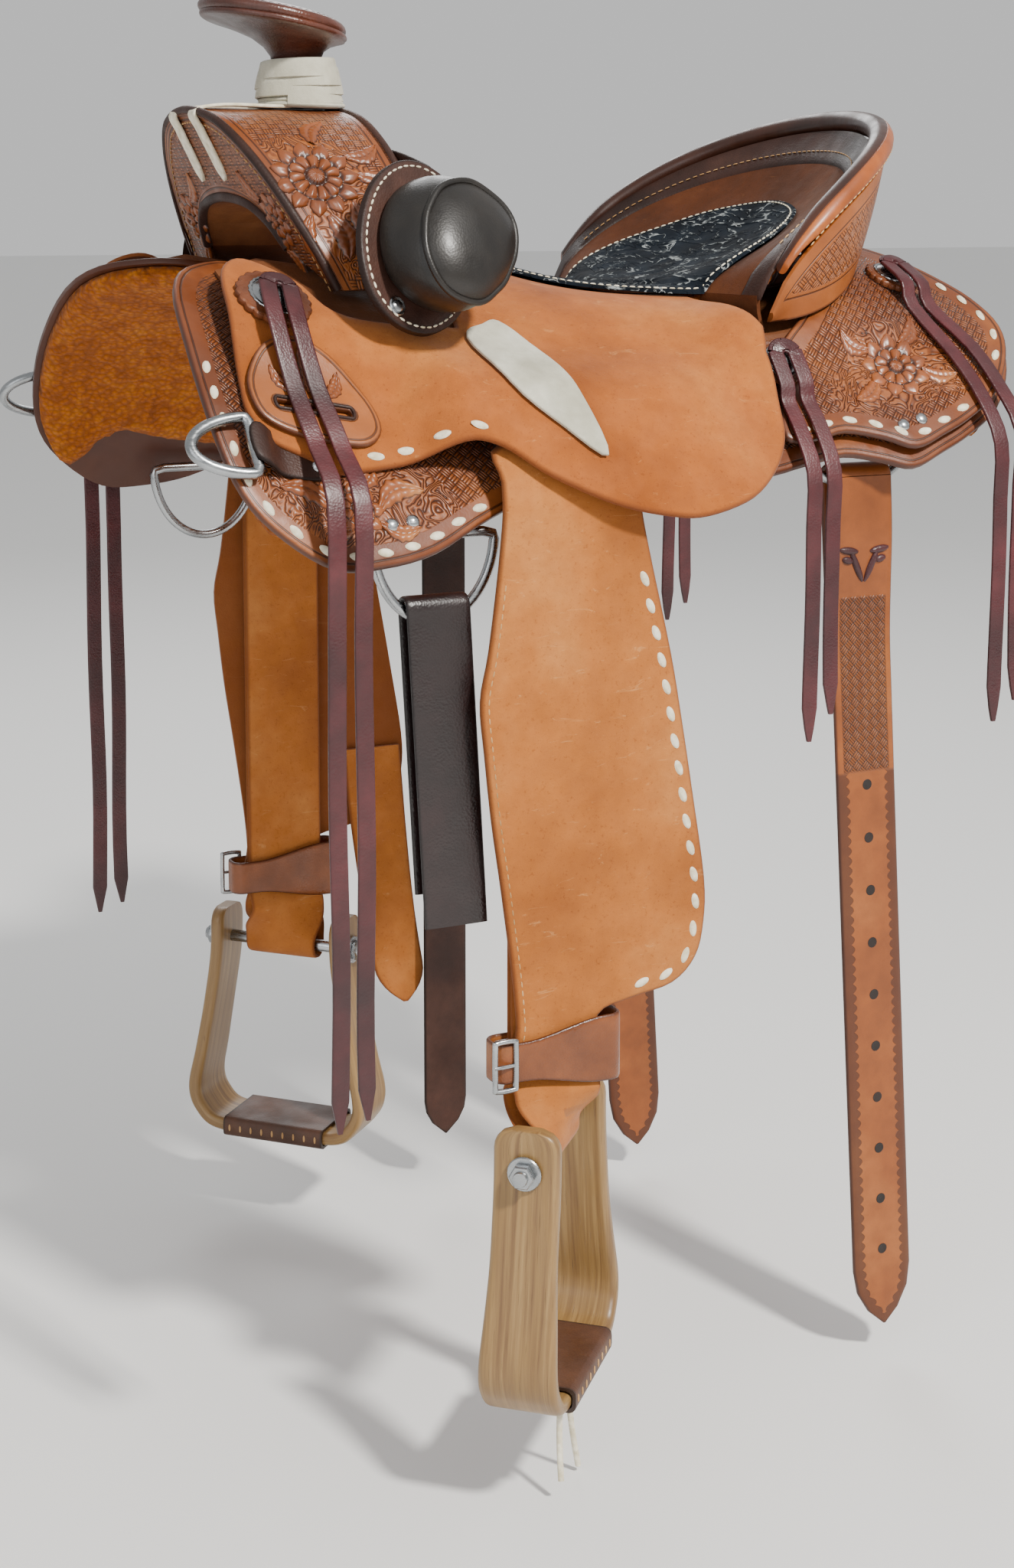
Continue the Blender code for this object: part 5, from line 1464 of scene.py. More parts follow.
def make_cantle(mats):
    steps = 96
    top = math.pi / 2 - 0.002
    angles = [mix(-top, top, k / steps) for k in range(steps + 1)]
    columns = 40

    def ratios(angle):
        last = rim_ratio(angle, 0.0112)
        return [mix(0.06, last, k / columns) for k in range(columns + 1)]

    upper = dish_grid(angles, ratios)
    lower = dish_grid(angles, ratios, -SEAT_T)
    width = columns + 1
    points = [p for row in upper for p in row] + [p for row in lower for p in row]
    shift = len(upper) * width
    faces = []
    for i in range(steps):
        for j in range(columns):
            a, b, c, d = (i * width + j, i * width + j + 1, (i + 1) * width + j + 1,
                          (i + 1) * width + j)
            faces += [(a, b, c, d), (d + shift, c + shift, b + shift, a + shift)]
    for i in range(steps):
        for j in (0, columns):
            a, b = i * width + j, (i + 1) * width + j
            faces.append((a, b, b + shift, a + shift))
    for j in range(columns):
        for i in (0, steps):
            a, b = i * width + j, i * width + j + 1
            faces.append((a, b, b + shift, a + shift))
    edge = []
    for angle in angles:
        p = rim(angle)
        reach = math.hypot(p.x - DISH_CENTRE[0], p.y)
        edge += [(ratios(angle)[-1] - r) * reach for r in ratios(angle)]
    # the dish cover is the seat's own rough-out painted darker: painted shade
    build("cantle_dish_cover", points, faces, mats["dish"], ROOT, edge=edge * 2,
          slot="rough_out_leather", replaces="cantle_dish")

    # the back, basket stamped, and a bound edge round its foot
    lay, edge, out_rows, in_rows = [], [], [], []
    last = math.radians(89.8)
    back_angles = [mix(-last, last, k / 80) for k in range(81)]
    run = 0.0
    before = None
    rows_up = 16
    for angle in back_angles:
        n, head, base = outwards(angle), rim(angle), cantle_base(angle)
        head = head + n * 0.0005 - Vector((0, 0, 0.0115))
        if before is not None:
            run += (base - before).length
        before = base
        tall = (head - base).length
        row_o, row_i = [], []
        for j in range(rows_up + 1):
            t = j / rows_up
            p = base.lerp(head, t)
            bulge = 0.0016 * math.sin(math.pi * t)
            row_i.append(p)
            row_o.append(p + n * (0.003 + bulge))
            lay.append((run, tall * t))
            edge.append(min(tall * t, tall * (1 - t) + 0.004))
        out_rows.append(row_o)
        in_rows.append(row_i)
    points, faces = closed_sheet(out_rows, in_rows)
    build("cantle_back_cover", points, faces, mats["cantle_back"], ROOT, lay=lay * 2,
          edge=edge * 2, slot="tooled_leather", replaces="cantle_back")

    # a closing piece under each end of the dish, down to the seat, in the dish's darker rough-out,
    # which is painted shade
    for side_name, side in SIDES.items():
        upper, lower = [], []
        for k in range(15):
            p = dish(side * math.radians(89.8), mix(0.62, rim_ratio(last, 0.0112), k / 14))
            foot = Vector((p.x + 0.004, p.y, mix(0.094, 0.0835, k / 14)))
            row = [p.lerp(foot, t) + Vector((-0.0016 * math.sin(math.pi * t), 0, 0))
                   for t in (0.0, 0.25, 0.5, 0.75, 1.0)]
            upper.append([q - Vector((0.0006, 0, 0)) for q in row])
            lower.append([q + Vector((0.0022, 0, 0)) for q in row])
        points, faces = closed_sheet(upper, lower)
        build(f"cantle_ear_{side_name}", points, faces, mats["dish"], ROOT,
              slot="rough_out_leather")

    # the rolled rim: dark brown inside, polished orange-brown outside
    rows, band = [], []
    ring_steps = 20
    for angle in [mix(-1.53, 1.53, k / 110) for k in range(111)]:
        n, p = outwards(angle), rim(angle)
        end = 1 - 0.45 * smooth(abs(angle), 1.35, 1.53)
        row = []
        for k in range(ring_steps):
            a = 2 * math.pi * k / ring_steps
            way = n * math.cos(a) * 1.04 + Vector((0, 0, 1)) * math.sin(a)
            row.append(p + way * ROLL_R * end)
            band.append(math.cos(a - math.radians(-32)))
        rows.append(row)
    points, faces = grid_mesh(rows, close_columns=True, caps=True)
    build("cantle_binding", points, faces, mats["binding"], ROOT, extra={"band": band},
          slot="dark_leather", replaces="cantle_roll")

    # flat flange inside the rim with its stitch line
    flange_rows = dish_grid(angles, lambda angle: [
        rim_ratio(angle, d) for d in (0.0270, 0.0255, 0.0210, 0.0150, 0.0100, 0.0075)], 0.0)
    lifted = []
    heights = (0.0002, 0.0016, 0.0021, 0.0024, 0.0030, 0.0030)
    for angle, row in zip(angles, flange_rows):
        lifted.append([p + Vector((0, 0, h)) - outwards(angle) * h * 0.5
                       for p, h in zip(row, heights)])
    below = [[p - Vector((0, 0, 0.0012)) for p in row] for row in flange_rows]
    points, faces = closed_sheet(lifted, below)
    build("cantle_flange", points, faces, mats["dark"], ROOT, slot="dark_leather")
    line = [rim_point(angle, 0.0205, 0.0026) for angle in
            [mix(-1.44, 1.44, k / 150) for k in range(151)]]
    seam("cantle_stitches", line, lambda p: Vector((0, 0, 1)), mats["tan_thread"], ROOT, 0.0062,
         0.0044, 0.0013, 0.0006)
    line = [rim(angle) + outwards(angle) * (ROLL_R * 0.93)
            + Vector((0, 0, -ROLL_R * 0.42)) for angle in
            [mix(-1.46, 1.46, k / 150) for k in range(151)]]
    seam("binding_stitches", line, lambda p: (Vector((p.x - DISH_CENTRE[0], p.y, 0))
                                              - Vector((0, 0, 0.05))).normalized(),
         mats["tan_thread"], ROOT, 0.0060, 0.0042, 0.0012, 0.0006)


def rim_point(angle, inset, lift):
    p = dish(angle, rim_ratio(angle, inset))
    return p + Vector((0, 0, lift)) - outwards(angle) * lift * 0.5


def closed_sheet(upper, lower):
    """Points and faces of a closed sheet between two grids of points."""
    rows, columns = len(upper), len(upper[0])
    points = [p for row in upper for p in row] + [p for row in lower for p in row]
    shift = rows * columns
    faces = []
    for i in range(rows - 1):
        for j in range(columns - 1):
            a, b = i * columns + j, i * columns + j + 1
            c, d = b + columns, a + columns
            faces += [(a, b, c, d), (d + shift, c + shift, b + shift, a + shift)]
    for i in range(rows - 1):
        for j, flip in ((0, True), (columns - 1, False)):
            a, b = i * columns + j, (i + 1) * columns + j
            face = (a, b, b + shift, a + shift)
            faces.append(tuple(reversed(face)) if flip else face)
    for j in range(columns - 1):
        for i, flip in ((0, False), (rows - 1, True)):
            a, b = i * columns + j, i * columns + j + 1
            face = (a, b, b + shift, a + shift)
            faces.append(tuple(reversed(face)) if flip else face)
    return points, faces


def seam(name, line, normal, mat, body, gap, length, width, rise, **facts):
    """Small thread stitches along a line in space."""
    pieces = []
    for p, along in spaced(line, gap, gap / 2):
        out = normal(p)
        out = (out - along * out.dot(along)).normalized()
        pieces.append(lozenge(p, along, out.cross(along), out, length, width, rise))
    return merged(name, pieces, mat, body, **facts)


INLAY = ((-0.035, 0.0), (-0.010, 0.045), (0.030, 0.080), (0.075, 0.108), (0.115, 0.112),
         (0.160, 0.096), (0.200, 0.060), (0.217, 0.0), (0.200, -0.060), (0.160, -0.096),
         (0.115, -0.112), (0.075, -0.108), (0.030, -0.080), (-0.010, -0.045))


def make_inlay(mats):
    """The quilted seat inlay: blue-black hide, crinkled across, inside a stitched edge."""
    ring = [tuple(p) for p in curve_through(INLAY, 6, closed=True)]
    flat, faces, edge = flat_mesh(ring, 0.0042, rounded=0.0020)

    def puff(i, x, y):
        swell = 0.0016 * smooth(edge[i], 0.0, 0.012)
        crease = abs(noise.noise(Vector((x * 95 + 2.2 * noise.noise(Vector((0, y * 26, 4))),
                                         y * 16, 1))))
        return swell - 0.0012 * smooth(crease, 0.16, 0.0) * smooth(edge[i], 0.004, 0.012)

    heights = {tuple(p): seat_top(*p) for p in map(tuple, flat)}
    points, all_faces = skin_mesh(
        flat, faces,
        lambda i, x, y: Vector((x, y, heights[(x, y)] + 0.0046 - 0.002 *
                                max(0, 1 - edge[i] / 0.002) ** 2 + puff(i, x, y))),
        lambda i, x, y: Vector((x, y, heights[(x, y)] + 0.0026)))
    build("inlay", points, all_faces, mats["inlay"], ROOT, edge=np.concatenate((edge, edge * 0)),
          slot="inlay_leather", replaces="seat_inlay")
    inset = offset_ring(ring, 0.0042)
    line = [Vector((x, y, seat_top(x, y) + 0.0054)) for x, y in
            list(map(tuple, inset)) + [tuple(inset[0])]]
    seam("inlay_stitches", line, lambda p: Vector((0, 0, 1)), mats["cream"], ROOT, 0.0058,
         0.0042, 0.0013, 0.0008)


# ------------------------------------------------------------------ fork and horn
FACE_LIFT = 0.0028          # leather over the fork's front and back faces
FORK_ROUND = 0.0062         # radius of the fold between a face and the wrap


def make_fork(mats):
    """Tooled leather over the fork: its wrap, its two faces and the gullet's bound edge."""
    count = 73
    outer = along_arch([tuple(p)[1:] for p in curve_through(
        [(0, y, z) for y, z in mirrored_arch(FORK_ARCH)], 8)], count)
    inner = along_arch([tuple(p)[1:] for p in curve_through(
        [(0, y, z) for y, z in mirrored_arch(GULLET_ARCH)], 8)], count)
    skin = grown(outer, GAP + FORK_COVER_T)
    under = grown(outer, GAP)
    deep = 14
    rounds = 5
    r = FORK_ROUND
    rows, lay, edge = [], [], []
    run = 0.0
    face_steps = 22
    for i, ((y, z), (gy, gz)) in enumerate(zip(skin, inner)):
        if i:
            run += math.hypot(y - skin[i - 1][0], z - skin[i - 1][1])
        size = math.hypot(y - gy, z - gz)
        ay, az = (y - gy) / size, (z - gz) / size
        row = []

        def add(x, yy, zz, u, v, e):
            row.append(Vector((x, yy, zz)))
            lay.append((u, v))
            edge.append(e)

        def back(zz):
            return fork_back(zz) + FACE_LIFT

        def front(zz):
            return fork_front(zz) - FACE_LIFT

        for j in range(face_steps + 1):          # back face, from the gullet up
            t = j / face_steps
            yy, zz = mix(gy, y - ay * r, t), mix(gz, z - az * r, t)
            add(back(zz), yy, zz, run, 0.5 + size * t, min(size * t, 0.03))
        for j in range(1, rounds):               # round over the back edge
            a = math.pi / 2 * j / rounds
            yy = y - ay * r * (1 - math.sin(a))
            zz = z - az * r * (1 - math.sin(a))
            add(back(z) - r * (1 - math.cos(a)), yy, zz, run, 0.5 + size, 0.03)
        depth = back(z) - front(z) - 2 * r
        for j in range(deep + 1):
            t = j / deep
            add(back(z) - r - depth * t, y, z, run, 0.2 + depth * t,
                min(depth * t, depth * (1 - t)) + 0.004)
        for j in range(1, rounds):
            a = math.pi / 2 * (1 - j / rounds)
            yy = y - ay * r * (1 - math.sin(a))
            zz = z - az * r * (1 - math.sin(a))
            add(front(z) + r * (1 - math.cos(a)), yy, zz, run, -0.5, 0.012)
        for j in range(face_steps + 1):
            t = 1 - j / face_steps
            yy, zz = mix(gy, y - ay * r, t), mix(gz, z - az * r, t)
            add(front(zz), yy, zz, yy, zz, min(size * t + 0.0, size * (1 - t) + 0.006))
        rows.append(row)
    width = len(rows[0])
    lower = []
    for (y, z), (gy, gz), (uy, uz), row in zip(skin, inner, under, rows):
        low = []
        middle = (fork_front(z) + fork_back(z)) / 2
        for j, p in enumerate(row):
            low.append(Vector((p.x + (0.0022 if p.x < middle else -0.0022),
                               p.y,
                               p.z)))
        for j in range(face_steps + rounds - 1, width - face_steps - rounds + 1):
            low[j] = Vector((mix(row[j].x, middle, 0.06), uy, uz))
        lower.append(low)
    points, faces = closed_sheet(rows, lower)
    build("fork_leather", points, faces, mats["fork"], ROOT, lay=lay * 2,
          edge=edge + [0] * len(edge), slot="tooled_leather", replaces="fork_cover")
    # the gullet's bound edge, front and back
    for name, at in (("front", lambda z: fork_front(z) - FACE_LIFT),
                     ("back", lambda z: fork_back(z) + FACE_LIFT)):
        line = [Vector((at(z), y, z)) for y, z in grown(inner, 0.0010)]
        tube(f"gullet_binding_{name}", line, 0.0036, mats["dark"], ROOT, slot="dark_leather")
    # dark welts where the wrap meets the faces, with their stitching
    for name, at, lift in (("front", lambda z: fork_front(z) - FACE_LIFT + 0.0016, -0.006),
                           ("back", lambda z: fork_back(z) + FACE_LIFT - 0.0016, -0.006)):
        line = [Vector((at(z), y, z)) for y, z in grown(outer, GAP + FORK_COVER_T - 0.0014)]
        tube(f"fork_welt_{name}", line, 0.0030, mats["dark"], ROOT, slot="dark_leather")
        sign = -1 if name == "front" else 1
        line = [Vector(((fork_front(z) - FACE_LIFT if sign < 0 else fork_back(z) + FACE_LIFT)
                        + sign * 0.0002, y, z)) for y, z in grown(outer, lift)]
        seam(f"fork_stitches_{name}", line, lambda p, s=sign: Vector((s, 0, 0)),
             mats["tan_thread"], ROOT, 0.0056, 0.0040, 0.0012, 0.0006)


def face_flower(name, y, z, radius, petals, mats, lift=0.0):
    """A carved blossom on the fork's front face."""
    def skin(a, b, h):
        return Vector((fork_front(z + b) - FACE_LIFT - h - lift, y + a, z + b))
    blossom(name, skin, radius, petals, mats["carved"])


def blossom(name, skin, radius, petals, mat, turn=0.3):
    """A many-petalled carved flower in relief; skin(a, b, height) places it."""
    rings, steps = 34, petals * 14
    deep = max(1.0, radius / 0.021)
    points, faces, depth = [], [], []

    def petal(a, shift, sharpness):
        """1 along a petal's middle, 0 in the cut between two."""
        part = (a * petals / (2 * math.pi) + shift) % 1.0
        return (1 - abs(part - 0.5) * 2) ** sharpness

    for i in range(rings + 1):
        t = i / rings
        for k in range(steps):
            a = 2 * math.pi * k / steps
            outer = 0.76 + 0.24 * petal(a, 0.0, 0.9)
            inner_reach = 0.86 + 0.14 * petal(a, 0.5, 0.9)
            r = radius * t * mix(1.0, outer, smooth(t, 0.5, 0.95)) * \
                mix(1.0, inner_reach, smooth(t, 0.30, 0.50) * smooth(t, 0.66, 0.58))
            if t < 0.20:
                h = 0.0017 * math.sqrt(max(0, 1 - (t / 0.23) ** 2)) + 0.0010
                h += 0.0003 * math.cos(a * petals * 1.5) * (t / 0.20)
                low = 0.25 + 0.4 * (t / 0.20) ** 3
            elif t < 0.26:
                h, low = 0.0002, 1.0
            elif t < 0.60:
                local = (t - 0.26) / 0.34
                ridge = petal(a, 0.5, 0.55)
                h = 0.0007 + 0.0018 * ridge * math.sin(math.pi * min(1, local * 0.60 + 0.22))
                h -= 0.0012 * (1 - ridge) ** 3
                low = max(0.95 * (1 - ridge) ** 1.5, 0.55 * (1 - local) ** 2)
            elif t < 0.63:
                h, low = 0.0002, 1.0
            else:
                local = (t - 0.63) / 0.37
                ridge = petal(a, 0.0, 0.55)
                h = 0.0005 + 0.0018 * ridge * math.sin(math.pi * min(1, local * 0.60 + 0.25))
                h -= 0.0011 * (1 - ridge) ** 3
                vein = max(0.0, math.cos(a * petals * 3)) ** 6 * 0.0004
                h -= vein * (1 - local)
                low = max(1.0 * (1 - ridge) ** 1.5, 0.5 * (1 - local) ** 2)
            if i == rings:
                h, low = -0.0006, 1.0
            q = a + turn
            points.append(skin(r * math.cos(q), r * math.sin(q), h * deep))
            depth.append(low)
    for i in range(rings):
        for k in range(steps):
            m = (k + 1) % steps
            faces.append((i * steps + k, i * steps + m, (i + 1) * steps + m, (i + 1) * steps + k))
    return build(name, points, faces, mat, ROOT, extra={"depth": depth}, tidy=False,
                 slot="tooled_leather", sharp=None)


def leaf(skin, root, tip, width, curl=0.0):
    """A carved leaf from root to tip, with a midrib and lobed edges."""
    root, tip = Vector((*root, 0)), Vector((*tip, 0))
    way = tip - root
    aside = Vector((-way.y, way.x, 0)).normalized()
    rows, columns = 26, 15
    points, faces, depth = [], [], []
    for i in range(rows + 1):
        t = i / rows
        centre = root + way * t + aside * curl * way.length * math.sin(math.pi * t)
        half = width / 2 * math.sin(math.pi * min(1.0, 0.06 + t * 0.94)) ** 0.7
        half *= 1 - 0.16 * abs(math.sin(t * math.pi * 4.5)) ** 3
        for j in range(columns):
            v = 2 * j / (columns - 1) - 1
            p = centre + aside * v * half
            rib = 0.0007 * math.exp(-(v / 0.12) ** 2)
            h = 0.0003 + 0.0018 * math.sin(math.pi * abs(v) ** 0.8) + rib
            h -= 0.0005 * abs(math.sin(t * 22 + abs(v) * 3))
            if abs(v) > 0.99:
                h = -0.0006
            points.append(skin(p.x, p.y, h))
            depth.append(0.98 - 0.98 * min(1, max(0, h) / 0.0015))
    for i in range(rows):
        for j in range(columns - 1):
            k = i * columns + j
            faces.append((k, k + columns, k + columns + 1, k + 1))
    return points, faces, depth


def leaves(name, skin, shapes, mats):
    points, faces, depth = [], [], []
    for root, tip, width, curl in shapes:
        a, b, c = leaf(skin, root, tip, width, curl)
        start = len(points)
        points += a
        faces += [tuple(i + start for i in f) for f in b]
        depth += c
    return build(name, points, faces, mats["carved"], ROOT, extra={"depth": depth}, tidy=False,
                 slot="tooled_leather", sharp=None)


def wrap_skin(side, x0, run0):
    """Places on the fork's wrap: a along the horse from x0, b up the arch from run0."""
    outer = along_arch([tuple(p)[1:] for p in curve_through(
        [(0, y, z) for y, z in mirrored_arch(FORK_ARCH)], 8)], 145)
    line = [Vector((0, y, z)) for y, z in grown(outer, GAP + FORK_COVER_T)]
    run = run_of(line)

    def place(a, b, h):
        d = min(max(run0 + b, 0.0), run[-1] - 1e-6)
        i = max(j for j in range(len(run) - 1) if run[j] <= d)
        p = line[i].lerp(line[i + 1], (d - run[i]) / (run[i + 1] - run[i]))
        way = (line[min(i + 2, len(line) - 1)] - line[max(i - 1, 0)]).normalized()
        out = Vector((0, -way.z, way.y))
        if out.y > 0:
            out = -out
        x = x0 + a
        lead = fork_front(p.z) - FACE_LIFT + FORK_ROUND
        if x < lead:                        # follows the round edge on to the front face
            turn = min((lead - x) / FORK_ROUND, math.pi / 2)
            spill = max(0.0, lead - x - FORK_ROUND * math.pi / 2)
            p = p - out * (FORK_ROUND * (1 - math.cos(turn)) + spill)
            out = out * math.cos(turn) + Vector((-1, 0, 0)) * math.sin(turn)
            x = lead - FORK_ROUND * math.sin(turn)
        p = p + out * h
        return Vector((x, p.y if side < 0 else -p.y, p.z))
    return place


def make_carving(mats):
    for side_name, side in SIDES.items():
        wrap = wrap_skin(side, -0.2090, 0.0820)
        blossom(f"fork_wrap_flower_{side_name}", wrap, 0.0320, 11, mats["carved"])
        leaves(f"fork_wrap_leaves_{side_name}", wrap,
               [((0.004, -0.030), (0.012, -0.062), 0.020, 0.15),
                ((0.022, -0.020), (0.042, -0.046), 0.018, -0.18),
                ((0.030, 0.002), (0.056, -0.014), 0.017, 0.15),
                ((0.026, 0.018), (0.052, 0.030), 0.017, -0.18),
                ((0.006, 0.032), (0.022, 0.058), 0.017, 0.18),
                ((-0.010, -0.030), (-0.012, -0.060), 0.014, -0.12)], mats)
        face_flower(f"fork_flower_{side_name}", side * 0.086, 0.160, 0.0200, 9, mats)

        def fork_skin(a, b, h, side=side):
            return Vector((fork_front(0.160 + b) - FACE_LIFT - h, side * (0.086 + a), 0.160 + b))
        leaves(f"fork_leaves_{side_name}", fork_skin,
               [((-0.004, -0.019), (0.010, -0.040), 0.013, 0.15),
                ((-0.014, 0.014), (-0.034, 0.034), 0.014, 0.15)], mats)

        def housing_skin(a, b, h, side=side):
            x, s = 0.205 + a, 0.197 + b
            return on_barrel(x, side * s, housing_height(x, s) + HOUSING_T + h - 0.0001)
        blossom(f"housing_flower_{side_name}", housing_skin, 0.0270, 9, mats["carved"])
        leaves(f"housing_leaves_{side_name}", housing_skin,
               [((0.020, 0.006), (0.046, 0.016), 0.016, 0.15),
                ((-0.020, 0.008), (-0.044, 0.022), 0.016, -0.15),
                ((0.012, -0.018), (0.030, -0.038), 0.015, 0.2),
                ((-0.014, -0.017), (-0.034, -0.034), 0.015, -0.2)], mats)

        def skirt_skin(a, b, h, side=side):
            x, s = -0.236 + a, 0.292 + b
            return on_barrel(x, side * s, SKIRT_T + h * 1.15 - 0.0001)
        blossom(f"skirt_flower_{side_name}", skirt_skin, 0.0185, 8, mats["carved"])
        leaves(f"skirt_leaves_{side_name}", skirt_skin,
               [((-0.016, 0.002), (-0.050, -0.008), 0.018, 0.2),
                ((0.016, -0.002), (0.050, -0.018), 0.018, -0.2),
                ((0.014, 0.008), (0.042, 0.008), 0.014, 0.18),
                ((0.002, -0.016), (0.016, -0.036), 0.015, 0.2),
                ((-0.006, 0.015), (-0.026, 0.026), 0.012, 0.1)], mats)


CAP_SEAM = 0.0073           # how far the cap's stitches lie above its middle


def make_horn(mats):
    """The horn's cap and its stitches, the mulehide wound on its neck, and the tie-down strips."""
    profile = [(HORN_X, 0.0, 0.0205, 0.0), (HORN_X - 0.001, 0.020, 0.0175, 0.0),
               (HORN_X - 0.003, 0.036, 0.0180, 0.2), (HORN_X - 0.0045, 0.0415, 0.0215, 0.45),
               (HORN_X - 0.0065, 0.0465, 0.0285, 0.7), (HORN_X - 0.0110, 0.0505, 0.0385, 0.9),
               (HORN_X - 0.0155, 0.0535, 0.0470, 1.0)]
    rings = [(x, HORN_BASE_Z + rise, radius, tilt * CAP_TILT) for x, rise, radius, tilt in profile]
    for up, part in ((-0.0044, 0.975), (-0.0036, 1.0), (-0.0022, 1.008), (-0.0008, 1.0),
                     (0.0000, 0.985), (0.0008, 1.0), (0.0026, 1.012), (0.0046, 1.006),
                     (0.0062, 0.985), (0.0073, 0.955), (0.0070, 0.930), (0.0078, 0.905),
                     (0.0090, 0.85), (0.0098, 0.70), (0.0104, 0.50), (0.0108, 0.28),
                     (0.0110, 0.08)):
        rings.append((CAP_CENTRE[0] - up * math.sin(CAP_TILT),
                      CAP_CENTRE[1] + up * math.cos(CAP_TILT), CAP_R * part, CAP_TILT))
    steps = 64
    rows = [[Vector((x + radius * math.cos(a) * math.cos(tilt), radius * math.sin(a),
                     z - radius * math.cos(a) * math.sin(tilt)))
             for a in (2 * math.pi * k / steps for k in range(steps))]
            for x, z, radius, tilt in rings]
    points, faces = grid_mesh(rows, close_columns=True, caps=True)
    build("horn_leather", points, faces, mats["horn"], ROOT, slot="dark_leather",
          replaces="horn")
    # stitches round the cap's edge
    line = []
    for k in range(121):
        a = 2 * math.pi * k / 120
        r = CAP_R * 0.93
        x = CAP_CENTRE[0] - CAP_SEAM * math.sin(CAP_TILT)
        z = CAP_CENTRE[1] + CAP_SEAM * math.cos(CAP_TILT)
        line.append(Vector((x + r * math.cos(a) * math.cos(CAP_TILT), r * math.sin(a),
                            z - r * math.cos(a) * math.sin(CAP_TILT))))
    seam("horn_stitches", line, lambda p: Vector((-0.17, 0, 1)), mats["dark_thread"], ROOT,
         0.0052, 0.0038, 0.0012, 0.0006)
    # the mulehide wrap: one strip wound up the neck in overlapping turns, and its foot flange
    turns, per_turn = 3.4, 40
    total = int(turns * per_turn)
    rows = []
    for k in range(total + 1):
        t = k / total
        a = -2.2 + turns * 2 * math.pi * t
        rise = 0.0085 + 0.0215 * t
        r = WRAP_R - 0.0014 + 0.0022 * (1 - t) + 0.0009 * math.sin(a * 2.3)
        lean = Vector((math.cos(a), math.sin(a), 0))
        middle = Vector((HORN_X - rise * 0.05, 0, HORN_BASE_Z + rise))
        wide, thick = 0.0068, 0.0016
        row = []
        for u, v in ((1, 0), (0.9, 0.8), (0.4, 1), (-0.4, 1.25), (-0.9, 1.2), (-1, 0.4),
                     (-0.6, -1), (0.6, -1)):
            row.append(middle + lean * (r + v * thick - u * 0.0011) + Vector((0, 0, u * wide)))
        rows.append(row)
    points, faces = grid_mesh(rows, close_columns=True, caps=True)
    build("horn_winding", points, faces, mats["mulehide"], ROOT, slot="mulehide",
          replaces="horn_wrap")
    for k, (r, z, t, wob) in enumerate(((WRAP_R + 0.0035, 0.0022, 0.0021, 0.9),
                                        (WRAP_R + 0.0018, 0.0056, 0.0019, 1.6),
                                        (WRAP_R - 0.0002, 0.0086, 0.0018, 2.3))):
        rows = []
        for j in range(72):
            a = 2 * math.pi * j / 72
            lean = Vector((math.cos(a), math.sin(a), 0))
            rr = r + 0.0007 * math.sin(a * 3 + wob)
            mid = Vector((HORN_X, 0, HORN_BASE_Z + z + 0.0004 * math.sin(2 * a + wob)))
            rows.append([mid + lean * x + Vector((0, 0, h)) for x, h in
                         ((0.0190, -t), (rr - 0.002, -t), (rr, -t * 0.6), (rr + 0.0006, 0),
                          (rr, t * 0.6), (rr - 0.002, t), (0.0190, t))])
        points, faces = grid_mesh(rows, close_rows=True, close_columns=True)
        build(f"horn_collar_{k}", points, faces, mats["mulehide"], ROOT, slot="mulehide")
    # two flat straps that tie the wrap down over the fork's front edge
    for k, y0 in enumerate((-0.0135, 0.0125)):
        line = [Vector((HORN_X - 0.010, y0, HORN_BASE_Z + 0.0015)),
                Vector((HORN_X - 0.026, y0 * 1.3, HORN_BASE_Z + 0.0008)),
                Vector((-0.2450, y0 * 1.5, HORN_BASE_Z + 0.0010)),
                Vector((fork_front(0.234) - 0.0040, y0 * 1.6, 0.2350)),
                Vector((fork_front(0.222) - 0.0047, y0 * 1.7, 0.2220)),
                Vector((fork_front(0.205) - 0.0042, y0 * 1.75, 0.2050)),
                Vector((fork_front(0.188) - 0.0040, y0 * 1.8, 0.1880))]
        line = curve_through(line, 5)
        strap(f"horn_tie_{k}", line, lambda i: (0, 1, 0), 0.0135, 0.0024, mats["cream"],
              ROOT, slot="mulehide", tip=pointed(0.012, 0.15))


# ------------------------------------------------------------------ conchos, keepers, rings
def make_conchos(mats):
    """Conchos on scalloped rosettes, with the thongs tied through them."""
    for side_name, side in SIDES.items():
        for place, (_, _, radius) in CONCHOS.items():
            at = concho_frame(place, side)
            # scalloped leather rosette under the silver
            n = 20

            def wave(a, r, n=n, radius=radius):
                return 1 + (0.06 * abs(math.cos(a * n / 2)) - 0.035 if r > radius * 0.85 else 0)
            lathe(f"rosette_{place}_{side_name}",
                  ((radius * 0.3, -0.0018), (radius * 0.97, -0.0018), (radius * 0.995, 0.0),
                   (radius * 0.98, 0.0018), (radius * 0.93, 0.0026), (radius * 0.84, 0.0022),
                   (radius * 0.78, 0.0028), (radius * 0.40, 0.0030)), at, mats["rosette"], ROOT,
                  steps=n * 8, wave=wave, slot="tooled_leather")
            silver = radius * (0.74 if place != "front" else 0.70)
            lathe(f"concho_{place}_{side_name}_dome",
                  ((silver * 0.55, 0.0028), (silver * 0.98, 0.0028), (silver, 0.0034),
                   (silver * 0.98, 0.0040), (silver * 0.90, 0.0042), (silver * 0.86, 0.0036),
                   (silver * 0.80, 0.0044), (silver * 0.62, 0.0060), (silver * 0.38, 0.0072),
                   (silver * 0.16, 0.0077), (0.0004, 0.0078)), at, mats["steel"], ROOT,
                  steps=72, wave=lambda a, r, q=silver: 1 + (0.018 * math.cos(a * 24)
                                                            if r > q * 0.87 else 0),
                  slot="steel", replaces=f"concho_{place}_{side_name}")
            make_thong_bend(place, side_name, at, mats)


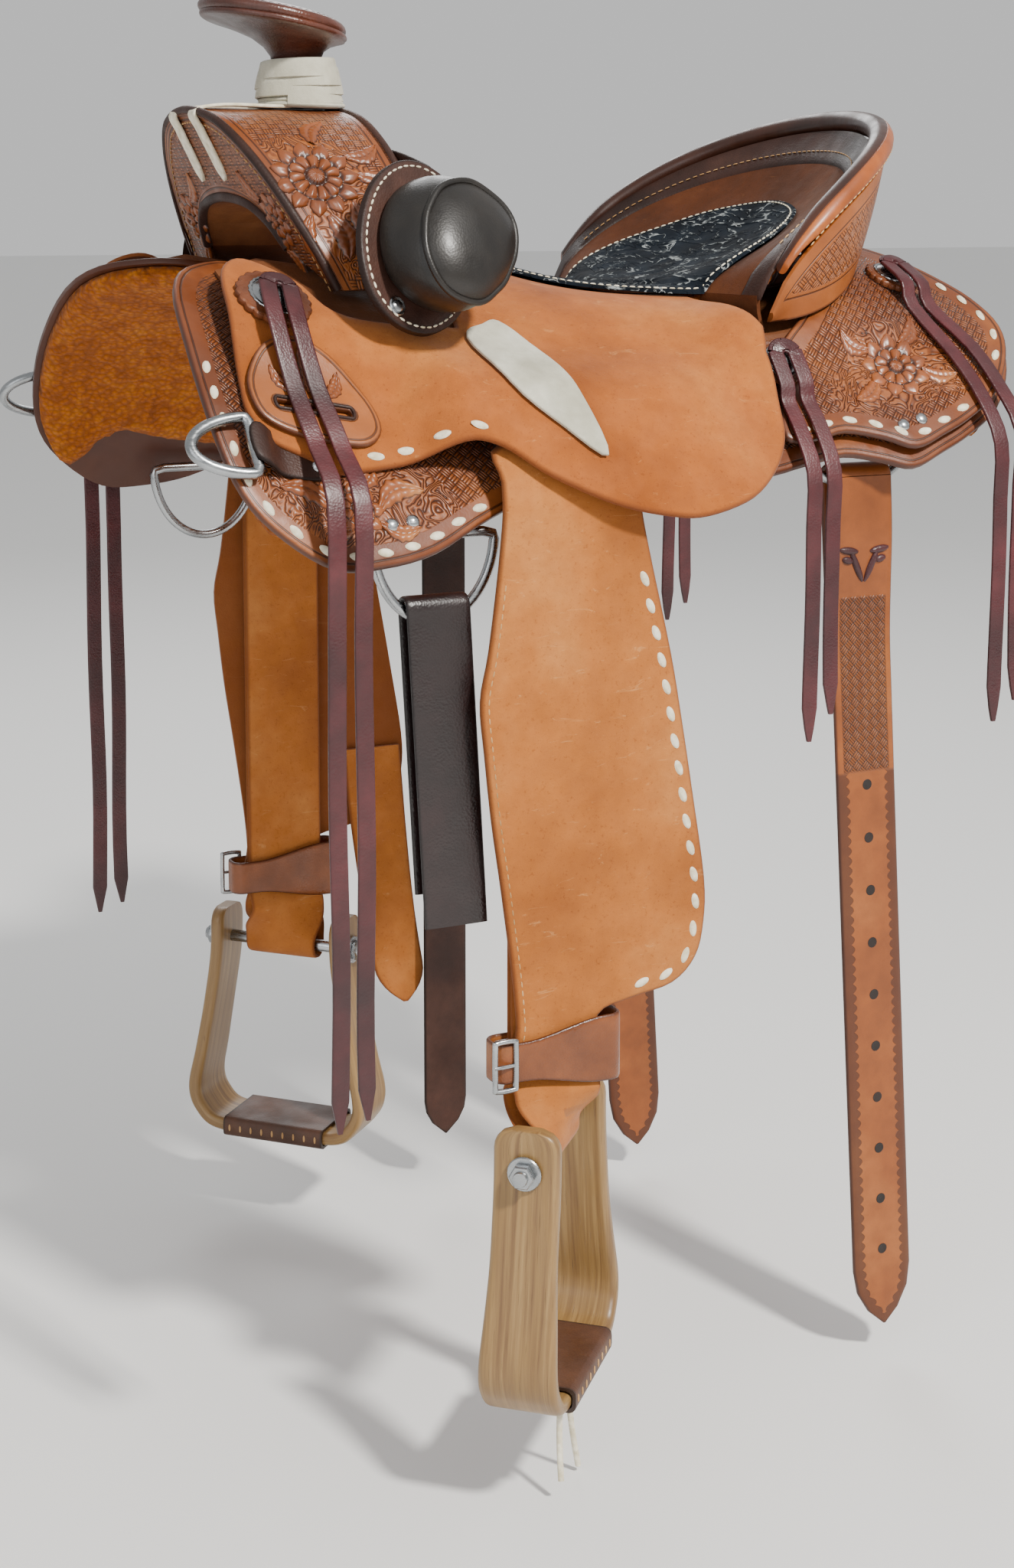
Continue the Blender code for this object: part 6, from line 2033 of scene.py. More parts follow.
def make_thong_bend(place, side_name, at, mats):
    """Knot of the thong where it passes through the concho."""
    down = at.to_3x3() @ Vector((0, 1, 0))
    way = 1 if down.z < 0 else -1
    line = [at @ Vector((math.cos(a) * 0.0066, -way * (0.0026 + 0.0044 * math.sin(a)), h))
            for a, h in ((math.pi, 0.0112), (math.pi * 0.75, 0.0120), (math.pi / 2, 0.0124),
                         (math.pi * 0.25, 0.0120), (0, 0.0112))]
    normal = at.to_3x3() @ Vector((0, 0, 1))
    line = curve_through(line, 4)
    count = len(line)
    strap(f"thong_knot_{place}_{side_name}", line,
          lambda i: (line[min(i + 1, count - 1)] - line[max(i - 1, 0)]).cross(normal),
          0.0080, 0.0022, mats["burgundy"], ROOT, slot="burgundy_thong")


def make_keepers(mats):
    """The latigo keepers, with their stamped leaves and bound slots."""
    for side_name, side in SIDES.items():
        x0, s0, length, width = KEEPER_SLOT
        slot = []
        for k in range(24):
            a = 2 * math.pi * k / 24
            slot.append((x0 + math.copysign(length / 2 - width / 2, math.cos(a))
                         + width / 2 * math.cos(a), s0 + width / 2 * math.sin(a)))
        laid(f"keeper_{side_name}", KEEPER, side, lambda x, s: seat_skin(x, s) + 0.0012, 0.0036,
             mats["keeper"], step=0.0038, holes=[slot], rounded=0.0014, slot="tooled_leather",
             replaces=f"latigo_keeper_{side_name}")

        def skin(a, b, h, side=side):
            x, s = -0.252 + a, 0.204 + b
            return on_barrel(x, side * s, seat_skin(x, s) + 0.0047 + h)
        leaves(f"keeper_leaves_{side_name}", skin,
               [((0.000, 0.014), (-0.002, -0.016), 0.012, 0.10),
                ((0.010, 0.016), (0.022, -0.004), 0.011, 0.12),
                ((-0.010, 0.016), (-0.024, -0.002), 0.011, -0.12)], mats)
        # raised ring round the slot
        ring = [on_barrel(x0 + (px - x0) * 1.06, side * (s0 + (ps - s0) * 1.75),
                          seat_skin(px, ps) + 0.0050) for px, ps in slot]
        tube(f"keeper_slot_ring_{side_name}", ring, 0.0012, mats["dark"], ROOT, closed=True,
             sides=8, slot="dark_leather")


def ring_line(centre, across, down, half, drop, corner=0.007, steps=32):
    """A D's middle line with rounded shoulders."""
    bow = [centre + across * half * math.cos(a) + down * drop * math.sin(a)
           for a in (math.pi * k / steps for k in range(steps + 1))]
    first, last = bow[0], bow[-1]
    bar = []
    for t in (0.10, 0.2, 0.3, 0.4, 0.5, 0.6, 0.7, 0.8, 0.9):
        bar.append(last.lerp(first, t))
    return bow[1:-1] + [last + (first - last) * 0.012 + down * corner * 0.28] + bar + \
        [first + (last - first) * 0.012 + down * corner * 0.28]


def make_rings(mats):
    """The front and rear rings, and the breast rings with their chapes."""
    for side_name, side in SIDES.items():
        for name, (x, bar, foot, half) in (("front", FRONT_RING), ("rear", REAR_RING)):
            hang = Hang(side, x, bar, foot, half)
            body = f"{side_name}_front_dee" if name == "front" else ROOT
            tube(f"{name}_ring_{side_name}", ring_line(hang.top, Vector((1, 0, 0)), hang.down,
                                                       half, hang.drop), RING_R, mats["steel"],
                 body, closed=True, sides=16, slot="steel", replaces=f"{name}_dee_{side_name}")
        at = barrel_frame(-0.300, side * 0.262, SKIRT_T + 0.0078)
        bar_top, bar_foot = at @ Vector((0, 0.018, 0)), at @ Vector((0, -0.018, 0))
        reach = at.to_3x3() @ Vector((-1, 0, 0))
        middle, axis = (bar_top + bar_foot) / 2, (bar_top - bar_foot) / 2
        tube(f"breast_ring_{side_name}", ring_line(middle, axis.normalized(), reach,
                                                   axis.length * 1.12, 0.040), 0.0038,
             mats["steel"], f"{side_name}_breast_dee", closed=True, sides=16, slot="steel",
             replaces=f"breast_dee_{side_name}")
        # the dark chape that holds the breast dee
        laid(f"breast_chape_{side_name}",
             ((-0.3020, 0.2525), (-0.3020, 0.2715), (-0.290, 0.276), (-0.262, 0.277),
              (-0.250, 0.270), (-0.250, 0.254), (-0.262, 0.247), (-0.290, 0.248)), side,
             lambda x, s: SKIRT_T + 0.0004 + 0.0120 * smooth(x, -0.280, -0.297), 0.0030,
             mats["dark"], step=0.004, rounded=0.0012, slot="dark_leather")


# ------------------------------------------------------------------ bucking rolls
PAD_WIDTH, PAD_HEIGHT = 0.86, 0.76   # the pad, against its plate


def pad_point(a, b, part, rise, drift):
    """A place on the pad: its crown leans down and back, with a corner and a flatter side."""
    angle = math.degrees(math.atan2(b, a))
    shaped = smooth(rise, 0.008, 0.040)
    flat = math.exp(-((angle + 42) / 36) ** 2)
    corner = math.exp(-((angle - 38) / 24) ** 2)
    part *= 1 + shaped * (0.09 * corner - 0.11 * flat)
    pucker = 1 + 0.008 * math.sin(math.radians(angle) * 9) * smooth(rise, 0.03, 0.044) * \
        smooth(rise, 0.052, 0.045)
    return (a * part * pucker * PAD_WIDTH + 0.003 + drift * 0.5,
            b * part * pucker * PAD_HEIGHT + 0.001 - 0.24 * max(0.0, rise - 0.006), rise)


def make_rolls(mats):
    """The bucking rolls, their plates and the link behind the fork."""
    for side_name, side in SIDES.items():
        centre, across, up, out = plate_frame(side)
        ring = [tuple(p) for p in curve_through(PLATE_OUTLINE, 6, closed=True)]

        def at(a, b, h, centre=centre, across=across, up=up, out=out):
            return centre + across * a + up * b + out * h
        sheet(f"roll_plate_{side_name}", ring, lambda a, b, d, at=at: at(a, b, 0.0052 + d),
              lambda a, b, at=at: at(a, b, 0.0), mats["dark"], ROOT, smooth_outline=False,
              step=0.005, rounded=0.0016, slot="dark_leather")
        inset = [tuple(p) for p in offset_ring(ring, 0.0046)]
        line = [at(a, b, 0.0054) for a, b in inset + inset[:1]]
        seam(f"roll_plate_stitches_{side_name}", line, lambda p, out=out: out, mats["cream"],
             ROOT, 0.0060, 0.0044, 0.0015, 0.0008)
        # the pad: a crowned form with a piped seam where its crown meets its wall
        profile = [(0.0058, 0.84, 0.0), (0.0068, 0.90, 0.0), (0.0100, 0.955, 0.001),
                   (0.016, 1.0, 0.003), (0.024, 1.022, 0.005), (0.032, 1.018, 0.0075),
                   (0.0395, 0.975, 0.009), (0.0440, 0.930, 0.010), (0.0455, 0.905, 0.0103),
                   (0.0485, 0.860, 0.011), (0.0530, 0.75, 0.0115), (0.0566, 0.60, 0.012),
                   (0.0590, 0.42, 0.012), (0.0602, 0.22, 0.012), (0.0604, 0.04, 0.012)]
        rows = []
        for rise, part, drift in profile:
            row = []
            for a, b in ring:
                row.append(at(*pad_point(a, b, part, rise, drift)))
            rows.append(row)
        points, faces = grid_mesh(rows, close_columns=True, caps=True)
        build(f"roll_cushion_{side_name}", points, faces, mats["black"], ROOT,
              slot="black_leather", replaces=f"roll_pad_{side_name}", sharp=None)
        for k, level in enumerate((8,)):
            rise, part, drift = profile[level]
            line = [at(*pad_point(a, b, part * 1.008, rise + 0.0008, drift)) for a, b in ring]
            tube(f"roll_piping_{side_name}_{k}", line, 0.0024, mats["black"], ROOT, closed=True,
                 sides=8, slot="black_leather")
        # the screw and cup washer beside the pad, on the plate's lower lobe
        spot = at(-0.0150, -0.0495, 0.0050)
        seat = Matrix((across, up, out)).transposed().to_4x4()
        seat.translation = spot
        lathe(f"roll_washer_{side_name}", ((0.0005, 0.0), (0.0060, 0.0), (0.0066, 0.0008),
                                           (0.0060, 0.0016), (0.0042, 0.0010), (0.0040, 0.0018),
                                           (0.0026, 0.0027), (0.0004, 0.0030)), seat,
              mats["steel"], ROOT, steps=28, slot="steel")
        laid(f"roll_strap_{side_name}",
             ((-0.127, 0.164), (-0.110, 0.150), (-0.096, 0.146), (-0.080, 0.172),
              (-0.069, 0.220), (-0.065, 0.262), (-0.091, 0.243), (-0.118, 0.212)),
             side, lambda x, s: seat_skin(x, s) + 0.0022, 0.0024, mats["mulehide"], step=0.004,
             rounded=0.0012, slot="mulehide", replaces=f"roll_tail_{side_name}")
    centre, across, up, out = plate_frame(1)
    end = centre + up * 0.052 + across * 0.008 + out * 0.0010
    back = fork_back(0.2) + 0.003 + GAP + 0.0030
    half = [end, end + Vector((0.007, -0.010, 0.004)), Vector((back, 0.088, 0.199)),
            Vector((back, 0.055, 0.203)), Vector((back, 0.020, 0.205))]
    line = [Vector((p.x, -p.y, p.z)) for p in half] + list(reversed(half))
    strap("roll_link", curve_through(line, 8), lambda i: (-0.2, 0, 1), 0.018, 0.003,
          mats["dark"], ROOT, slot="dark_leather", replaces="roll_plates")


# ------------------------------------------------------------------ hanging straps
def slide_lay(thing, by):
    """Moves a strap's lay along its run, so that it counts from another place."""
    layer = thing.data.uv_layers["lay"].data
    flat = np.zeros(len(layer) * 2, dtype=np.float32)
    layer.foreach_get("uv", flat)
    flat[0::2] -= by
    layer.foreach_set("uv", flat)


def make_billets(mats):
    """The flank billets, with their holes and lacing."""
    for side_name, side in SIDES.items():
        hang = Hang(side, *REAR_RING)
        path = hanging_loop(hang, 0.040, BILLET_W / 2, -0.668, -0.115, 0.0046, drawn_in=0.0075)
        path.reverse()
        path = curve_through(path, 5)
        body = f"{side_name}_flank_billet"
        billet = strap(f"billet_{side_name}", path, lambda i: (1, 0, 0), BILLET_W - 0.0004,
                       0.0046, mats["billet"], body, tip=pointed(0.042), slot="tooled_leather",
                       replaces=f"flank_billet_{side_name}")
        top = max(range(len(path)), key=lambda i: path[i].z)
        slide_lay(billet, run_of(path)[top])
        front = path[top:]
        run = run_of(front)

        def spot(d, u, lift=0.0, front=front, run=run, side=side):
            """A place on the front leaf: d down from the ring, u across it."""
            i = max(j for j in range(len(run) - 1) if run[j] <= d)
            t = (d - run[i]) / (run[i + 1] - run[i])
            p = front[i].lerp(front[i + 1], t)
            return p + Vector((u, side * (0.0023 + lift), 0))
        # V lacing in dark red thong
        pieces = []
        for d, outer, inner, down in ((0.064, 0.0200, 0.0060, 0.002),
                                      (0.066, 0.0110, 0.0015, 0.021),
                                      (0.071, 0.0180, 0.0100, 0.002)):
            for sign in (-1, 1):
                a, b = spot(d, sign * outer, 0.0002), spot(d + down, sign * inner, 0.0002)
                along = (b - a).normalized()
                out = Vector((0, side, 0))
                pieces.append(lozenge((a + b) / 2, along, out.cross(along), out,
                                      (b - a).length * 1.15, 0.0056, 0.0020))
        merged(f"billet_lacing_{side_name}", pieces, mats["burgundy"], body,
               slot="burgundy_thong")
        # punched holes, each a dark eyelet ring and a dished bottom
        pieces = []
        length = run[-1]
        for k in range(10):
            centre = spot(0.240 + k * (length - 0.300) / 9, 0.0)
            # punched holes, each a dark eyelet ring and a dished bottom: the ring is the dark cut
            # edge, and the dark disc is painted shade standing in for the open hole in the whole
            # strap
            points, faces = [], []
            for r, h in ((0.0040, 0.0001), (0.0034, 0.0004), (0.0028, 0.0002), (0.0022, 0.00015),
                         (0.0001, 0.00012)):
                for j in range(14):
                    a = 2 * math.pi * j / 14
                    points.append(tuple(centre + Vector((r * math.cos(a), side * h,
                                                         r * math.sin(a)))))
            for i in range(4):
                for j in range(14):
                    m = (j + 1) % 14
                    faces.append((i * 14 + j, i * 14 + m, i * 14 + 14 + m, i * 14 + 14 + j))
            pieces.append((points, faces))
        merged(f"billet_holes_{side_name}", pieces, mats["hole"], body, slot="dark_leather")
    hang = Hang(-1, *FRONT_RING)
    path = curve_through(hanging_loop(hang, 0.012, 0.0225, -0.296, -0.276, 0.0038), 4)
    strap("latigo_strap", path, lambda i: (1, 0, 0), 0.045, 0.0030, mats["latigo"], "latigo",
          slot="latigo_leather", replaces="latigo")
    x, y, top, tip = OFF_BILLET
    line = [Vector((x, y, mix(top, tip, k / 60))) for k in range(61)]
    strap("off_billet_strap", line, lambda i: (1, 0, 0), 0.040, 0.004, mats["dark"],
          "off_billet", tip=pointed(0.03), slot="dark_leather", replaces="off_billet")
    # dark discs for the holes: painted shade standing in for openings in the strap, with a dark
    # cut edge round each
    pieces = []
    for k in range(9):
        centre = Vector((x, y + 0.0020, tip + 0.055 + k * 0.03175))
        points, faces = [], []
        for r, h in ((0.0038, 0.0001), (0.0032, 0.0004), (0.0026, 0.0002), (0.0001, 0.00012)):
            for j in range(14):
                a = 2 * math.pi * j / 14
                points.append(tuple(centre + Vector((r * math.cos(a), h, r * math.sin(a)))))
        for i in range(3):
            for j in range(14):
                m = (j + 1) % 14
                faces.append((i * 14 + j, i * 14 + m, i * 14 + 14 + m, i * 14 + 14 + j))
        pieces.append((points, faces))
    merged("off_billet_holes", pieces, mats["hole"], "off_billet", slot="dark_leather")


# ------------------------------------------------------------------ fenders and stirrups
FENDER_TOP = ((-0.042, -0.005), (-0.050, 0.018), (-0.134, 0.018), (-0.138, -0.005))


def drawn_in(z):
    """How far the leathers lean in towards the tree above the hinge, under the jockey."""
    return -8.0 * max(0.0, z + 0.03) ** 2


def hung(side_name, side):
    """The saddle's and the fender's body names, with a point on the leather's line under the
    jockey and one on the fender below it.
    """
    y = side * LEATHER_Y
    return ("saddle", f"{side_name}_fender", (STRAP_X, y, 0.020), (STRAP_X, y, -0.045))


STRAP_X = -0.102


def make_fenders(mats):
    """The fenders and the doubled stirrup leathers."""
    for side_name, side in SIDES.items():
        body = f"{side_name}_fender"
        shift = HANG_SHIFT[side]
        hanging(f"fender_leather_{side_name}", FENDER + FENDER_TOP, side, FENDER_Y, FENDER_T,
                mats["fender"], body, shift=shift, step=0.0065, rounded=0.0020,
                bow=lambda x, z: drawn_in(z), blend=hung(side_name, side),
                slot="rough_out_leather", replaces=f"fender_{side_name}")
        # cream buck-stitches along its right and bottom edge
        line = border_path(FENDER, 0.0085, 12, 20)
        stitch_row(f"fender_lacing_{side_name}", line,
                   lambda x, z, side=side, shift=shift: Vector(
                       (x + shift, side * (FENDER_Y + FENDER_T / 2 - 0.0002), z)),
                   lambda x, z, side=side: Vector((0, side, 0)), mats["cream"], body,
                   0.0190, 0.0115, 0.0058, 0.0016, slant=0.22, slot="mulehide")
        line = border_path(FENDER, 0.0050, 1, 9)
        stitch_row(f"fender_seam_{side_name}", line,
                   lambda x, z, side=side, shift=shift: Vector(
                       (x + shift, side * (FENDER_Y + FENDER_T / 2 - 0.0002), z)),
                   lambda x, z, side=side: Vector((0, side, 0)), mats["tan_thread"], body,
                   0.0062, 0.0044, 0.0013, 0.0006, slot="rough_out_leather")
        make_leather(side_name, side, mats)


def make_leather(side_name, side, mats):
    """The doubled stirrup leather, twisted to the stirrup's bolt."""
    body = f"{side_name}_fender"
    centre = Vector((STIRRUP_X + HANG_SHIFT[side], side * LEATHER_Y, 0))

    def at(z, offset):
        w = leather_width(side, z)
        n = Vector((-w.y, w.x, 0)) * side
        return centre + n * offset + Vector((0, side * drawn_in(z), z))

    def spread(z):
        return mix(0.0026, 0.0092, smooth(z, -0.402, -0.416))
    down = [mix(0.015, -0.034, k / 12) for k in range(12)]
    down += [mix(-0.034, -0.399, k / 20) for k in range(20)]
    down += [mix(-0.399, BOLT_Z + 0.002, k / 48) for k in range(49)]
    front = [at(z, spread(z)) for z in down]
    radius = spread(BOLT_Z)
    turn = [at(BOLT_Z, 0) + (at(BOLT_Z, radius) - at(BOLT_Z, 0)) * math.cos(a)
            - Vector((0, 0, radius)) * math.sin(a) for a in (math.pi * k / 12 for k in range(13))]
    back = [at(z, -spread(z)) for z in reversed(down[2:])]
    path = front + turn + back
    heights = [p.z for p in path]
    rows, lay, edge = [], [], []
    run = run_of(path)
    count = len(path)
    for i, p in enumerate(path):
        along = (path[min(i + 1, count - 1)] - path[max(i - 1, 0)]).normalized()
        w = leather_width(side, heights[i])
        n = w.cross(along).normalized()
        row = []
        for u, v in STRAP_SECTION:
            row.append(p + w * u * LEATHER_W / 2 + n * v * LEATHER_T / 2)
            lay.append((run[i], u * LEATHER_W / 2))
            edge.append(LEATHER_W / 2 * (1 - abs(u)))
        rows.append(row)
    points, faces = grid_mesh(rows, close_columns=True, caps=True)
    build(f"stirrup_strap_{side_name}", points, faces, mats["fender"], body, lay=lay, edge=edge,
          blend=hung(side_name, side), slot="rough_out_leather",
          replaces=f"stirrup_leather_{side_name}")


def make_hobbles(mats):
    """The hobble straps and their buckles."""
    for side_name, side in SIDES.items():
        body = f"{side_name}_fender"
        x1, x2 = STIRRUP_X + HANG_SHIFT[side] - 0.0460, STIRRUP_X + HANG_SHIFT[side] + 0.0460
        y1, y2 = LEATHER_Y - 0.0085, FENDER_Y + 0.0050
        r = 0.008
        loop = []
        for cx, cy, first in ((x2 - r, y2 - r, 0), (x1 + r, y2 - r, 90), (x1 + r, y1 + r, 180),
                              (x2 - r, y1 + r, 270)):
            loop += [(cx + r * math.cos(math.radians(first + k * 15)),
                      cy + r * math.sin(math.radians(first + k * 15))) for k in range(7)]
        path = []
        for (ax, ay), (bx, by) in zip(loop, loop[1:] + loop[:1]):
            parts = max(1, round(math.hypot(bx - ax, by - ay) / 0.005))
            path += [Vector((mix(ax, bx, k / parts), side * mix(ay, by, k / parts), -0.3880))
                     for k in range(parts)]
        whole = run_of(path)[-1]

        def hump(d, whole=whole):
            """The strap is widest at the leather's rear edge, where the run starts."""
            return mix(0.046, 0.027, smooth(min(d, whole - d), 0.016, 0.078))
        strap(f"hobble_{side_name}", path, lambda i: (0, 0, 1), hump, 0.0030, mats["hobble"],
              body, closed=True, slot="tooled_leather", replaces=f"hobble_strap_{side_name}")
        # buckle at the front edge, with its tongue and the strap's pointed end
        y = side * (y2 + 0.0026)
        x0 = x1 + 0.004
        ring = [Vector((x0 + sx * 0.0075, y, -0.388 + sz * 0.0165)) for sx, sz in
                ((-1, -0.8), (-0.8, -1), (0.8, -1), (1, -0.8), (1, 0.8), (0.8, 1), (-0.8, 1),
                 (-1, 0.8))]
        tube(f"hobble_buckle_{side_name}", curve_through(ring, 4, closed=True), 0.0019,
             mats["steel"], body, closed=True, sides=12, slot="steel")
        tube(f"hobble_tongue_{side_name}",
             [Vector((x0 + 0.0075, y, -0.388)), Vector((x0, y + side * 0.0012, -0.388)),
              Vector((x0 - 0.0085, y + side * 0.0008, -0.388))], 0.0014, mats["steel"], body,
             sides=10, slot="steel")
    make_tongue(mats)


def make_tongue(mats):
    """The off leather's free end, which hangs inside the off fender below its edge."""
    line = curve_through([Vector((-0.026, 0.2445, -0.290)), Vector((-0.020, 0.2442, -0.360)),
                          Vector((-0.010, 0.2440, -0.440)), Vector((0.004, 0.2438, -0.520))], 12)
    strap("leather_tongue_off", line, lambda i: (1, 0, 0),
          lambda d: mix(0.052, 0.046, smooth(d, 0.02, 0.20)), 0.0038, mats["fender"],
          "off_fender", tip=pointed(0.034, 0.10), slot="rough_out_leather")


def make_stirrups(mats):
    """The bent wooden stirrups with their treads, bolts, nuts and washers."""
    line = [tuple(p) for p in curve_through([(u, z, 0) for u, z in stirrup_path()], 3)]
    line = [(p[0], p[1]) for p in line]
    for side_name, side in SIDES.items():
        body = f"{side_name}_stirrup"
        axis = bolt_axis(side)
        aside = Vector((-axis.y, axis.x, 0))
        centre = Vector((STIRRUP_X + HANG_SHIFT[side], side * LEATHER_Y, 0))
        rows, lay, edge = [], [], []
        run = run_of([Vector((u, z, 0)) for u, z in line])
        section = ((1, 0.25), (0.985, 0.55), (0.93, 0.82), (0.84, 0.97), (0.7, 1.0), (0.3, 1.0),
                   (-0.3, 1.0), (-0.7, 1.0), (-0.84, 0.97), (-0.93, 0.82), (-0.985, 0.55),
                   (-1, 0.25), (-1, -0.25), (-0.985, -0.55), (-0.93, -0.82), (-0.84, -0.97),
                   (-0.7, -1.0), (-0.3, -1.0), (0.3, -1.0), (0.7, -1.0), (0.84, -0.97),
                   (0.93, -0.82), (0.985, -0.55), (1, -0.25))
        ends = run[-1]
        for i, (u, z) in enumerate(line):
            a, b = line[max(i - 1, 0)], line[min(i + 1, len(line) - 1)]
            along = Vector((b[0] - a[0], b[1] - a[1])).normalized()
            nu, nz = -along.y, along.x
            half = mix(0.0225, 0.0270, smooth(z, -0.50, -0.60))
            close = min(run[i], ends - run[i])
            round_top = min(1.0, math.sqrt(max(0.0, 1 - (1 - min(1, close / 0.013)) ** 2)) * 0.55
                            + 0.45)
            t = 0.0055
            for w, e in section:
                lay.append((run[i], w * half + 0.2 * (e < 0)))
                edge.append(0.02)
            rows.append([centre + axis * (u + nu * e * t) + Vector((0, 0, z + nz * e * t))
                         + aside * w * half * round_top for w, e in section])
        points, faces = grid_mesh(rows, close_columns=True, caps=True)
        build(f"stirrup_wood_{side_name}", points, faces, mats["wood"], body, lay=lay,
              slot="stirrup_wood", replaces=f"stirrup_{side_name}", sharp=40)
        turn = Matrix((aside, Vector((0, 0, 1)), axis)).transposed().to_4x4()
        turn.translation = centre + Vector((0, 0, BOLT_Z))
        end = STIRRUP_TOP_HALF + 0.0068
        half_r = 0.0086
        lathe(f"bolt_shaft_{side_name}", ((0.0004, -end - 0.012), (0.0046, -end - 0.012),
              (0.005, -end - 0.0112), (0.005, end + 0.0112), (0.0046, end + 0.012),
              (0.0004, end + 0.012)), turn, mats["steel"], body, steps=20, slot="steel",
              replaces=f"stirrup_bolt_{side_name}")
        for k, way in ((0, -1), (1, 1)):
            # lock nut: six flats with its corners turned off
            shape = []
            for r, h in ((0.0050, 0.0030), (half_r * 0.93, 0.0030), (half_r, 0.0038),
                         (half_r, 0.0082), (half_r * 0.90, 0.0092), (0.0050, 0.0094)):
                shape.append((r, way * (end + h)))

            def hexed(a, r):
                flat = math.cos(math.pi / 6) / math.cos((a % (math.pi / 3)) - math.pi / 6)
                return min(1.0, flat) if r > 0.006 else 1.0
            lathe(f"bolt_nut_{side_name}_{k}", shape, turn, mats["steel"], body, steps=48,
                  wave=hexed, slot="steel")
            lathe(f"bolt_washer_{side_name}_{k}",
                  ((0.0050, way * (end + 0.0030)), (0.0110, way * (end + 0.0028)),
                   (0.0116, way * (end + 0.0020)), (0.0116, way * (end + 0.0006)),
                   (0.0108, way * (end - 0.0001)), (0.0050, way * (end - 0.0001))),
                  turn, mats["steel"], body, steps=32, slot="steel")
        # the leather tread, wrapped round the foot and laced underneath
        rows, lay, edge = [], [], []
        for k in range(25):
            u = mix(-0.046, 0.046, k / 24)
            for w, e in TREAD_SECTION:
                lay.append((u, w * 0.0305 + 0.1 * e))
                edge.append(min(k, 24 - k) * 0.0038)
            rows.append([centre + axis * u + aside * w * 0.0305
                         + Vector((0, 0, TREAD_Z + e * 0.0085)) for w, e in TREAD_SECTION])
        inner = []
        for k in range(25):
            u = mix(-0.046, 0.046, k / 24)
            inner.append([centre + axis * u + aside * w * 0.0280
                          + Vector((0, 0, TREAD_Z + e * 0.0064)) for w, e in TREAD_SECTION])
        width = len(TREAD_SECTION)
        a_points, a_faces = grid_mesh(rows, close_columns=True)
        b_points, b_faces = grid_mesh(inner, close_columns=True)
        shift = len(a_points)
        faces = a_faces + [tuple(reversed([i + shift for i in f])) for f in b_faces]
        for row in (0, 24):
            for j in range(width):
                a, b = row * width + j, row * width + (j + 1) % width
                faces.append((a, b, b + shift, a + shift))
        build(f"tread_{side_name}", a_points + b_points, faces, mats["tread"], body,
              lay=lay * 2, edge=edge * 2, slot="dark_leather",
              replaces=f"stirrup_tread_{side_name}")
        stitches = []
        for sign in (-1, 1):
            for k in range(9):
                spot = centre + axis * mix(-0.040, 0.040, k / 8) + aside * sign * 0.0302 \
                    + Vector((0, 0, TREAD_Z))
                stitches.append(lozenge(spot, Vector((0, 0, 1)), axis, aside * sign, 0.0062,
                                        0.0022, 0.0010))
        merged(f"tread_lacing_{side_name}", stitches, mats["tan_thread"], body,
               slot="dark_leather")


TREAD_SECTION = ((1, -0.3), (0.985, -0.65), (0.93, -0.88), (0.85, -1), (0.4, -1), (-0.4, -1),
                 (-0.85, -1), (-0.93, -0.88), (-0.985, -0.65), (-1, -0.3), (-1, 0.3),
                 (-0.985, 0.65), (-0.93, 0.88), (-0.85, 1), (-0.4, 1), (0.4, 1), (0.85, 1),
                 (0.93, 0.88), (0.985, 0.65), (1, 0.3))


# ------------------------------------------------------------------ buck-stitches and tacks
def make_lacing(mats):
    for side_name, side in SIDES.items():
        def normal(x, s, side=side):
            return barrel_normal(side * s)

        def seat_face(x, s, side=side):
            return on_barrel(x, side * s, seat_skin(x, s) + 0.0002)

        def housing_face(x, s, side=side):
            return on_barrel(x, side * s, housing_height(x, s) + HOUSING_T + 0.0001)

        def skirt_face(x, s, side=side):
            return on_barrel(x, side * s, SKIRT_T + 0.0001)
        near = [tuple(p) for p in curve_through(SEAT, 5)]
        # the front jockey's lower edge
        path = [p for p in near if -0.250 < p[0] < -0.140 and p[1] > 0.24]
        path = [(x, s - 0.0085) for x, s in path]
        stitch_row(f"jockey_lacing_{side_name}", path, seat_face, normal, mats["cream"], ROOT,
                   0.0225, 0.0118, 0.0060, 0.0016, slant=0.20, slot="mulehide")
        path = border_path(HOUSING, 0.0090, 2, 13)
        stitch_row(f"housing_lacing_{side_name}", path, housing_face, normal, mats["cream"],
                   ROOT, 0.0200, 0.0108, 0.0056, 0.0015, slant=0.20, slot="mulehide")
        path = border_path(SKIRT, 0.0088, 3, 10)
        stitch_row(f"skirt_lacing_{side_name}", path, skirt_face, normal, mats["cream"], ROOT,
                   0.0205, 0.0108, 0.0056, 0.0015, slant=0.20, slot="mulehide")
        # domed tacks
        for name, face, spots in (
                ("skirt", skirt_face, ((-0.214, 0.300), (-0.199, 0.296))),
                ("housing", housing_face, ((0.190, 0.244), (0.206, 0.242))),
                ("chape", lambda x, s, side=side: on_barrel(x, side * s, SKIRT_T + 0.0034),
                 ((-0.257, 0.2575), (-0.257, 0.2665)))):
            for k, (x, s) in enumerate(spots):
                at = barrel_frame(x, side * s, 0)
                at.translation = face(x, s)
                lathe(f"tack_{name}_{side_name}_{k}",
                      ((0.0004, -0.0004), (0.0046, -0.0004), (0.0047, 0.0003), (0.0041, 0.0013),
                       (0.0026, 0.0022), (0.0003, 0.0026)), at, mats["steel"], ROOT, steps=24,
                      slot="steel")


def cad_finishes(mats):
    """Materials for the CAD pieces that stay: the tree, under the leather."""
    for node in ("ground_seat", "cantle_board", "tree_fork", "tree_bar_near", "tree_bar_off"):
        for place in frame["nodes"][node].material_slots:
            place.material = mats["tree"]


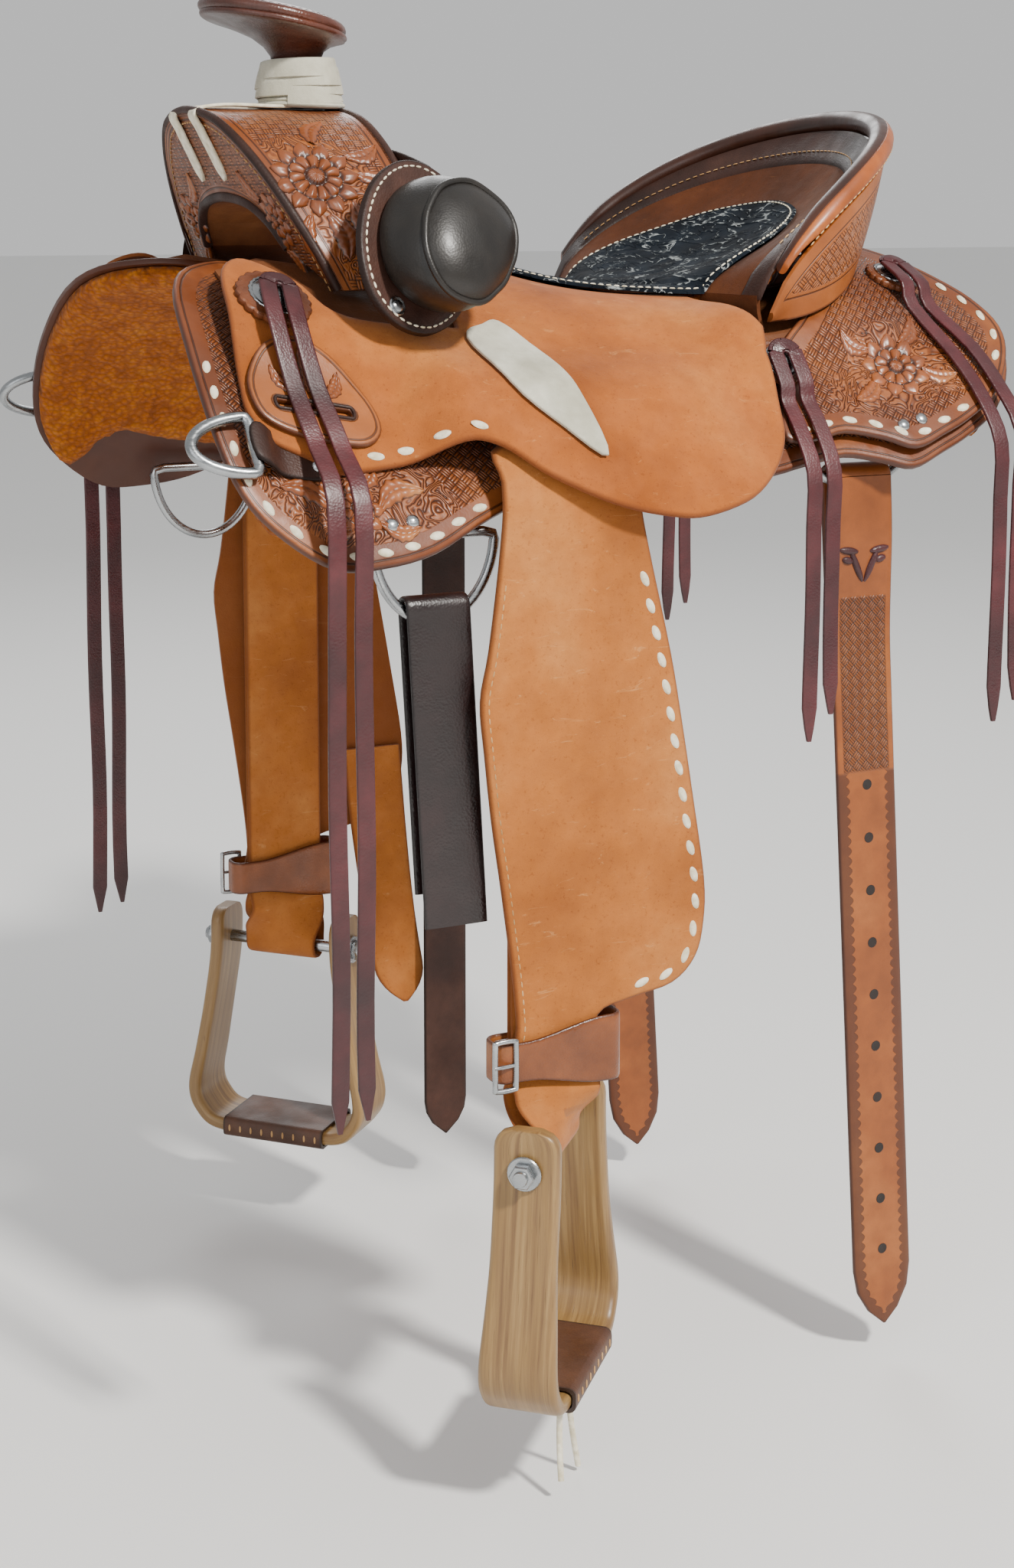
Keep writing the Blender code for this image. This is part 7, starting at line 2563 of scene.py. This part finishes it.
def make_materials():
    mats = {
        "rough": rough_out("rough_out", "A65E28", "844518", "B97538", "C98E54", 0.12),
        "fender": rough_out("fender_rough_out", "AC682F", "8E5122", "BF8045", "D09C64", 0.12),
        # the seat's rough-out painted darker for the cantle dish: painted shade
        "dish": rough_out("dish_rough_out_painted_shade", "542C14", "3A1C0A", "6A3C1E", "7C4E2A", 0.03),
        "skirt": tooled("skirt_tooled", border=0.0140, swirls=(
            (-0.236, 0.292, 0.040), (-0.286, 0.284, 0.022), (-0.190, 0.286, 0.026))),
        "housing": tooled("housing_tooled", border=0.0150, swirls=(
            (0.205, 0.197, 0.036), (0.163, 0.214, 0.020), (0.246, 0.206, 0.020))),
        "fork": tooled("fork_tooled", "7A3F1A", "1E0B05", "AC6833", border=0.0100,
                       border_line=0.0080, turn=0.0, cell=0.0066, swirls=(
                           (0.082, 0.2596, 0.040), (0.3214, 0.2596, 0.040),
                           (0.040, 0.2480, 0.030), (0.3634, 0.2480, 0.030))),
        "cantle_back": tooled("cantle_back_tooled", "94501F", border=0.0190, border_line=0.0165),
        "billet": billet_shade(),
        "keeper": tooled("keeper_leather", base="A05A28", weave=False, border_line=0.0035),
        "hobble": smooth_leather("hobble_leather", "85481F", "5A2E12", "A66A36", gloss=0.34,
                                 edge_tone="3A1A0E"),
        "rosette": smooth_leather("rosette_leather", "6E3A1C", "3C1C0C", "92562C", gloss=0.42),
        "carved": carved_shade(),
        "dark": smooth_leather("dark_leather", "37211A", "20120D", "4C3026", gloss=0.52,
                               coat=0.04, edge_tone="160B07", specular=0.28),
        "tread": smooth_leather("tread_leather", "4E2E1C", "301C10", "6C452C", gloss=0.55,
                                edge_tone="22140C"),
        "horn": smooth_leather("horn_leather", "4A2418", "2A130D", "6E3A26", gloss=0.34,
                               coat=0.25),
        # the latigo's near-black is its dark brown with painted shade darkened into it
        "latigo": smooth_leather("latigo_leather", "1E1010", "100707", "2E1A1A", gloss=0.36,
                                 coat=0.25, edge_tone="0E0606"),
        "burgundy": smooth_leather("burgundy_leather", "43161A", "260B0E", "5E2428", gloss=0.4,
                                   coat=0.2),
        "mulehide": napped("mulehide", "C9C6B4", "A39F8B", "DDDACB"),
        "black": smooth_leather("black_leather", "17130F", "0B0908", "26201B", gloss=0.42,
                                coat=0.12, grain=0.0002),
        "binding": binding_shade(),
        "inlay": inlay_shade(),
        "fleece": fleece_shade(),
        "tree": smooth_leather("tree_leather", "6E4023", "4A2814", "8A5832", gloss=0.6,
                               coat=0.0, specular=0.25),
        "steel": steel_shade(),
        "wood": wood_shade(),
        "cream": cream_shade(),
        # dark cut edges, and painted shade for the open holes
        "hole": smooth_leather("punched_hole_painted_shade", "1C0E08", "0E0704", "301A10", gloss=0.6),
        "tan_thread": smooth_leather("tan_thread", "B98F5C", "8A6638", "D6B383", gloss=0.7),
        "dark_thread": smooth_leather("dark_thread", "1E120D", "100906", "33211A", gloss=0.6),
    }
    return mats


def binding_shade():
    """The cantle's binding: dark brown on its inner half, polished orange-brown outside."""
    m = Shade("binding_leather", rough=0.38, specular=0.4, coat=0.15, coat_rough=0.25)
    place = m.place()
    inner = leather_tones(m, rgb("3A1D11"), rgb("24110A"), rgb("502B1B"), 12)
    outer = leather_tones(m, rgb("9A4F1E"), rgb("743814"), rgb("B86A30"), 12)
    band = m.span(m.attr("band"), -0.12, 0.00)
    m.colour(m.blend(band, inner, outer))
    line = m.span(m.maths("ABSOLUTE", m.maths("SUBTRACT", m.attr("band"), -0.06)), 0.02, 0.07,
                  1.0, 0.0)
    m.bump(m.maths("MULTIPLY", line, -1.0), 0.0008, 0.9)
    m.rough(m.span(m.noise(place, 40, 4), 0.3, 0.7, 0.26, 0.48))
    m.bump(m.noise(place, 300, 3, 0.6), 0.0003, 0.35)
    return m.mat


def billet_shade():
    """The flank billet: plain at its ring, stamped below, then pale between scalloped edges."""
    m = Shade("billet_leather", rough=0.42, specular=0.4, coat=0.10, coat_rough=0.3)
    lay, place, edge = m.lay(), m.place(), m.attr("edge")
    run = m.split(lay)[0]
    tone = leather_tones(m, rgb("8C4A1B"), rgb("643210"), rgb("A6622C"))
    stamp = weave_height(m, lay, 0.0056, math.pi / 4)
    panel = m.maths("MULTIPLY", m.span(run, 0.098, 0.101), m.span(run, 0.228, 0.231, 1.0, 0.0))
    panel = m.maths("MULTIPLY", panel, m.span(edge, 0.0050, 0.0062))
    low = m.maths("MULTIPLY", m.span(stamp, 0.10, 0.75, 1.0, 0.35), panel)
    tone = m.blend(m.maths("MULTIPLY", low, 0.94), tone, rgb("220E06"), "MIX")
    scallop = m.maths("ABSOLUTE", m.maths("SINE", m.maths("MULTIPLY", run, math.pi / 0.0075)))
    reach = m.maths("SUBTRACT", edge, m.maths("MULTIPLY", scallop, 0.0030))
    border = m.maths("MULTIPLY", m.span(reach, 0.0066, 0.0072, 1.0, 0.0),
                     m.span(run, 0.229, 0.232))
    tone = m.blend(m.maths("MULTIPLY", border, 0.72), tone, rgb("34170A"), "MIX")
    cut = m.span(edge, 0.0003, 0.0018, 1.0, 0.0)
    tone = m.blend(m.maths("MULTIPLY", cut, 0.8), tone, rgb("3A1A0E"), "MIX")
    m.colour(tone)
    m.bump(m.maths("MULTIPLY", stamp, panel), 0.0010, 0.9)
    m.bump(m.maths("MULTIPLY", border, -1.0), 0.0006, 0.8)
    m.bump(m.noise(place, 520, 3, 0.6), 0.0003, 0.35)
    return m.mat


def carved_shade():
    """Carved leather: light on the raised parts and dark in the cuts."""
    m = Shade("carved_leather", rough=0.38, specular=0.5, coat=0.25, coat_rough=0.25)
    place = m.place()
    tone = leather_tones(m, rgb("8E4C22"), rgb("683416"), rgb("BE8048"), 14)
    low = m.span(m.attr("depth"), 0.25, 0.80)
    m.colour(m.blend(m.maths("MULTIPLY", low, 0.94), tone, rgb("2C1208"), "MIX"))
    m.bump(m.noise(place, 520, 3, 0.6), 0.0003, 0.4)
    return m.mat


def main():
    make_camera()
    mats = make_materials()
    for side_name, side in SIDES.items():
        for place in ("front", "rear", "back"):
            strings_of(place, side_name, side, mats)
    stirrup_laces(mats)
    make_skirts(mats)
    make_seat(mats)
    make_cantle(mats)
    make_inlay(mats)
    make_fork(mats)
    make_carving(mats)
    make_horn(mats)
    make_conchos(mats)
    make_keepers(mats)
    make_rings(mats)
    make_rolls(mats)
    make_billets(mats)
    make_fenders(mats)
    make_hobbles(mats)
    make_stirrups(mats)
    make_lacing(mats)
    cad_finishes(mats)
    make_stage()


main()
